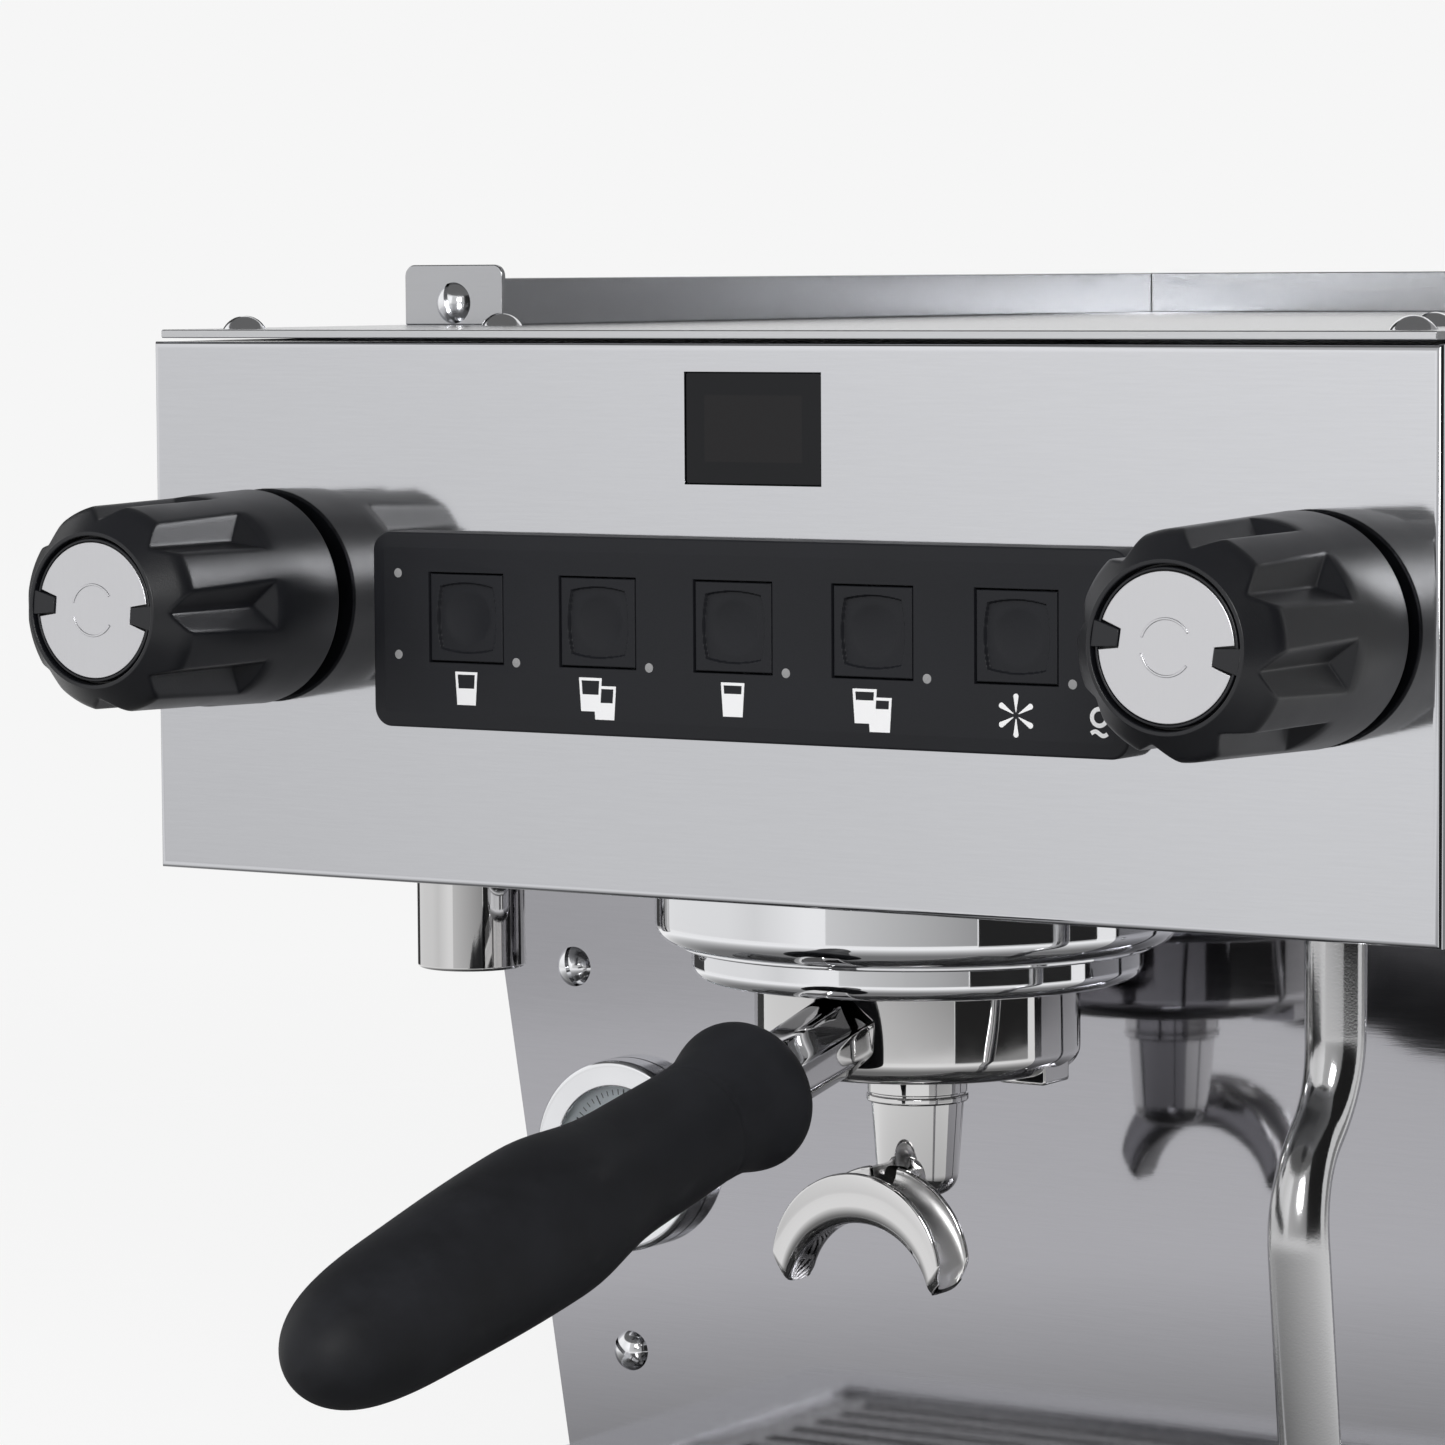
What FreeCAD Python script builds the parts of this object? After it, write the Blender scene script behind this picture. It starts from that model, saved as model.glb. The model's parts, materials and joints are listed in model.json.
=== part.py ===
"""One-group espresso machine: steel head, keypad, two valve knobs, portafilter, wand, drip tray.

Millimetres, +Z up. The origin is on the counter, under the middle of the whole machine, and -Y is
the front. Every driving size is a cell of the sheet "sizes"; places that several pieces share are
worked out from those cells in the variable set "levels".
"""
import FreeCAD, Part
import math
import os
import re

import Sketcher

Vector = FreeCAD.Vector
Rotation = FreeCAD.Rotation
Placement = FreeCAD.Placement

# Driving sizes: name, millimetres (or degrees, or a count), and what it measures.
SIZES = (
    ("panel_width", 300.0, "front panel, side to side"),
    ("panel_height", 112.2, "front panel, bottom edge to top bend"),
    ("panel_bend", 1.3, "radius of the panel's folded edges"),
    ("panel_return", 10.0, "how far the panel's folded edges reach back"),
    ("sheet_wall", 1.2, "steel sheet of the housing"),
    ("body_depth", 410.0, "front panel to rear panel"),
    ("work_height", 153.0, "drip tray's top to the panel's bottom edge"),
    ("base_height", 57.0, "chassis floor to the drip tray's top"),
    ("foot_height", 30.0, "counter to the chassis floor"),
    ("base_nose", 24.0, "how far the drip tray stands ahead of the panel"),
    ("waist_inset", 24.0, "how far each side leans in at the tray"),
    ("seam", 0.3, "gap between neighbouring sheets"),
    ("loose_fit", 0.3, "clearance round pieces that lift, slide or press"),
    ("running_fit", 0.05, "radial clearance of a turning shaft"),
    ("close_fit", 0.1, "clearance round pieces that are bedded or set in"),
    ("press_fit", 0.03, "radial clearance of a pressed-in shaft"),
    ("lid_gap", 0.7, "shadow gap between panel and lid"),
    ("lid_thickness", 1.8, "lid's edge"),
    ("lid_inset", 1.5, "lid's edge inside the panel's edge"),
    ("vent_length", 70.0, "slots in the lid and the rear panel"),
    ("vent_width", 4.0, "width of those slots"),
    ("vent_pitch", 14.0, "slot to slot"),
    ("vent_rows", 8, "slots in a column"),
    ("screw_radius", 4.6, "dome screw head"),
    ("screw_dome", 2.8, "height of the dome"),
    ("lid_screw_edge", 13.0, "lid screw to the machine's sides and rear"),
    ("lid_screw_front", 15.0, "front lid screw behind the panel"),
    ("strip_screw_side", 6.0, "screw ahead of the cup rail, inside its strip"),
    ("strip_screw_ahead", 9.0, "that screw ahead of the rail's tab"),
    ("rail_inset", 31.5, "cup rail's inner face to the machine's side"),
    ("rail_front", 85.0, "cup rail's tab behind the panel"),
    ("rail_rear", 19.0, "cup rail's rear strip to the rear panel's face"),
    ("rail_height", 10.4, "rail above the lid"),
    ("rail_wall", 1.5, "rail strip"),
    ("tab_width", 26.5, "rail's front tab"),
    ("tab_height", 13.4, "tab above the lid"),
    ("tab_corner", 2.5, "rounding of the tab's top corners"),
    ("tab_screw_height", 4.9, "tab's screw above the lid"),
    ("splash_setback", 121.0, "backsplash behind the panel"),
    ("splash_wall", 1.5, "backsplash sheet"),
    ("splash_screw_high", 33.0, "upper backsplash screws under the head"),
    ("splash_screw_high_edge", 25.0, "upper screws to the machine's side"),
    ("splash_screw_low", 121.0, "lower backsplash screws under the head"),
    ("splash_screw_low_edge", 40.0, "lower screws to the machine's side"),
    ("display_width", 32.0, "display window"),
    ("display_height", 22.5, "display window"),
    ("display_level", 83.9, "window's lower edge above the panel's bottom"),
    ("display_depth", 3.0, "window's thickness"),
    ("display_margin", 7.0, "display board beside and below the window"),
    ("board_head", 2.8, "display board above the window"),
    ("board_thickness", 1.6, "display board"),
    ("keypad_edge", 62.4, "keypad plate to the machine's side"),
    ("keypad_height", 39.4, "keypad plate"),
    ("keypad_level", 33.9, "keypad's lower edge above the panel's bottom"),
    ("keypad_thickness", 6.0, "how far the keypad stands out"),
    ("keypad_corner", 4.0, "keypad's corner radius"),
    ("keypad_bevel", 1.2, "bevel round the keypad's face"),
    ("key_left", 22.1, "first key's middle to the keypad's left edge"),
    ("key_right", 24.3, "last key's middle to the keypad's right edge"),
    ("key_level", 22.1, "keys above the keypad's lower edge"),
    ("key_size", 18.5, "square key"),
    ("key_depth", 3.8, "thickness of a key"),
    ("key_pad", 14.6, "raised field of a key"),
    ("key_bulge", 0.8, "how far the field's sides bow out"),
    ("key_raise", 0.7, "height of the raised field"),
    ("key_dish", 11.4, "diameter of the finger dish"),
    ("key_dish_depth", 0.6, "depth of the finger dish"),
    ("led_radius", 1.0, "indicator dot"),
    ("led_margin", 5.2, "left dots to the keypad's left edge"),
    ("led_high", 31.0, "upper left dot above the keypad's lower edge"),
    ("led_low", 14.2, "lower left dot above the keypad's lower edge"),
    ("led_key_offset", 12.4, "dot right of its key's middle"),
    ("led_key_level", 13.4, "dots beside the keys above the keypad's lower edge"),
    ("knob_edge", 27.7, "knob axis to the machine's side"),
    ("knob_level", 58.8, "knob axis above the panel's bottom"),
    ("knob_gap", 2.6, "panel to the knob's skirt"),
    ("knob_length", 54.2, "skirt to rim"),
    ("knob_radius", 21.6, "grip"),
    ("knob_rim_radius", 17.0, "front rim"),
    ("knob_bevel", 5.8, "length of the bevel behind the rim"),
    ("knob_flutes", 8, "grooves round the grip"),
    ("flute_depth", 3.1, "groove, at its valley"),
    ("flute_width", 9.4, "groove, at the grip's surface"),
    ("flute_start", 23.0, "panel to the groove's rear end"),
    ("flute_run", 3.8, "length of the groove's sloping rear end"),
    ("boss_radius", 14.9, "boss that holds the cap"),
    ("boss_sink", 0.6, "boss behind the rim"),
    ("boss_moat", 1.2, "open ring round the boss"),
    ("boss_moat_depth", 3.0, "depth of that ring"),
    ("cap_radius", 13.5, "aluminium cap"),
    ("cap_thickness", 1.2, "aluminium cap"),
    ("cap_notch_width", 5.4, "notch for a holding tab, at its mouth"),
    ("cap_notch_taper", 1.0, "how much narrower the notch is at its end"),
    ("cap_notch_depth", 4.2, "notch for a holding tab"),
    ("cap_gap", 0.15, "cap to its seat"),
    ("tab_raise", 0.3, "holding tab above the cap"),
    ("water_knob_tilt", -5.0, "left knob's turn at rest, degrees"),
    ("steam_knob_tilt", -12.5, "right knob's turn at rest, degrees"),
    ("stem_radius", 5.0, "valve stem"),
    ("stem_grip", 16.0, "stem inside the knob"),
    ("stem_reach", 30.0, "stem behind the panel"),
    ("valve_radius", 13.0, "valve body"),
    ("valve_length", 44.0, "valve body"),
    ("valve_port", 26.4, "valve's outlet behind the panel"),
    ("group_setback", 64.0, "group axis behind the panel"),
    ("bell_radius", 55.0, "group bell"),
    ("bell_drop", 13.1, "bell below the head floor"),
    ("bell_wall", 7.4, "bell"),
    ("bell_round", 6.0, "rounding of the bell's lower edge"),
    ("bell_rise", 8.0, "bell above the head floor"),
    ("head_radius", 47.3, "lower ring of the group"),
    ("head_drop", 20.8, "lower ring below the head floor"),
    ("head_round", 3.2, "rounding of the lower ring's edge"),
    ("lip_thickness", 4.5, "ledge that carries the portafilter's lugs"),
    ("socket_radius", 41.5, "socket above the ledge"),
    ("socket_height", 12.5, "socket above the ledge"),
    ("gasket_thickness", 8.0, "group gasket"),
    ("gasket_radius", 36.2, "group gasket"),
    ("gasket_width", 6.5, "group gasket"),
    ("gasket_gap", 0.4, "gasket to the basket's rim"),
    ("screen_radius", 28.0, "shower screen"),
    ("screen_thickness", 3.0, "shower screen"),
    ("cup_radius", 34.2, "portafilter body"),
    ("cup_depth", 27.1, "portafilter body"),
    ("cup_wall", 3.2, "portafilter wall"),
    ("cup_floor", 4.0, "portafilter floor"),
    ("cup_round", 5.2, "rounding under the portafilter"),
    ("lug_reach", 6.3, "locking lug beyond the body"),
    ("lug_thickness", 3.2, "locking lug"),
    ("lug_angle", 30.0, "locking lug, degrees round the body"),
    ("lock_angle", 45.0, "turn that locks the portafilter, degrees"),
    ("rest_lug_reach", 33.4, "group axis to the end of the lug under the body"),
    ("rest_lug_length", 11.0, "lug under the body"),
    ("rest_lug_width", 10.0, "lug under the body"),
    ("rest_lug_drop", 1.6, "lug below the body"),
    ("gate_play", 1.0, "clearance round the body and its lugs where they go in"),
    ("gate_angle", 3.0, "degrees of clearance at each side of a lug"),
    ("basket_wall", 0.8, "filter basket"),
    ("basket_rim", 0.5, "basket's rim on the body"),
    ("arm_depth", 23.5, "handle axis at the group axis, below the panel's bottom"),
    ("arm_width", 17.0, "arm at the body"),
    ("arm_thickness", 13.0, "arm at the body"),
    ("arm_lift", 1.2, "arm's middle above the handle axis at the body"),
    ("arm_bevel", 4.0, "cut corners of the arm"),
    ("arm_end_radius", 7.5, "arm where it enters the grip"),
    ("handle_drop", 11.7, "slope of the handle, degrees"),
    ("handle_start", 65.4, "group axis to the grip's collar, along the handle"),
    ("handle_length", 156.0, "grip"),
    ("grip_rim", 13.6, "radius of the grip's front rim"),
    ("grip_collar", 15.4, "radius of the flared collar"),
    ("grip_collar_at", 4.5, "rim to the collar's crest"),
    ("grip_neck", 12.7, "radius of the neck"),
    ("grip_neck_at", 18.0, "rim to the neck"),
    ("grip_waist", 13.4, "radius where the palm swell starts"),
    ("grip_waist_at", 58.0, "rim to the start of the swell"),
    ("grip_rise", 14.7, "radius half-way up the swell"),
    ("grip_rise_at", 66.6, "rim to that radius"),
    ("grip_swell", 16.05, "largest radius of the palm swell"),
    ("grip_swell_at", 82.0, "rim to the crest of the swell"),
    ("grip_tip", 13.2, "radius before the rounded tip"),
    ("grip_end", 18.0, "length of the rounded tip"),
    ("grip_round", 10.8, "radius half-way along the rounded tip"),
    ("grip_shoulder", 7.8, "radius where the tip's ball cap starts"),
    ("grip_nose", 4.0, "height of that cap"),
    ("spout_gap", 2.6, "body to the spout's screwed collar"),
    ("spout_stub_radius", 9.2, "stub between the body and that collar"),
    ("spout_collar_radius", 10.8, "spout's screwed collar"),
    ("spout_collar_height", 3.0, "spout's screwed collar"),
    ("spout_neck_radius", 9.8, "spout's cone at the collar"),
    ("spout_foot_radius", 8.3, "spout's cone at its foot"),
    ("spout_foot_round", 5.0, "rounding of the cone's foot"),
    ("spout_cone", 20.1, "height of the cone"),
    ("spout_bore", 5.0, "bore of the spout"),
    ("arch_forward", 19.5, "twin gutter ahead of the spout's axis"),
    ("arch_width", 13.0, "twin gutter, front to back"),
    ("arch_radius", 20.2, "outer edge of the twin gutter"),
    ("arch_depth", 79.5, "centre of the outer edge below the panel's bottom"),
    ("arch_under_radius", 17.4, "underside of the twin gutter"),
    ("arch_under_drop", 8.2, "centre of the underside below the outer one"),
    ("arch_round", 2.4, "rounding under the gutter"),
    ("gutter_width", 8.6, "channel of the gutter"),
    ("gutter_depth", 6.2, "channel of the gutter, at its top"),
    ("bridge_width", 12.9, "bridge from the cone to the gutter"),
    ("bridge_drop", 0.6, "bridge's underside below the cone"),
    ("bridge_height", 5.6, "bridge"),
    ("bridge_lap", 1.0, "how far the bridge runs into the gutter"),
    ("outlet_width", 6.9, "opening from the cone to the gutter"),
    ("outlet_height", 9.1, "opening from the cone to the gutter"),
    ("outlet_rise", 0.9, "opening above the cone's foot"),
    ("nozzle_edge", 40.5, "hot-water nozzle to the machine's left side"),
    ("nozzle_setback", 58.0, "hot-water nozzle behind the panel"),
    ("nozzle_radius", 11.85, "hot-water nozzle"),
    ("nozzle_drop", 25.0, "hot-water nozzle below the head"),
    ("nozzle_bore", 8.0, "hot-water nozzle"),
    ("wand_edge", 43.0, "steam wand to the machine's right side"),
    ("wand_setback", 44.0, "steam wand behind the panel"),
    ("wand_radius", 6.2, "steam wand tube"),
    ("wand_wall", 1.2, "steam wand tube"),
    ("wand_straight", 24.0, "tube below the head before its bend"),
    ("wand_bend_radius", 25.0, "bends of the tube"),
    ("wand_bend_angle", 45.0, "bends of the tube, degrees"),
    ("wand_between", 2.0, "straight tube between its bends"),
    ("wand_lean", 7.0, "tube below its bends leans back, degrees"),
    ("wand_tail", 58.0, "tube below its bends"),
    ("wand_nut_radius", 11.0, "nut that holds the wand"),
    ("wand_nut_drop", 4.0, "nut below the head"),
    ("wand_nut_rise", 14.0, "nut above the head floor"),
    ("wand_seat", 2.0, "tube's upper end below the nut's cap"),
    ("tip_length", 12.0, "steam tip"),
    ("tip_straight", 5.4, "straight length of the steam tip"),
    ("tip_radius", 6.8, "steam tip"),
    ("tip_end_radius", 4.0, "end of the steam tip"),
    ("gauge_edge", 40.4, "gauge to the machine's left side"),
    ("gauge_drop", 75.0, "gauge below the head"),
    ("gauge_radius", 22.0, "gauge bezel"),
    ("gauge_proud", 6.5, "bezel ahead of the backsplash"),
    ("gauge_lip", 3.4, "bezel's rim"),
    ("gauge_case_radius", 20.0, "gauge case"),
    ("gauge_case_depth", 18.0, "gauge case behind the backsplash"),
    ("dial_depth", 4.0, "dial behind the bezel's front"),
    ("dial_thickness", 1.0, "dial"),
    ("needle_length", 14.0, "gauge needle"),
    ("needle_width", 1.6, "gauge needle"),
    ("needle_thickness", 0.6, "gauge needle"),
    ("needle_hub", 2.4, "needle's hub radius"),
    ("needle_start", 210.0, "needle at rest, degrees from +X towards +Z"),
    ("glass_thickness", 1.2, "gauge glass"),
    ("tray_margin", 22.0, "tray's rim beside the grille"),
    ("tray_front_margin", 19.0, "tray's rim ahead of the grille"),
    ("tray_back_margin", 16.0, "tray's rim behind the grille"),
    ("tray_corner", 7.0, "tray's upright front corners"),
    ("tray_inner_corner", 5.0, "the same corners inside the skirt"),
    ("tray_wall", 2.0, "tray sheet"),
    ("tray_ledge", 5.0, "ledge under the grille"),
    ("grille_thickness", 3.0, "grille"),
    ("grille_recess", 2.0, "grille below the tray's rim"),
    ("grille_slot_width", 5.0, "slot"),
    ("grille_bar", 6.0, "bar between slots"),
    ("grille_rib", 10.0, "solid strip at the ends and the middle of the slots"),
    ("grille_slots", 9, "slots from front to back"),
    ("foot_radius", 19.0, "foot"),
    ("foot_pad_height", 8.0, "rubber pad"),
    ("foot_pad_radius", 22.0, "rubber pad"),
    ("foot_inset", 38.0, "foot axis to the chassis' edges"),
    ("brew_radius", 42.0, "brew boiler"),
    ("brew_height", 72.0, "brew boiler"),
    ("boiler_wall", 2.5, "boilers"),
    ("steam_radius", 48.0, "steam boiler"),
    ("steam_length", 210.0, "steam boiler"),
    ("boiler_port", 21.0, "steam boiler's ports to its ends"),
    ("steam_setback", 190.0, "steam boiler behind the panel"),
    ("steam_clear", 34.0, "steam boiler above the deck"),
    ("cradle_width", 70.0, "cradle plate"),
    ("cradle_wall", 3.0, "cradle plate"),
    ("cradle_spread", 80.0, "cradle plate to the middle"),
    ("heater_flange", 24.0, "heater flange radius"),
    ("heater_thickness", 8.0, "heater flange"),
    ("pump_radius", 30.0, "pump"),
    ("pump_length", 70.0, "pump"),
    ("motor_radius", 42.0, "pump motor"),
    ("motor_length", 110.0, "pump motor"),
    ("pump_rear", 100.0, "pump to the rear panel's face"),
    ("control_width", 180.0, "control box"),
    ("control_depth", 46.0, "control box"),
    ("control_height", 80.0, "control box"),
    ("control_level", 16.0, "control box above the panel's bottom"),
    ("solenoid_size", 30.0, "solenoid valve"),
    ("solenoid_height", 44.0, "solenoid valve"),
    ("pipe_radius", 4.0, "copper pipe"),
    ("pipe_bend", 10.0, "bend of a pipe"),
    ("pipe_gap", 0.3, "pipe's end to its fitting"),
    ("inlet_radius", 8.3, "water inlet stub"),
    ("inlet_drop", 14.0, "water inlet below the chassis"),
    ("inlet_rear", 38.0, "water inlet to the rear panel's face"),
    ("mains_width", 28.0, "mains inlet"),
    ("mains_height", 22.0, "mains inlet"),
    ("mains_depth", 24.0, "mains inlet"),
    ("mains_edge", 70.0, "mains inlet to the machine's left side"),
    ("mains_level", 60.0, "mains inlet below the head"),
)

# Shared places, as expressions of the sizes and of the places above them.
LEVELS = (
    ("half_width", "panel_width / 2"),
    ("knob_offset", "half_width - knob_edge"),
    ("nozzle_offset", "half_width - nozzle_edge"),
    ("wand_offset", "half_width - wand_edge"),
    ("gauge_offset", "half_width - gauge_edge"),
    ("mains_offset", "half_width - mains_edge"),
    ("keypad_width", "panel_width - 2 * keypad_edge"),
    ("key_pitch", "(keypad_width - key_left - key_right) / 4"),
    ("key_shift", "(key_right - key_left) / 2"),
    ("rail_back", "body_depth - rail_rear"),
    ("tray_top", "foot_height + base_height"),
    ("panel_bottom", "tray_top + work_height"),
    ("panel_top", "panel_bottom + panel_height"),
    ("lid_bottom", "panel_top + lid_gap"),
    ("lid_top", "lid_bottom + lid_thickness"),
    ("handle_reach", "(handle_start + handle_length) * cos(handle_drop * 1deg) - group_setback"),
    ("front", "(handle_reach - body_depth) / 2"),
    ("rear", "front + body_depth"),
    ("splash_front", "front + splash_setback"),
    ("splash_rear", "splash_front + splash_wall"),
    ("sheet_rear", "rear - sheet_wall - seam"),
    ("group_y", "front + group_setback"),
    ("keypad_bottom", "panel_bottom + keypad_level"),
    ("key_z", "keypad_bottom + key_level"),
    ("keypad_face", "front - keypad_thickness"),
    ("knob_z", "panel_bottom + knob_level"),
    ("rim_z", "knob_gap + knob_length"),
    ("boss_z", "rim_z - boss_sink"),
    ("ledge_z", "panel_bottom - head_drop + lip_thickness"),
    ("socket_top", "ledge_z + socket_height"),
    ("gasket_z", "socket_top - gasket_thickness"),
    ("cup_top", "gasket_z - gasket_gap - basket_rim"),
    ("cup_bottom", "cup_top - cup_depth"),
    ("spout_top", "cup_bottom"),
    ("cone_top", "spout_top - spout_gap - spout_collar_height"),
    ("cone_foot", "cone_top - spout_cone"),
    ("arch_y", "group_y - arch_forward"),
    ("arch_z", "panel_bottom - arch_depth"),
    ("tray_front", "front - base_nose"),
    ("tray_rear", "splash_front - seam"),
    ("tray_floor", "foot_height + sheet_wall + loose_fit"),
    ("bay_front", "tray_front + tray_front_margin"),
    ("bay_rear", "tray_rear - tray_back_margin"),
    ("bay_side", "half_width - tray_margin"),
    ("grille_top", "tray_top - grille_recess"),
    ("grille_bottom", "grille_top - grille_thickness"),
    ("gauge_z", "panel_bottom - gauge_drop"),
    ("gauge_front", "splash_front - gauge_proud"),
    ("dial_y", "gauge_front + dial_depth"),
    ("boiler_z", "tray_top + steam_clear + steam_radius"),
    ("boiler_y", "front + steam_setback"),
    ("pump_y", "rear - pump_rear"),
    ("inlet_y", "rear - inlet_rear"),
    ("pump_z", "tray_top + motor_radius + loose_fit"),
    ("brew_bottom", "panel_bottom + bell_rise"),
    ("wand_y", "front + wand_setback"),
    ("nozzle_y", "front + nozzle_setback"),
)

SIZE_NAMES = {name for name, value, note in SIZES}
LEVEL_NAMES = {name for name, text in LEVELS}

doc = FreeCAD.newDocument("espresso_machine")
sheet = doc.addObject("Spreadsheet::Sheet", "sizes")
levels = doc.addObject("App::VarSet", "levels")
pieces = []


def expression(text):
    """Write each size or level name in the text as a reference to its cell or variable."""
    def reference(match):
        word = match.group()
        if word in SIZE_NAMES:
            return "sizes." + word
        return "levels." + word if word in LEVEL_NAMES else word
    return re.sub(r"[a-z_]\w*", reference, str(text))


def fill_sheet():
    """Put the driving sizes in the sheet and bind the shared places to them."""
    for row, (name, value, note) in enumerate(SIZES, 1):
        sheet.set(f"A{row}", name)
        sheet.set(f"B{row}", str(value))
        sheet.setAlias(f"B{row}", name)
        sheet.set(f"C{row}", note)
    doc.recompute()
    for name, text in LEVELS:
        levels.addProperty("App::PropertyFloat", name)
    for name, text in LEVELS:
        levels.setExpression(name, expression(text))
    doc.recompute()


def bind(thing, texts):
    """Bind properties of a document object to expressions of the sizes."""
    for name, text in texts.items():
        thing.setExpression(name, expression(text))


def place(thing, at, turn=None):
    """Turn an object, then bind its place to three expressions."""
    thing.Placement = Placement(Vector(), turn or Rotation())
    for letter, text in zip("xyz", at):
        thing.setExpression("Placement.Base." + letter, expression(text))
    return thing


def piece(thing, label):
    """Name a finished piece, which is then written to a file of that name."""
    thing.Label = label
    pieces.append(thing)
    return thing


# Turns that lay a cylinder's axis, which is Z, along another axis.
ALONG = {
    "Z": Rotation(),
    "-Z": Rotation(Vector(1, 0, 0), 180),
    "Y": Rotation(Vector(1, 0, 0), -90),
    "-Y": Rotation(Vector(1, 0, 0), 90),
    "X": Rotation(Vector(0, 1, 0), 90),
}


def block(name, at, size):
    """A box from its lowest corner and its three sizes."""
    thing = doc.addObject("Part::Box", name)
    bind(thing, dict(zip(("Length", "Width", "Height"), size)))
    return place(thing, at)


def rod(name, at, radius, length, along="Z"):
    """A cylinder from the centre of its first end."""
    thing = doc.addObject("Part::Cylinder", name)
    bind(thing, {"Radius": radius, "Height": length})
    return place(thing, at, ALONG[along])


def cone(name, at, first, last, length, along="Z"):
    """A cut cone from the centre of its first end."""
    thing = doc.addObject("Part::Cone", name)
    bind(thing, {"Radius1": first, "Radius2": last, "Height": length})
    return place(thing, at, ALONG[along])


def ball(name, at, radius):
    """A ball about its centre."""
    thing = doc.addObject("Part::Sphere", name)
    bind(thing, {"Radius": radius})
    return place(thing, at)


def fuse(name, *things):
    """One solid from touching solids."""
    thing = doc.addObject("Part::MultiFuse", name)
    thing.Shapes = list(things)
    return thing


def cut(name, base, *tools):
    """A solid less one or more others."""
    thing = doc.addObject("Part::Cut", name)
    thing.Base = base
    thing.Tool = tools[0] if len(tools) == 1 else fuse(name + "_tools", *tools)
    return thing


def common(name, first, second):
    """What two solids share."""
    thing = doc.addObject("Part::Common", name)
    thing.Base = first
    thing.Tool = second
    return thing


def group(name, things):
    """Separate solids that make one piece of the list."""
    thing = doc.addObject("Part::Compound", name)
    thing.Links = list(things)
    return thing


def rounded(name, base, radius, chosen):
    """Round the edges of a solid that the given test accepts."""
    doc.recompute()
    thing = doc.addObject("Part::Fillet", name)
    thing.Base = base
    size = getattr(sheet, radius)
    numbers = [n for n, edge in enumerate(base.Shape.Edges, 1) if chosen(edge)]
    thing.Edges = [(n, size, size) for n in numbers]
    return thing


def body(name, at, turn=None):
    """An empty part-design body at a bound place."""
    return place(doc.addObject("PartDesign::Body", name), at, turn)


def origin_feature(owner, role):
    """An origin plane or axis of a body, by its role."""
    return next(f for f in owner.Origin.OriginFeatures if f.Role == role)


def sketch(owner, role, outlines, lift="0", lean=0.0):
    """A sketch on a body's origin plane, lifted along its normal and leaning by degrees about its Y.

    Each outline is a list of corner points, or a circle written as (centre, radius); every
    coordinate is an expression that a distance constraint follows.
    """
    drawing = owner.newObject("Sketcher::SketchObject", owner.Name + "_sketch")
    drawing.AttachmentSupport = [(origin_feature(owner, role), "")]
    drawing.MapMode = "FlatFace"
    drawing.AttachmentOffset = Placement(Vector(), Rotation(Vector(0, 1, 0), lean))
    drawing.setExpression("AttachmentOffset.Base.z", expression(lift))

    def hold(kind, text, *where):
        number = drawing.addConstraint(Sketcher.Constraint(kind, *where, 1.0))
        drawing.setExpression(f"Constraints[{number}]", expression(text))

    def pin(edge, end, point):
        hold("DistanceX", point[0], -1, 1, edge, end)
        hold("DistanceY", point[1], -1, 1, edge, end)

    for outline in outlines:
        first = drawing.GeometryCount
        if isinstance(outline, tuple):
            drawing.addGeometry(Part.Circle(Vector(), Vector(0, 0, 1), 1.0), False)
            hold("Radius", outline[1], first)
            pin(first, 3, outline[0])
            continue
        count = len(outline)
        corners = [Vector(math.cos(a), math.sin(a), 0)
                   for a in (2 * math.pi * n / count for n in range(count))]
        for n in range(count):
            drawing.addGeometry(Part.LineSegment(corners[n], corners[(n + 1) % count]), False)
        for n in range(count):
            drawing.addConstraint(
                Sketcher.Constraint("Coincident", first + n, 2, first + (n + 1) % count, 1))
        for n, point in enumerate(outline):
            pin(first + n, 1, point)
    return drawing


def rectangle(left, low, right, high):
    """Corner points of an upright rectangle."""
    return [(left, low), (right, low), (right, high), (left, high)]


def pad(owner, drawing, length, backwards=False):
    """Material from a sketch along its normal, or against it."""
    feature = owner.newObject("PartDesign::Pad", owner.Name + "_pad")
    feature.Profile = drawing
    feature.setExpression("Length", expression(length))
    feature.Reversed = backwards
    doc.recompute()
    return feature


def pocket(owner, drawing, length, backwards=False, along=None):
    """A cut from a sketch against its normal, or along it or a vector, which has to remove something."""
    before = owner.Shape.Volume
    feature = owner.newObject("PartDesign::Pocket", owner.Name + "_pocket")
    feature.Profile = drawing
    if along:
        feature.UseCustomVector = True
        feature.Direction = along
        feature.AlongSketchNormal = False
    feature.setExpression("Length", expression(length))
    feature.Reversed = backwards
    doc.recompute()
    if owner.Shape.Volume > before - 1e-6:
        raise RuntimeError(owner.Name + ": a pocket cut nothing")
    return feature


def edge_fillet(owner, feature, radius, chosen):
    """Round the edges of a body's feature that the given test accepts."""
    names = [f"Edge{n}" for n, edge in enumerate(feature.Shape.Edges, 1) if chosen(edge)]
    rounding = owner.newObject("PartDesign::Fillet", owner.Name + "_fillet")
    rounding.Base = (feature, names)
    rounding.setExpression("Radius", expression(radius))
    doc.recompute()
    return rounding


def row_of(owner, feature, axis, length, count):
    """Repeat a feature in a row along an origin axis of its body."""
    pattern = owner.newObject("PartDesign::LinearPattern", owner.Name + "_row")
    pattern.Originals = [feature]
    pattern.Direction = (origin_feature(owner, axis), [""])
    bind(pattern, {"Length": length, "Occurrences": count})
    owner.Tip = pattern
    doc.recompute()
    return pattern


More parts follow.
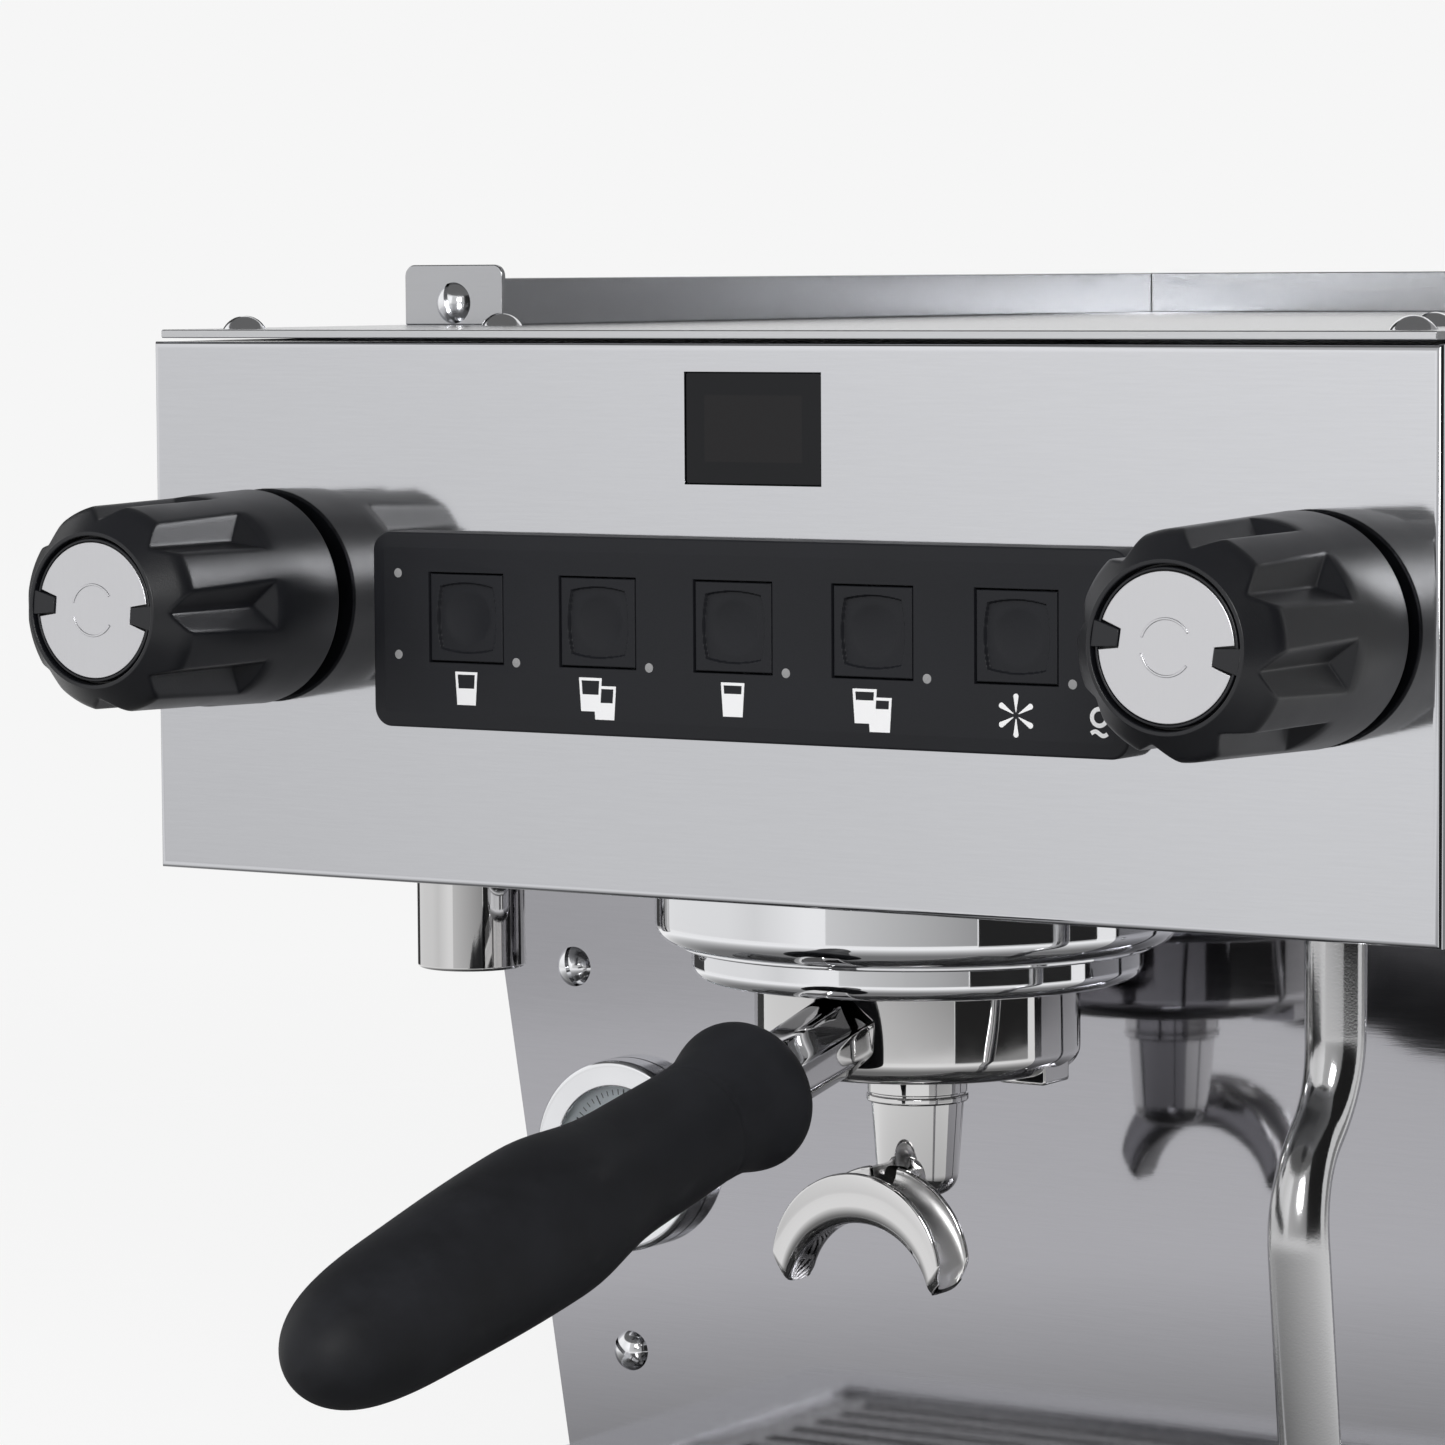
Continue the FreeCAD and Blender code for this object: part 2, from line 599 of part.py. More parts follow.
def turned(owner, drawing):
    """A sketch in the XZ plane turned once about Z."""
    feature = owner.newObject("PartDesign::Revolution", owner.Name + "_turn")
    feature.Profile = drawing
    feature.ReferenceAxis = (drawing, ["V_Axis"])
    feature.Angle = 360.0
    doc.recompute()
    return feature


def is_line_along(edge, axis):
    """Whether an edge is straight and runs along a coordinate axis."""
    if not isinstance(edge.Curve, Part.Line):
        return False
    return abs(abs(edge.tangentAt(edge.FirstParameter).dot(axis)) - 1) < 1e-6


def is_circle_at(edge, level, radius):
    """Whether an edge is a circle about Z of a given radius at a given height."""
    if not isinstance(edge.Curve, Part.Circle):
        return False
    return abs(edge.Curve.Center.z - level) < 1e-4 and abs(edge.Curve.Radius - radius) < 1e-4


def is_front_corner(edge):
    """Whether an edge is an upright one ahead of the front panel."""
    return is_line_along(edge, Vector(0, 0, 1)) and edge.CenterOfMass.y < levels.front


def make_front_panel():
    """Folded sheet with a rounded edge, a window for the display and two stem holes."""
    owner = body("front_panel_body", ("0", "front", "panel_bottom"))
    outline = rectangle("-half_width", "0", "half_width", "panel_height")
    slab = pad(owner, sketch(owner, "XZ_Plane", [outline]), "panel_return", backwards=True)
    edge_fillet(owner, slab, "panel_bend", lambda e: e.CenterOfMass.y < 1e-6)
    inside = rectangle("-half_width + sheet_wall", "sheet_wall",
                       "half_width - sheet_wall", "panel_height - sheet_wall")
    hollow = sketch(owner, "XZ_Plane", [inside], "-panel_return")
    pocket(owner, hollow, "panel_return - sheet_wall", backwards=True)
    window = rectangle("-display_width / 2", "display_level",
                       "display_width / 2", "display_level + display_height")
    holes = [((side, "knob_level"), "stem_radius + loose_fit")
             for side in ("knob_offset", "-knob_offset")]
    pocket(owner, sketch(owner, "XZ_Plane", [window] + holes), "panel_return")
    relief = sketch(owner, "XY_Plane", [(("0", "group_setback"), "bell_radius + seam")])
    pocket(owner, relief, "2 * sheet_wall", backwards=True)
    piece(owner, "front_panel")


def make_side_panel(label, side):
    """Upright sheet beside the head that leans in below it, down to the deck."""
    owner = body(label + "_body", ("0", "0", "0"))
    slope = "sheet_wall * sqrt(1 + (waist_inset / work_height) ^ 2)"
    upper = rectangle(f"{side} * (half_width - sheet_wall)", "panel_bottom",
                      f"{side} * half_width", "panel_top")
    pad(owner, sketch(owner, "XZ_Plane", [upper], "-(front + panel_return + seam)"),
        "sheet_rear - front - panel_return - seam", backwards=True)
    lower = [(f"{side} * half_width", "panel_bottom"),
             (f"{side} * (half_width - {slope})", "panel_bottom"),
             (f"{side} * (half_width - waist_inset - {slope})", "tray_top"),
             (f"{side} * (half_width - waist_inset)", "tray_top")]
    pad(owner, sketch(owner, "XZ_Plane", [lower], "-(splash_rear)"),
        "sheet_rear - splash_rear", backwards=True)
    piece(owner, label)


def make_rear_panel():
    """Sheet that closes the back, with a column of vent slots and the mains inlet's window."""
    owner = body("rear_panel_body", ("0", "rear", "0"))
    outline = [("-half_width", "panel_top"), ("-half_width", "panel_bottom"),
               ("-half_width + waist_inset", "tray_top"), ("half_width - waist_inset", "tray_top"),
               ("half_width", "panel_bottom"), ("half_width", "panel_top")]
    pad(owner, sketch(owner, "XZ_Plane", [outline]), "sheet_wall")
    window = rectangle("-mains_offset - mains_width / 2", "panel_bottom - mains_level - mains_height / 2",
                       "-mains_offset + mains_width / 2", "panel_bottom - mains_level + mains_height / 2")
    pocket(owner, sketch(owner, "XZ_Plane", [window]), "sheet_wall", backwards=True)
    slot = rectangle("half_width - waist_inset - vent_length - vent_pitch", "tray_top + vent_pitch",
                     "half_width - waist_inset - vent_pitch", "tray_top + vent_pitch + vent_width")
    vent = pocket(owner, sketch(owner, "XZ_Plane", [slot]), "sheet_wall", backwards=True)
    row_of(owner, vent, "Z_Axis", "(vent_rows - 1) * vent_pitch", "vent_rows")
    piece(owner, "rear_panel")


def make_lid():
    """Cup-warming lid with a row of vent slots towards the back."""
    owner = body("lid_body", ("0", "front", "lid_bottom"))
    outline = rectangle("-half_width + lid_inset", "lid_inset / 2",
                        "half_width - lid_inset", "body_depth - lid_inset")
    pad(owner, sketch(owner, "XY_Plane", [outline]), "lid_thickness")
    slot = rectangle("-vent_length / 2", "rail_back - vent_pitch - vent_width",
                     "vent_length / 2", "rail_back - vent_pitch")
    vent = pocket(owner, sketch(owner, "XY_Plane", [slot], "lid_thickness"), "lid_thickness")
    pattern = row_of(owner, vent, "Y_Axis", "(vent_rows - 1) * vent_pitch", "vent_rows")
    pattern.Reversed = True
    doc.recompute()
    piece(owner, "lid")


def dome_screw(name, at, along):
    """Domed screw head: a ball's cap standing on its seat, square to the given axis."""
    radius = "(screw_radius ^ 2 + screw_dome ^ 2) / (2 * screw_dome)"
    shift = f"({radius} - screw_dome)"
    x, y, z = at
    centres = {"Z": (x, y, f"{z} - {shift}"), "-Y": (x, f"{y} + {shift}", z)}
    whole = ball(name + "_ball", centres[along], radius)
    seat = rod(name + "_seat", at, "screw_radius + loose_fit", "screw_dome * 2", along)
    return common(name, whole, seat)


def make_screws():
    """Dome screws of the lid, the cup rail's tabs and the backsplash."""
    sides = ("1", "-1")
    lid_places = [(f"{side} * (half_width - lid_screw_edge)", y, "lid_top") for side in sides
                  for y in ("front + lid_screw_front", "rear - lid_screw_edge")]
    lid_places += [(f"{side} * (half_width - rail_inset - strip_screw_side)",
                    "front + rail_front - strip_screw_ahead", "lid_top") for side in sides]
    tab_places = [(f"{side} * (half_width - rail_inset + tab_width / 2)", "front + rail_front",
                   "lid_top + tab_screw_height") for side in sides]
    splash_places = [(f"{side} * (half_width - splash_screw_{row}_edge)", "splash_front",
                      f"panel_bottom - splash_screw_{row}") for side in sides for row in ("high", "low")]
    lid_heads = [dome_screw(f"lid_screw_{n}", at, "Z") for n, at in enumerate(lid_places)]
    tab_heads = [dome_screw(f"tab_screw_{n}", at, "-Y") for n, at in enumerate(tab_places)]
    splash_heads = [dome_screw(f"splash_screw_{n}", at, "-Y") for n, at in enumerate(splash_places)]
    piece(group("lid_screw_group", lid_heads + tab_heads), "lid_screws")
    piece(group("splash_screw_group", splash_heads), "backsplash_screws")


def make_cup_rail():
    """Low strip round three sides of the lid, with a tab at each front end."""
    inner = "(half_width - rail_inset)"
    outer = f"({inner} + rail_wall)"
    length = "rail_back - rail_front + rail_wall"
    y = "front + rail_front"
    strips = [block("rail_back_strip", (f"-{outer}", "front + rail_back", "lid_top"),
                    (f"2 * {outer}", "rail_wall", "rail_height"))]
    for name, strip_x, tab_x in (("left", f"-{outer}", f"-{inner} - tab_width"),
                                 ("right", inner, inner)):
        strips.append(block(f"rail_{name}_strip", (strip_x, y, "lid_top"),
                            ("rail_wall", length, "rail_height")))
        tab = block(f"rail_{name}_tab", (tab_x, y, "lid_top"), ("tab_width", "rail_wall", "tab_height"))
        doc.recompute()
        top = levels.lid_top + sheet.tab_height
        strips.append(rounded(f"rail_{name}_tab_rounded", tab, "tab_corner",
                              lambda e: is_line_along(e, Vector(0, 1, 0)) and e.CenterOfMass.z > top - 1e-6))
    piece(fuse("cup_rail_fuse", *strips), "cup_rail")


def make_head_floor():
    """Sheet under the head, with holes for the group, the nozzle and the wand."""
    plate = block("head_floor_plate",
                  ("-half_width + sheet_wall + seam", "front + panel_return + seam", "panel_bottom"),
                  ("panel_width - 2 * (sheet_wall + seam)", "splash_rear - front - panel_return - seam",
                   "sheet_wall"))
    holes = [rod("floor_group_hole", ("0", "group_y", "panel_bottom - sheet_wall"),
                 "bell_radius + seam", "sheet_wall * 3"),
             rod("floor_nozzle_hole", ("-nozzle_offset", "nozzle_y", "panel_bottom - sheet_wall"),
                 "nozzle_radius + seam", "sheet_wall * 3"),
             rod("floor_wand_hole", ("wand_offset", "wand_y", "panel_bottom - sheet_wall"),
                 "wand_nut_radius + seam", "sheet_wall * 3")]
    piece(cut("head_floor_cut", plate, *holes), "head_floor")


def make_backsplash():
    """Polished sheet that narrows downwards, with a hole for the gauge case."""
    owner = body("backsplash_body", ("0", "splash_front", "0"))
    outline = [("-half_width", "panel_bottom"), ("-half_width + waist_inset", "tray_top"),
               ("half_width - waist_inset", "tray_top"), ("half_width", "panel_bottom")]
    pad(owner, sketch(owner, "XZ_Plane", [outline]), "splash_wall", backwards=True)
    hole = (("-gauge_offset", "gauge_z"), "gauge_case_radius + seam")
    pocket(owner, sketch(owner, "XZ_Plane", [hole]), "splash_wall")
    piece(owner, "backsplash")


def make_chassis():
    """Open pan under the body with a flat tongue for the drip tray, and the deck that closes it."""
    depth = "rear - tray_front"
    shell = block("chassis_shell", ("-half_width", "tray_front", "foot_height"),
                  ("panel_width", depth, "base_height - sheet_wall - seam"))
    shell = rounded("chassis_rounded", shell, "tray_corner", is_front_corner)
    well = block("chassis_well", ("-half_width + sheet_wall", "splash_front + sheet_wall",
                                  "foot_height + sheet_wall"),
                 ("panel_width - 2 * sheet_wall", "rear - splash_front - 2 * sheet_wall", "base_height"))
    bay = block("chassis_bay", ("-panel_width", "tray_front - base_nose", "foot_height + sheet_wall"),
                ("2 * panel_width", "splash_front - tray_front + base_nose", "base_height"))
    hole = rod("chassis_inlet_hole", ("0", "inlet_y", "foot_height - sheet_wall"),
               "inlet_radius + seam", "sheet_wall * 3")
    piece(cut("chassis_cut", shell, well, bay, hole), "chassis_pan")
    deck = block("deck_plate", ("-half_width", "splash_front", "tray_top - sheet_wall"),
                 ("panel_width", "rear - splash_front", "sheet_wall"))
    pass_hole = rod("deck_hole", ("0", "inlet_y", "tray_top - 2 * sheet_wall"),
                    "inlet_radius + seam", "sheet_wall * 3")
    piece(cut("deck_cut", deck, pass_hole), "chassis_deck")


def make_feet():
    """Four round feet, each on a wider rubber pad."""
    feet = []
    pads = []
    for n, (side, y) in enumerate((s, y) for s in ("1", "-1")
                                  for y in ("tray_front + foot_inset", "rear - foot_inset")):
        at = f"{side} * (half_width - foot_inset)"
        feet.append(rod(f"foot_{n}", (at, y, "foot_pad_height"), "foot_radius",
                        "foot_height - foot_pad_height"))
        pads.append(cone(f"foot_pad_{n}", (at, y, "0"), "foot_pad_radius", "foot_radius",
                         "foot_pad_height"))
    piece(group("feet_group", feet), "feet")
    piece(group("foot_pads_group", pads), "foot_pads")


def make_drip_tray():
    """Sheet tray that slides out at the front: a skirt, a rim, and a tub with a ledge for the grille."""
    box = block("tray_box", ("-half_width", "tray_front", "tray_floor"),
                ("panel_width", "tray_rear - tray_front", "tray_top - tray_floor"))
    outside = rounded("tray_rounded", box, "tray_corner", is_front_corner)
    hollow = block("tray_hollow", ("-half_width + tray_wall", "tray_front + tray_wall", "foot_height"),
                   ("panel_width - 2 * tray_wall", "tray_rear - tray_front - 2 * tray_wall",
                    "base_height - tray_wall"))
    inside = rounded("tray_hollow_rounded", hollow, "tray_inner_corner", is_front_corner)
    skirt = cut("tray_skirt", outside, inside)
    collar = tub_block("tray_collar", "tray_wall", "grille_bottom - tray_wall", "tray_top")
    tub = tub_block("tray_tub", "tray_wall - tray_ledge", "tray_floor", "grille_bottom")
    bay = tub_block("tray_bay", "0", "grille_bottom", "tray_top + tray_wall")
    well = tub_block("tray_well", "-tray_ledge", "tray_floor + tray_wall", "tray_top")
    piece(cut("tray_cut", fuse("tray_fuse", skirt, collar, tub), bay, well), "drip_tray")


def tub_block(name, margin, low, high):
    """Box over the tray's bay, grown by a margin on its four sides, between two heights."""
    return block(name, (f"-bay_side - ({margin})", f"bay_front - ({margin})", low),
                 (f"2 * (bay_side + ({margin}))", f"bay_rear - bay_front + 2 * ({margin})",
                  f"{high} - ({low})"))


def make_drip_grille():
    """Plate with two columns of slots that run across the tray."""
    owner = body("drip_grille_body", ("0", "bay_front + loose_fit", "grille_bottom + loose_fit"))
    half = "(bay_side - loose_fit)"
    depth = "(bay_rear - bay_front - 2 * loose_fit)"
    pad(owner, sketch(owner, "XY_Plane", [rectangle(f"-{half}", "0", half, depth)]), "grille_thickness")
    pitch = "(grille_slot_width + grille_bar)"
    first = f"({depth} - (grille_slots - 1) * {pitch} - grille_slot_width) / 2"
    slots = [rectangle(f"-{half} + grille_rib", first, "-grille_rib / 2", f"{first} + grille_slot_width"),
             rectangle("grille_rib / 2", first, f"{half} - grille_rib", f"{first} + grille_slot_width")]
    cut_slots = pocket(owner, sketch(owner, "XY_Plane", slots, "grille_thickness"), "grille_thickness")
    row_of(owner, cut_slots, "Y_Axis", f"(grille_slots - 1) * {pitch}", "grille_slots")
    piece(owner, "drip_grille")


def key_x(number):
    """Middle of a key, counted from 1 at the left."""
    return f"(key_pitch * {number - 3} - key_shift)"


def led_places():
    """Indicator dots: two at the left margin and one beside each key."""
    left = "(-keypad_width / 2 + led_margin)"
    places = [(left, "led_high"), (left, "led_low")]
    return places + [(f"({key_x(n)} + led_key_offset)", "led_key_level") for n in range(1, 6)]


def make_keypad():
    """Bevelled plate with five square key holes, its indicator dots and the keys."""
    owner = body("keypad_plate_body", ("0", "front", "keypad_bottom"))
    outline = rectangle("-keypad_width / 2", "0", "keypad_width / 2", "keypad_height")
    slab = pad(owner, sketch(owner, "XZ_Plane", [outline]), "keypad_thickness")
    slab = edge_fillet(owner, slab, "keypad_corner", lambda e: is_line_along(e, Vector(0, 1, 0)))
    bevel = owner.newObject("PartDesign::Chamfer", "keypad_bevel_cut")
    face = -sheet.keypad_thickness
    bevel.Base = (slab, [f"Edge{n}" for n, e in enumerate(slab.Shape.Edges, 1)
                         if abs(e.BoundBox.YMax - face) < 1e-6])
    bevel.setExpression("Size", expression("keypad_bevel"))
    doc.recompute()
    half = "(key_size / 2 + loose_fit)"
    holes = [rectangle(f"{key_x(n)} - {half}", f"key_level - {half}",
                       f"{key_x(n)} + {half}", f"key_level + {half}") for n in range(1, 6)]
    dots = [(at, "led_radius + close_fit") for at in led_places()]
    pocket(owner, sketch(owner, "XZ_Plane", holes + dots), "keypad_thickness", backwards=True)
    piece(owner, "keypad_plate")
    leds = [rod(f"led_{n}", (x, "keypad_face", f"keypad_bottom + {z}"), "led_radius", "keypad_thickness", "Y")
            for n, (x, z) in enumerate(led_places())]
    piece(group("led_group", leds), "indicator_leds")
    for number in range(1, 6):
        make_key(number)


def make_key(number):
    """Square key with a raised, bow-sided field and a round finger dish."""
    name = f"button_{number}"
    x = key_x(number)
    plate = block(name + "_plate", (f"{x} - key_size / 2", "keypad_face", "key_z - key_size / 2"),
                  ("key_size", "key_depth", "key_size"))
    bow = "((key_pad / 2) ^ 2 + key_bulge ^ 2) / (2 * key_bulge)"
    reach = f"({bow} - key_pad / 2 - key_bulge)"
    field_y = "keypad_face - key_raise"
    field = None
    for n, (dx, dz) in enumerate(((1, 0), (-1, 0), (0, 1), (0, -1))):
        side = rod(f"{name}_bow_{n}", (f"{x} + {dx} * {reach}", field_y, f"key_z + {dz} * {reach}"),
                   bow, "key_raise + key_depth / 2", "Y")
        field = side if field is None else common(f"{name}_field_{n}", field, side)
    dish_radius = "((key_dish / 2) ^ 2 + key_dish_depth ^ 2) / (2 * key_dish_depth)"
    dish = ball(name + "_dish", (x, f"{field_y} + key_dish_depth - {dish_radius}", "key_z"), dish_radius)
    piece(cut(name + "_cut", fuse(name + "_fuse", plate, field), dish), name)


def make_display():
    """Dark window set in the panel, with its board behind."""
    gap = "seam / 2"
    piece(block("display_window_block",
                (f"-display_width / 2 + {gap}", "front + seam", f"panel_bottom + display_level + {gap}"),
                (f"display_width - 2 * {gap}", "display_depth", f"display_height - 2 * {gap}")),
          "display_window")
    piece(block("display_board_block",
                ("-display_width / 2 - display_margin", "front + seam + display_depth",
                 "panel_bottom + display_level - display_margin"),
                ("display_width + 2 * display_margin", "board_thickness",
                 "display_height + display_margin + board_head")),
          "display_board")


def notch_points(side, gap):
    """Corner points of a tapered notch that runs in from the cap's edge on one side."""
    mouth = f"(cap_notch_width / 2 - {gap})"
    end = f"(cap_notch_width / 2 - cap_notch_taper - {gap})"
    near = f"{side} * (cap_radius - cap_notch_depth + {gap})"
    far = f"{side} * (cap_radius + boss_moat)"
    return [(near, f"-{end}"), (far, f"-{mouth}"), (far, mouth), (near, end)]


def make_knob(prefix, side, tilt):
    """Fluted knob with an inset aluminium cap, on the stem of its valve; gives the valve's body.

    The knob is turned about its own Z, which points out of the panel, then laid along -Y.
    """
    turn = Rotation(Vector(1, 0, 0), 90).multiply(Rotation(Vector(0, 0, 1), getattr(sheet, tilt)))
    at = (f"{side} * knob_offset", "front", "knob_z")
    owner = body(prefix + "_knob_body", at, turn)
    hub = "(stem_radius + press_fit)"
    outline = [(hub, "knob_gap"), ("knob_radius", "knob_gap"),
               ("knob_radius", "rim_z - knob_bevel"), ("knob_rim_radius", "rim_z"),
               ("boss_radius + boss_moat", "rim_z"), ("boss_radius + boss_moat", "rim_z - boss_moat_depth"),
               ("boss_radius", "rim_z - boss_moat_depth"), ("boss_radius", "boss_z"),
               ("0", "boss_z"), ("0", "knob_gap + stem_grip"), (hub, "knob_gap + stem_grip")]
    turned(owner, sketch(owner, "XZ_Plane", [outline]))
    stretch = "sqrt(1 + (flute_run / flute_depth) ^ 2)"
    valley = f"(knob_radius - flute_depth) * {stretch}"
    outside = f"(knob_radius + flute_depth) * {stretch}"
    groove = [(valley, "0"), (outside, "-flute_width"), (outside, "flute_width")]
    lean = math.degrees(math.atan2(sheet.flute_run, sheet.flute_depth))
    lift = "flute_start + flute_run * knob_radius / flute_depth"
    rear_end = sketch(owner, "XY_Plane", [groove], lift, lean)
    flute = pocket(owner, rear_end, "knob_length", backwards=True, along=Vector(0, 0, -1))
    pattern = owner.newObject("PartDesign::PolarPattern", owner.Name + "_flutes")
    pattern.Originals = [flute]
    pattern.Axis = (origin_feature(owner, "Z_Axis"), [""])
    pattern.Angle = 360.0
    bind(pattern, {"Occurrences": "knob_flutes"})
    owner.Tip = pattern
    doc.recompute()
    seat = sketch(owner, "XY_Plane", [(("0", "0"), "cap_radius + cap_gap")], "boss_z")
    pocket(owner, seat, "cap_thickness")
    tabs = [notch_points(s, "cap_gap") for s in ("1", "-1")]
    pad(owner, sketch(owner, "XY_Plane", tabs, "boss_z - cap_thickness"), "cap_thickness + tab_raise")
    piece(owner, prefix + "_knob")

    cap = body(prefix + "_cap_body", at, turn)
    pad(cap, sketch(cap, "XY_Plane", [(("0", "0"), "cap_radius")], "boss_z - cap_thickness"), "cap_thickness")
    notches = [notch_points(s, "0") for s in ("1", "-1")]
    pocket(cap, sketch(cap, "XY_Plane", notches, "boss_z"), "cap_thickness")
    piece(cap, prefix + "_knob_cap")

    x = f"{side} * knob_offset"
    piece(rod(prefix + "_stem_rod", (x, "front + stem_reach", "knob_z"), "stem_radius",
              "stem_reach + knob_gap + stem_grip", "-Y"), prefix + "_valve_stem")
    shell = rod(prefix + "_valve_rod", (x, "front + sheet_wall", "knob_z"), "valve_radius",
                "valve_length", "Y")
    bore = rod(prefix + "_valve_bore", (x, "front", "knob_z"), "stem_radius + running_fit",
               "stem_reach + loose_fit", "Y")
    return cut(prefix + "_valve_cut", shell, bore)


def make_group():
    """Group bell, the head that locks the portafilter, its gasket and its shower screen."""
    bell = rod("bell_rod", ("0", "group_y", "panel_bottom - bell_drop"), "bell_radius",
               "bell_drop + bell_rise")
    doc.recompute()
    low = levels.panel_bottom - sheet.bell_drop
    bell = rounded("bell_rounded", bell, "bell_round", lambda e: is_circle_at(e, low, sheet.bell_radius))
    eye = rod("bell_eye", ("0", "group_y", "panel_bottom - bell_drop * 2"), "bell_radius - bell_wall",
              "bell_drop * 3 + bell_rise")
    piece(cut("bell_cut", bell, eye), "group_bell")

    head = rod("head_rod", ("0", "group_y", "panel_bottom - head_drop"), "head_radius",
               "head_drop + bell_rise")
    doc.recompute()
    base = levels.panel_bottom - sheet.head_drop
    head = rounded("head_rounded", head, "head_round", lambda e: is_circle_at(e, base, sheet.head_radius))
    socket = rod("head_socket", ("0", "group_y", "ledge_z"), "socket_radius", "socket_height")
    mouth = rod("head_mouth", ("0", "group_y", "ledge_z - head_drop"), "cup_radius + gate_play",
                "head_drop + loose_fit")
    gates = [sector(f"head_gate_{n}", "ledge_z - head_drop", "head_drop + loose_fit",
                    "cup_radius + lug_reach + gate_play",
                    f"{side} - lock_angle - lug_angle / 2 - gate_angle", "lug_angle + 2 * gate_angle")
             for n, side in enumerate((0, 180))]
    piece(cut("head_cut", head, socket, mouth, *gates), "group_head")

    ring = rod("gasket_rod", ("0", "group_y", "gasket_z"), "gasket_radius", "gasket_thickness")
    hole = rod("gasket_eye", ("0", "group_y", "gasket_z - gasket_thickness"), "gasket_radius - gasket_width",
               "gasket_thickness * 3")
    piece(cut("gasket_cut", ring, hole), "group_gasket")
    piece(rod("screen_rod", ("0", "group_y", "socket_top - screen_thickness"), "screen_radius",
              "screen_thickness"), "shower_screen")


def sector(name, low, height, radius, start, sweep):
    """Slice of a disc about the group axis, from a start angle."""
    thing = rod(name, ("0", "group_y", low), radius, height)
    bind(thing, {"Angle": sweep})
    thing.Placement = Placement(thing.Placement.Base, Rotation())
    thing.setExpression("Placement.Rotation.Angle", expression(start))
    thing.setExpression("Placement.Rotation.Axis.x", "0")
    thing.setExpression("Placement.Rotation.Axis.y", "0")
    thing.setExpression("Placement.Rotation.Axis.z", "1")
    return thing


def handle_frame():
    """Placement whose Z runs out along the handle from the group axis."""
    slope = math.radians(sheet.handle_drop)
    start = Vector(0, levels.group_y, levels.panel_bottom - sheet.arm_depth)
    return Placement(start, Rotation(Vector(0, 0, 1), Vector(0, -math.cos(slope), -math.sin(slope))))


def arm_section(half_width, half_height, bevel, lift, distance):
    """Eight-sided closed outline at a distance along the handle, lifted above the handle's axis."""
    w, h, b = half_width, half_height, bevel
    upper = [(w, h - b), (w - b, h), (b - w, h), (-w, h - b)]
    lower = [(-x, -y) for x, y in upper]
    points = [Vector(x, y + lift, distance) for x, y in upper + lower]
    return Part.makePolygon(points + points[:1])


def make_portafilter():
    """Portafilter body with its floor, lugs and arm, and the filter basket inside it."""
    cup = rod("cup_rod", ("0", "group_y", "cup_bottom"), "cup_radius", "cup_depth")
    doc.recompute()
    low = levels.cup_bottom
    cup = rounded("cup_rounded", cup, "cup_round", lambda e: is_circle_at(e, low, sheet.cup_radius))
    well = rod("cup_well", ("0", "group_y", "cup_bottom + cup_floor"), "cup_radius - cup_wall", "cup_depth")
    drain = rod("cup_drain", ("0", "group_y", "cup_bottom - cup_floor"), "spout_bore", "cup_floor * 3")
    lugs = [sector(f"lug_{n}", "ledge_z + loose_fit", "lug_thickness", "cup_radius + lug_reach",
                   f"{side} - lug_angle / 2", "lug_angle") for n, side in enumerate((0, 180))]
    arm = doc.addObject("Part::Feature", "arm_loft")
    root = arm_section(sheet.arm_width / 2, sheet.arm_thickness / 2, sheet.arm_bevel, sheet.arm_lift,
                       sheet.cup_radius - sheet.cup_wall / 2)
    end = sheet.arm_end_radius
    tail = arm_section(end, end, end * (2 - math.sqrt(2)), 0, sheet.handle_start)
    arm.Shape = Part.makeLoft([root, tail], True, True)
    arm.Placement = handle_frame()
    rest = block("rest_lug", ("rest_lug_reach - rest_lug_length", "group_y - rest_lug_width / 2",
                              "cup_bottom - rest_lug_drop"),
                 ("rest_lug_length", "rest_lug_width", "rest_lug_drop + cup_round"))
    whole = fuse("cup_fuse", cup, arm, rest, *lugs)
    piece(cut("cup_cut", whole, well, drain), "portafilter_body")

    radius = "(cup_radius - cup_wall - loose_fit)"
    height = "(cup_depth - cup_floor - loose_fit)"
    wall = rod("basket_rod", ("0", "group_y", f"cup_top - {height}"), radius, f"{height} + basket_rim")
    rim = rod("basket_rim_rod", ("0", "group_y", "cup_top"), "cup_radius - loose_fit", "basket_rim")
    inside = rod("basket_inside", ("0", "group_y", f"cup_top - {height} + basket_wall"),
                 f"{radius} - basket_wall", "cup_depth")
    piece(cut("basket_cut", fuse("basket_fuse", wall, rim), inside), "filter_basket")


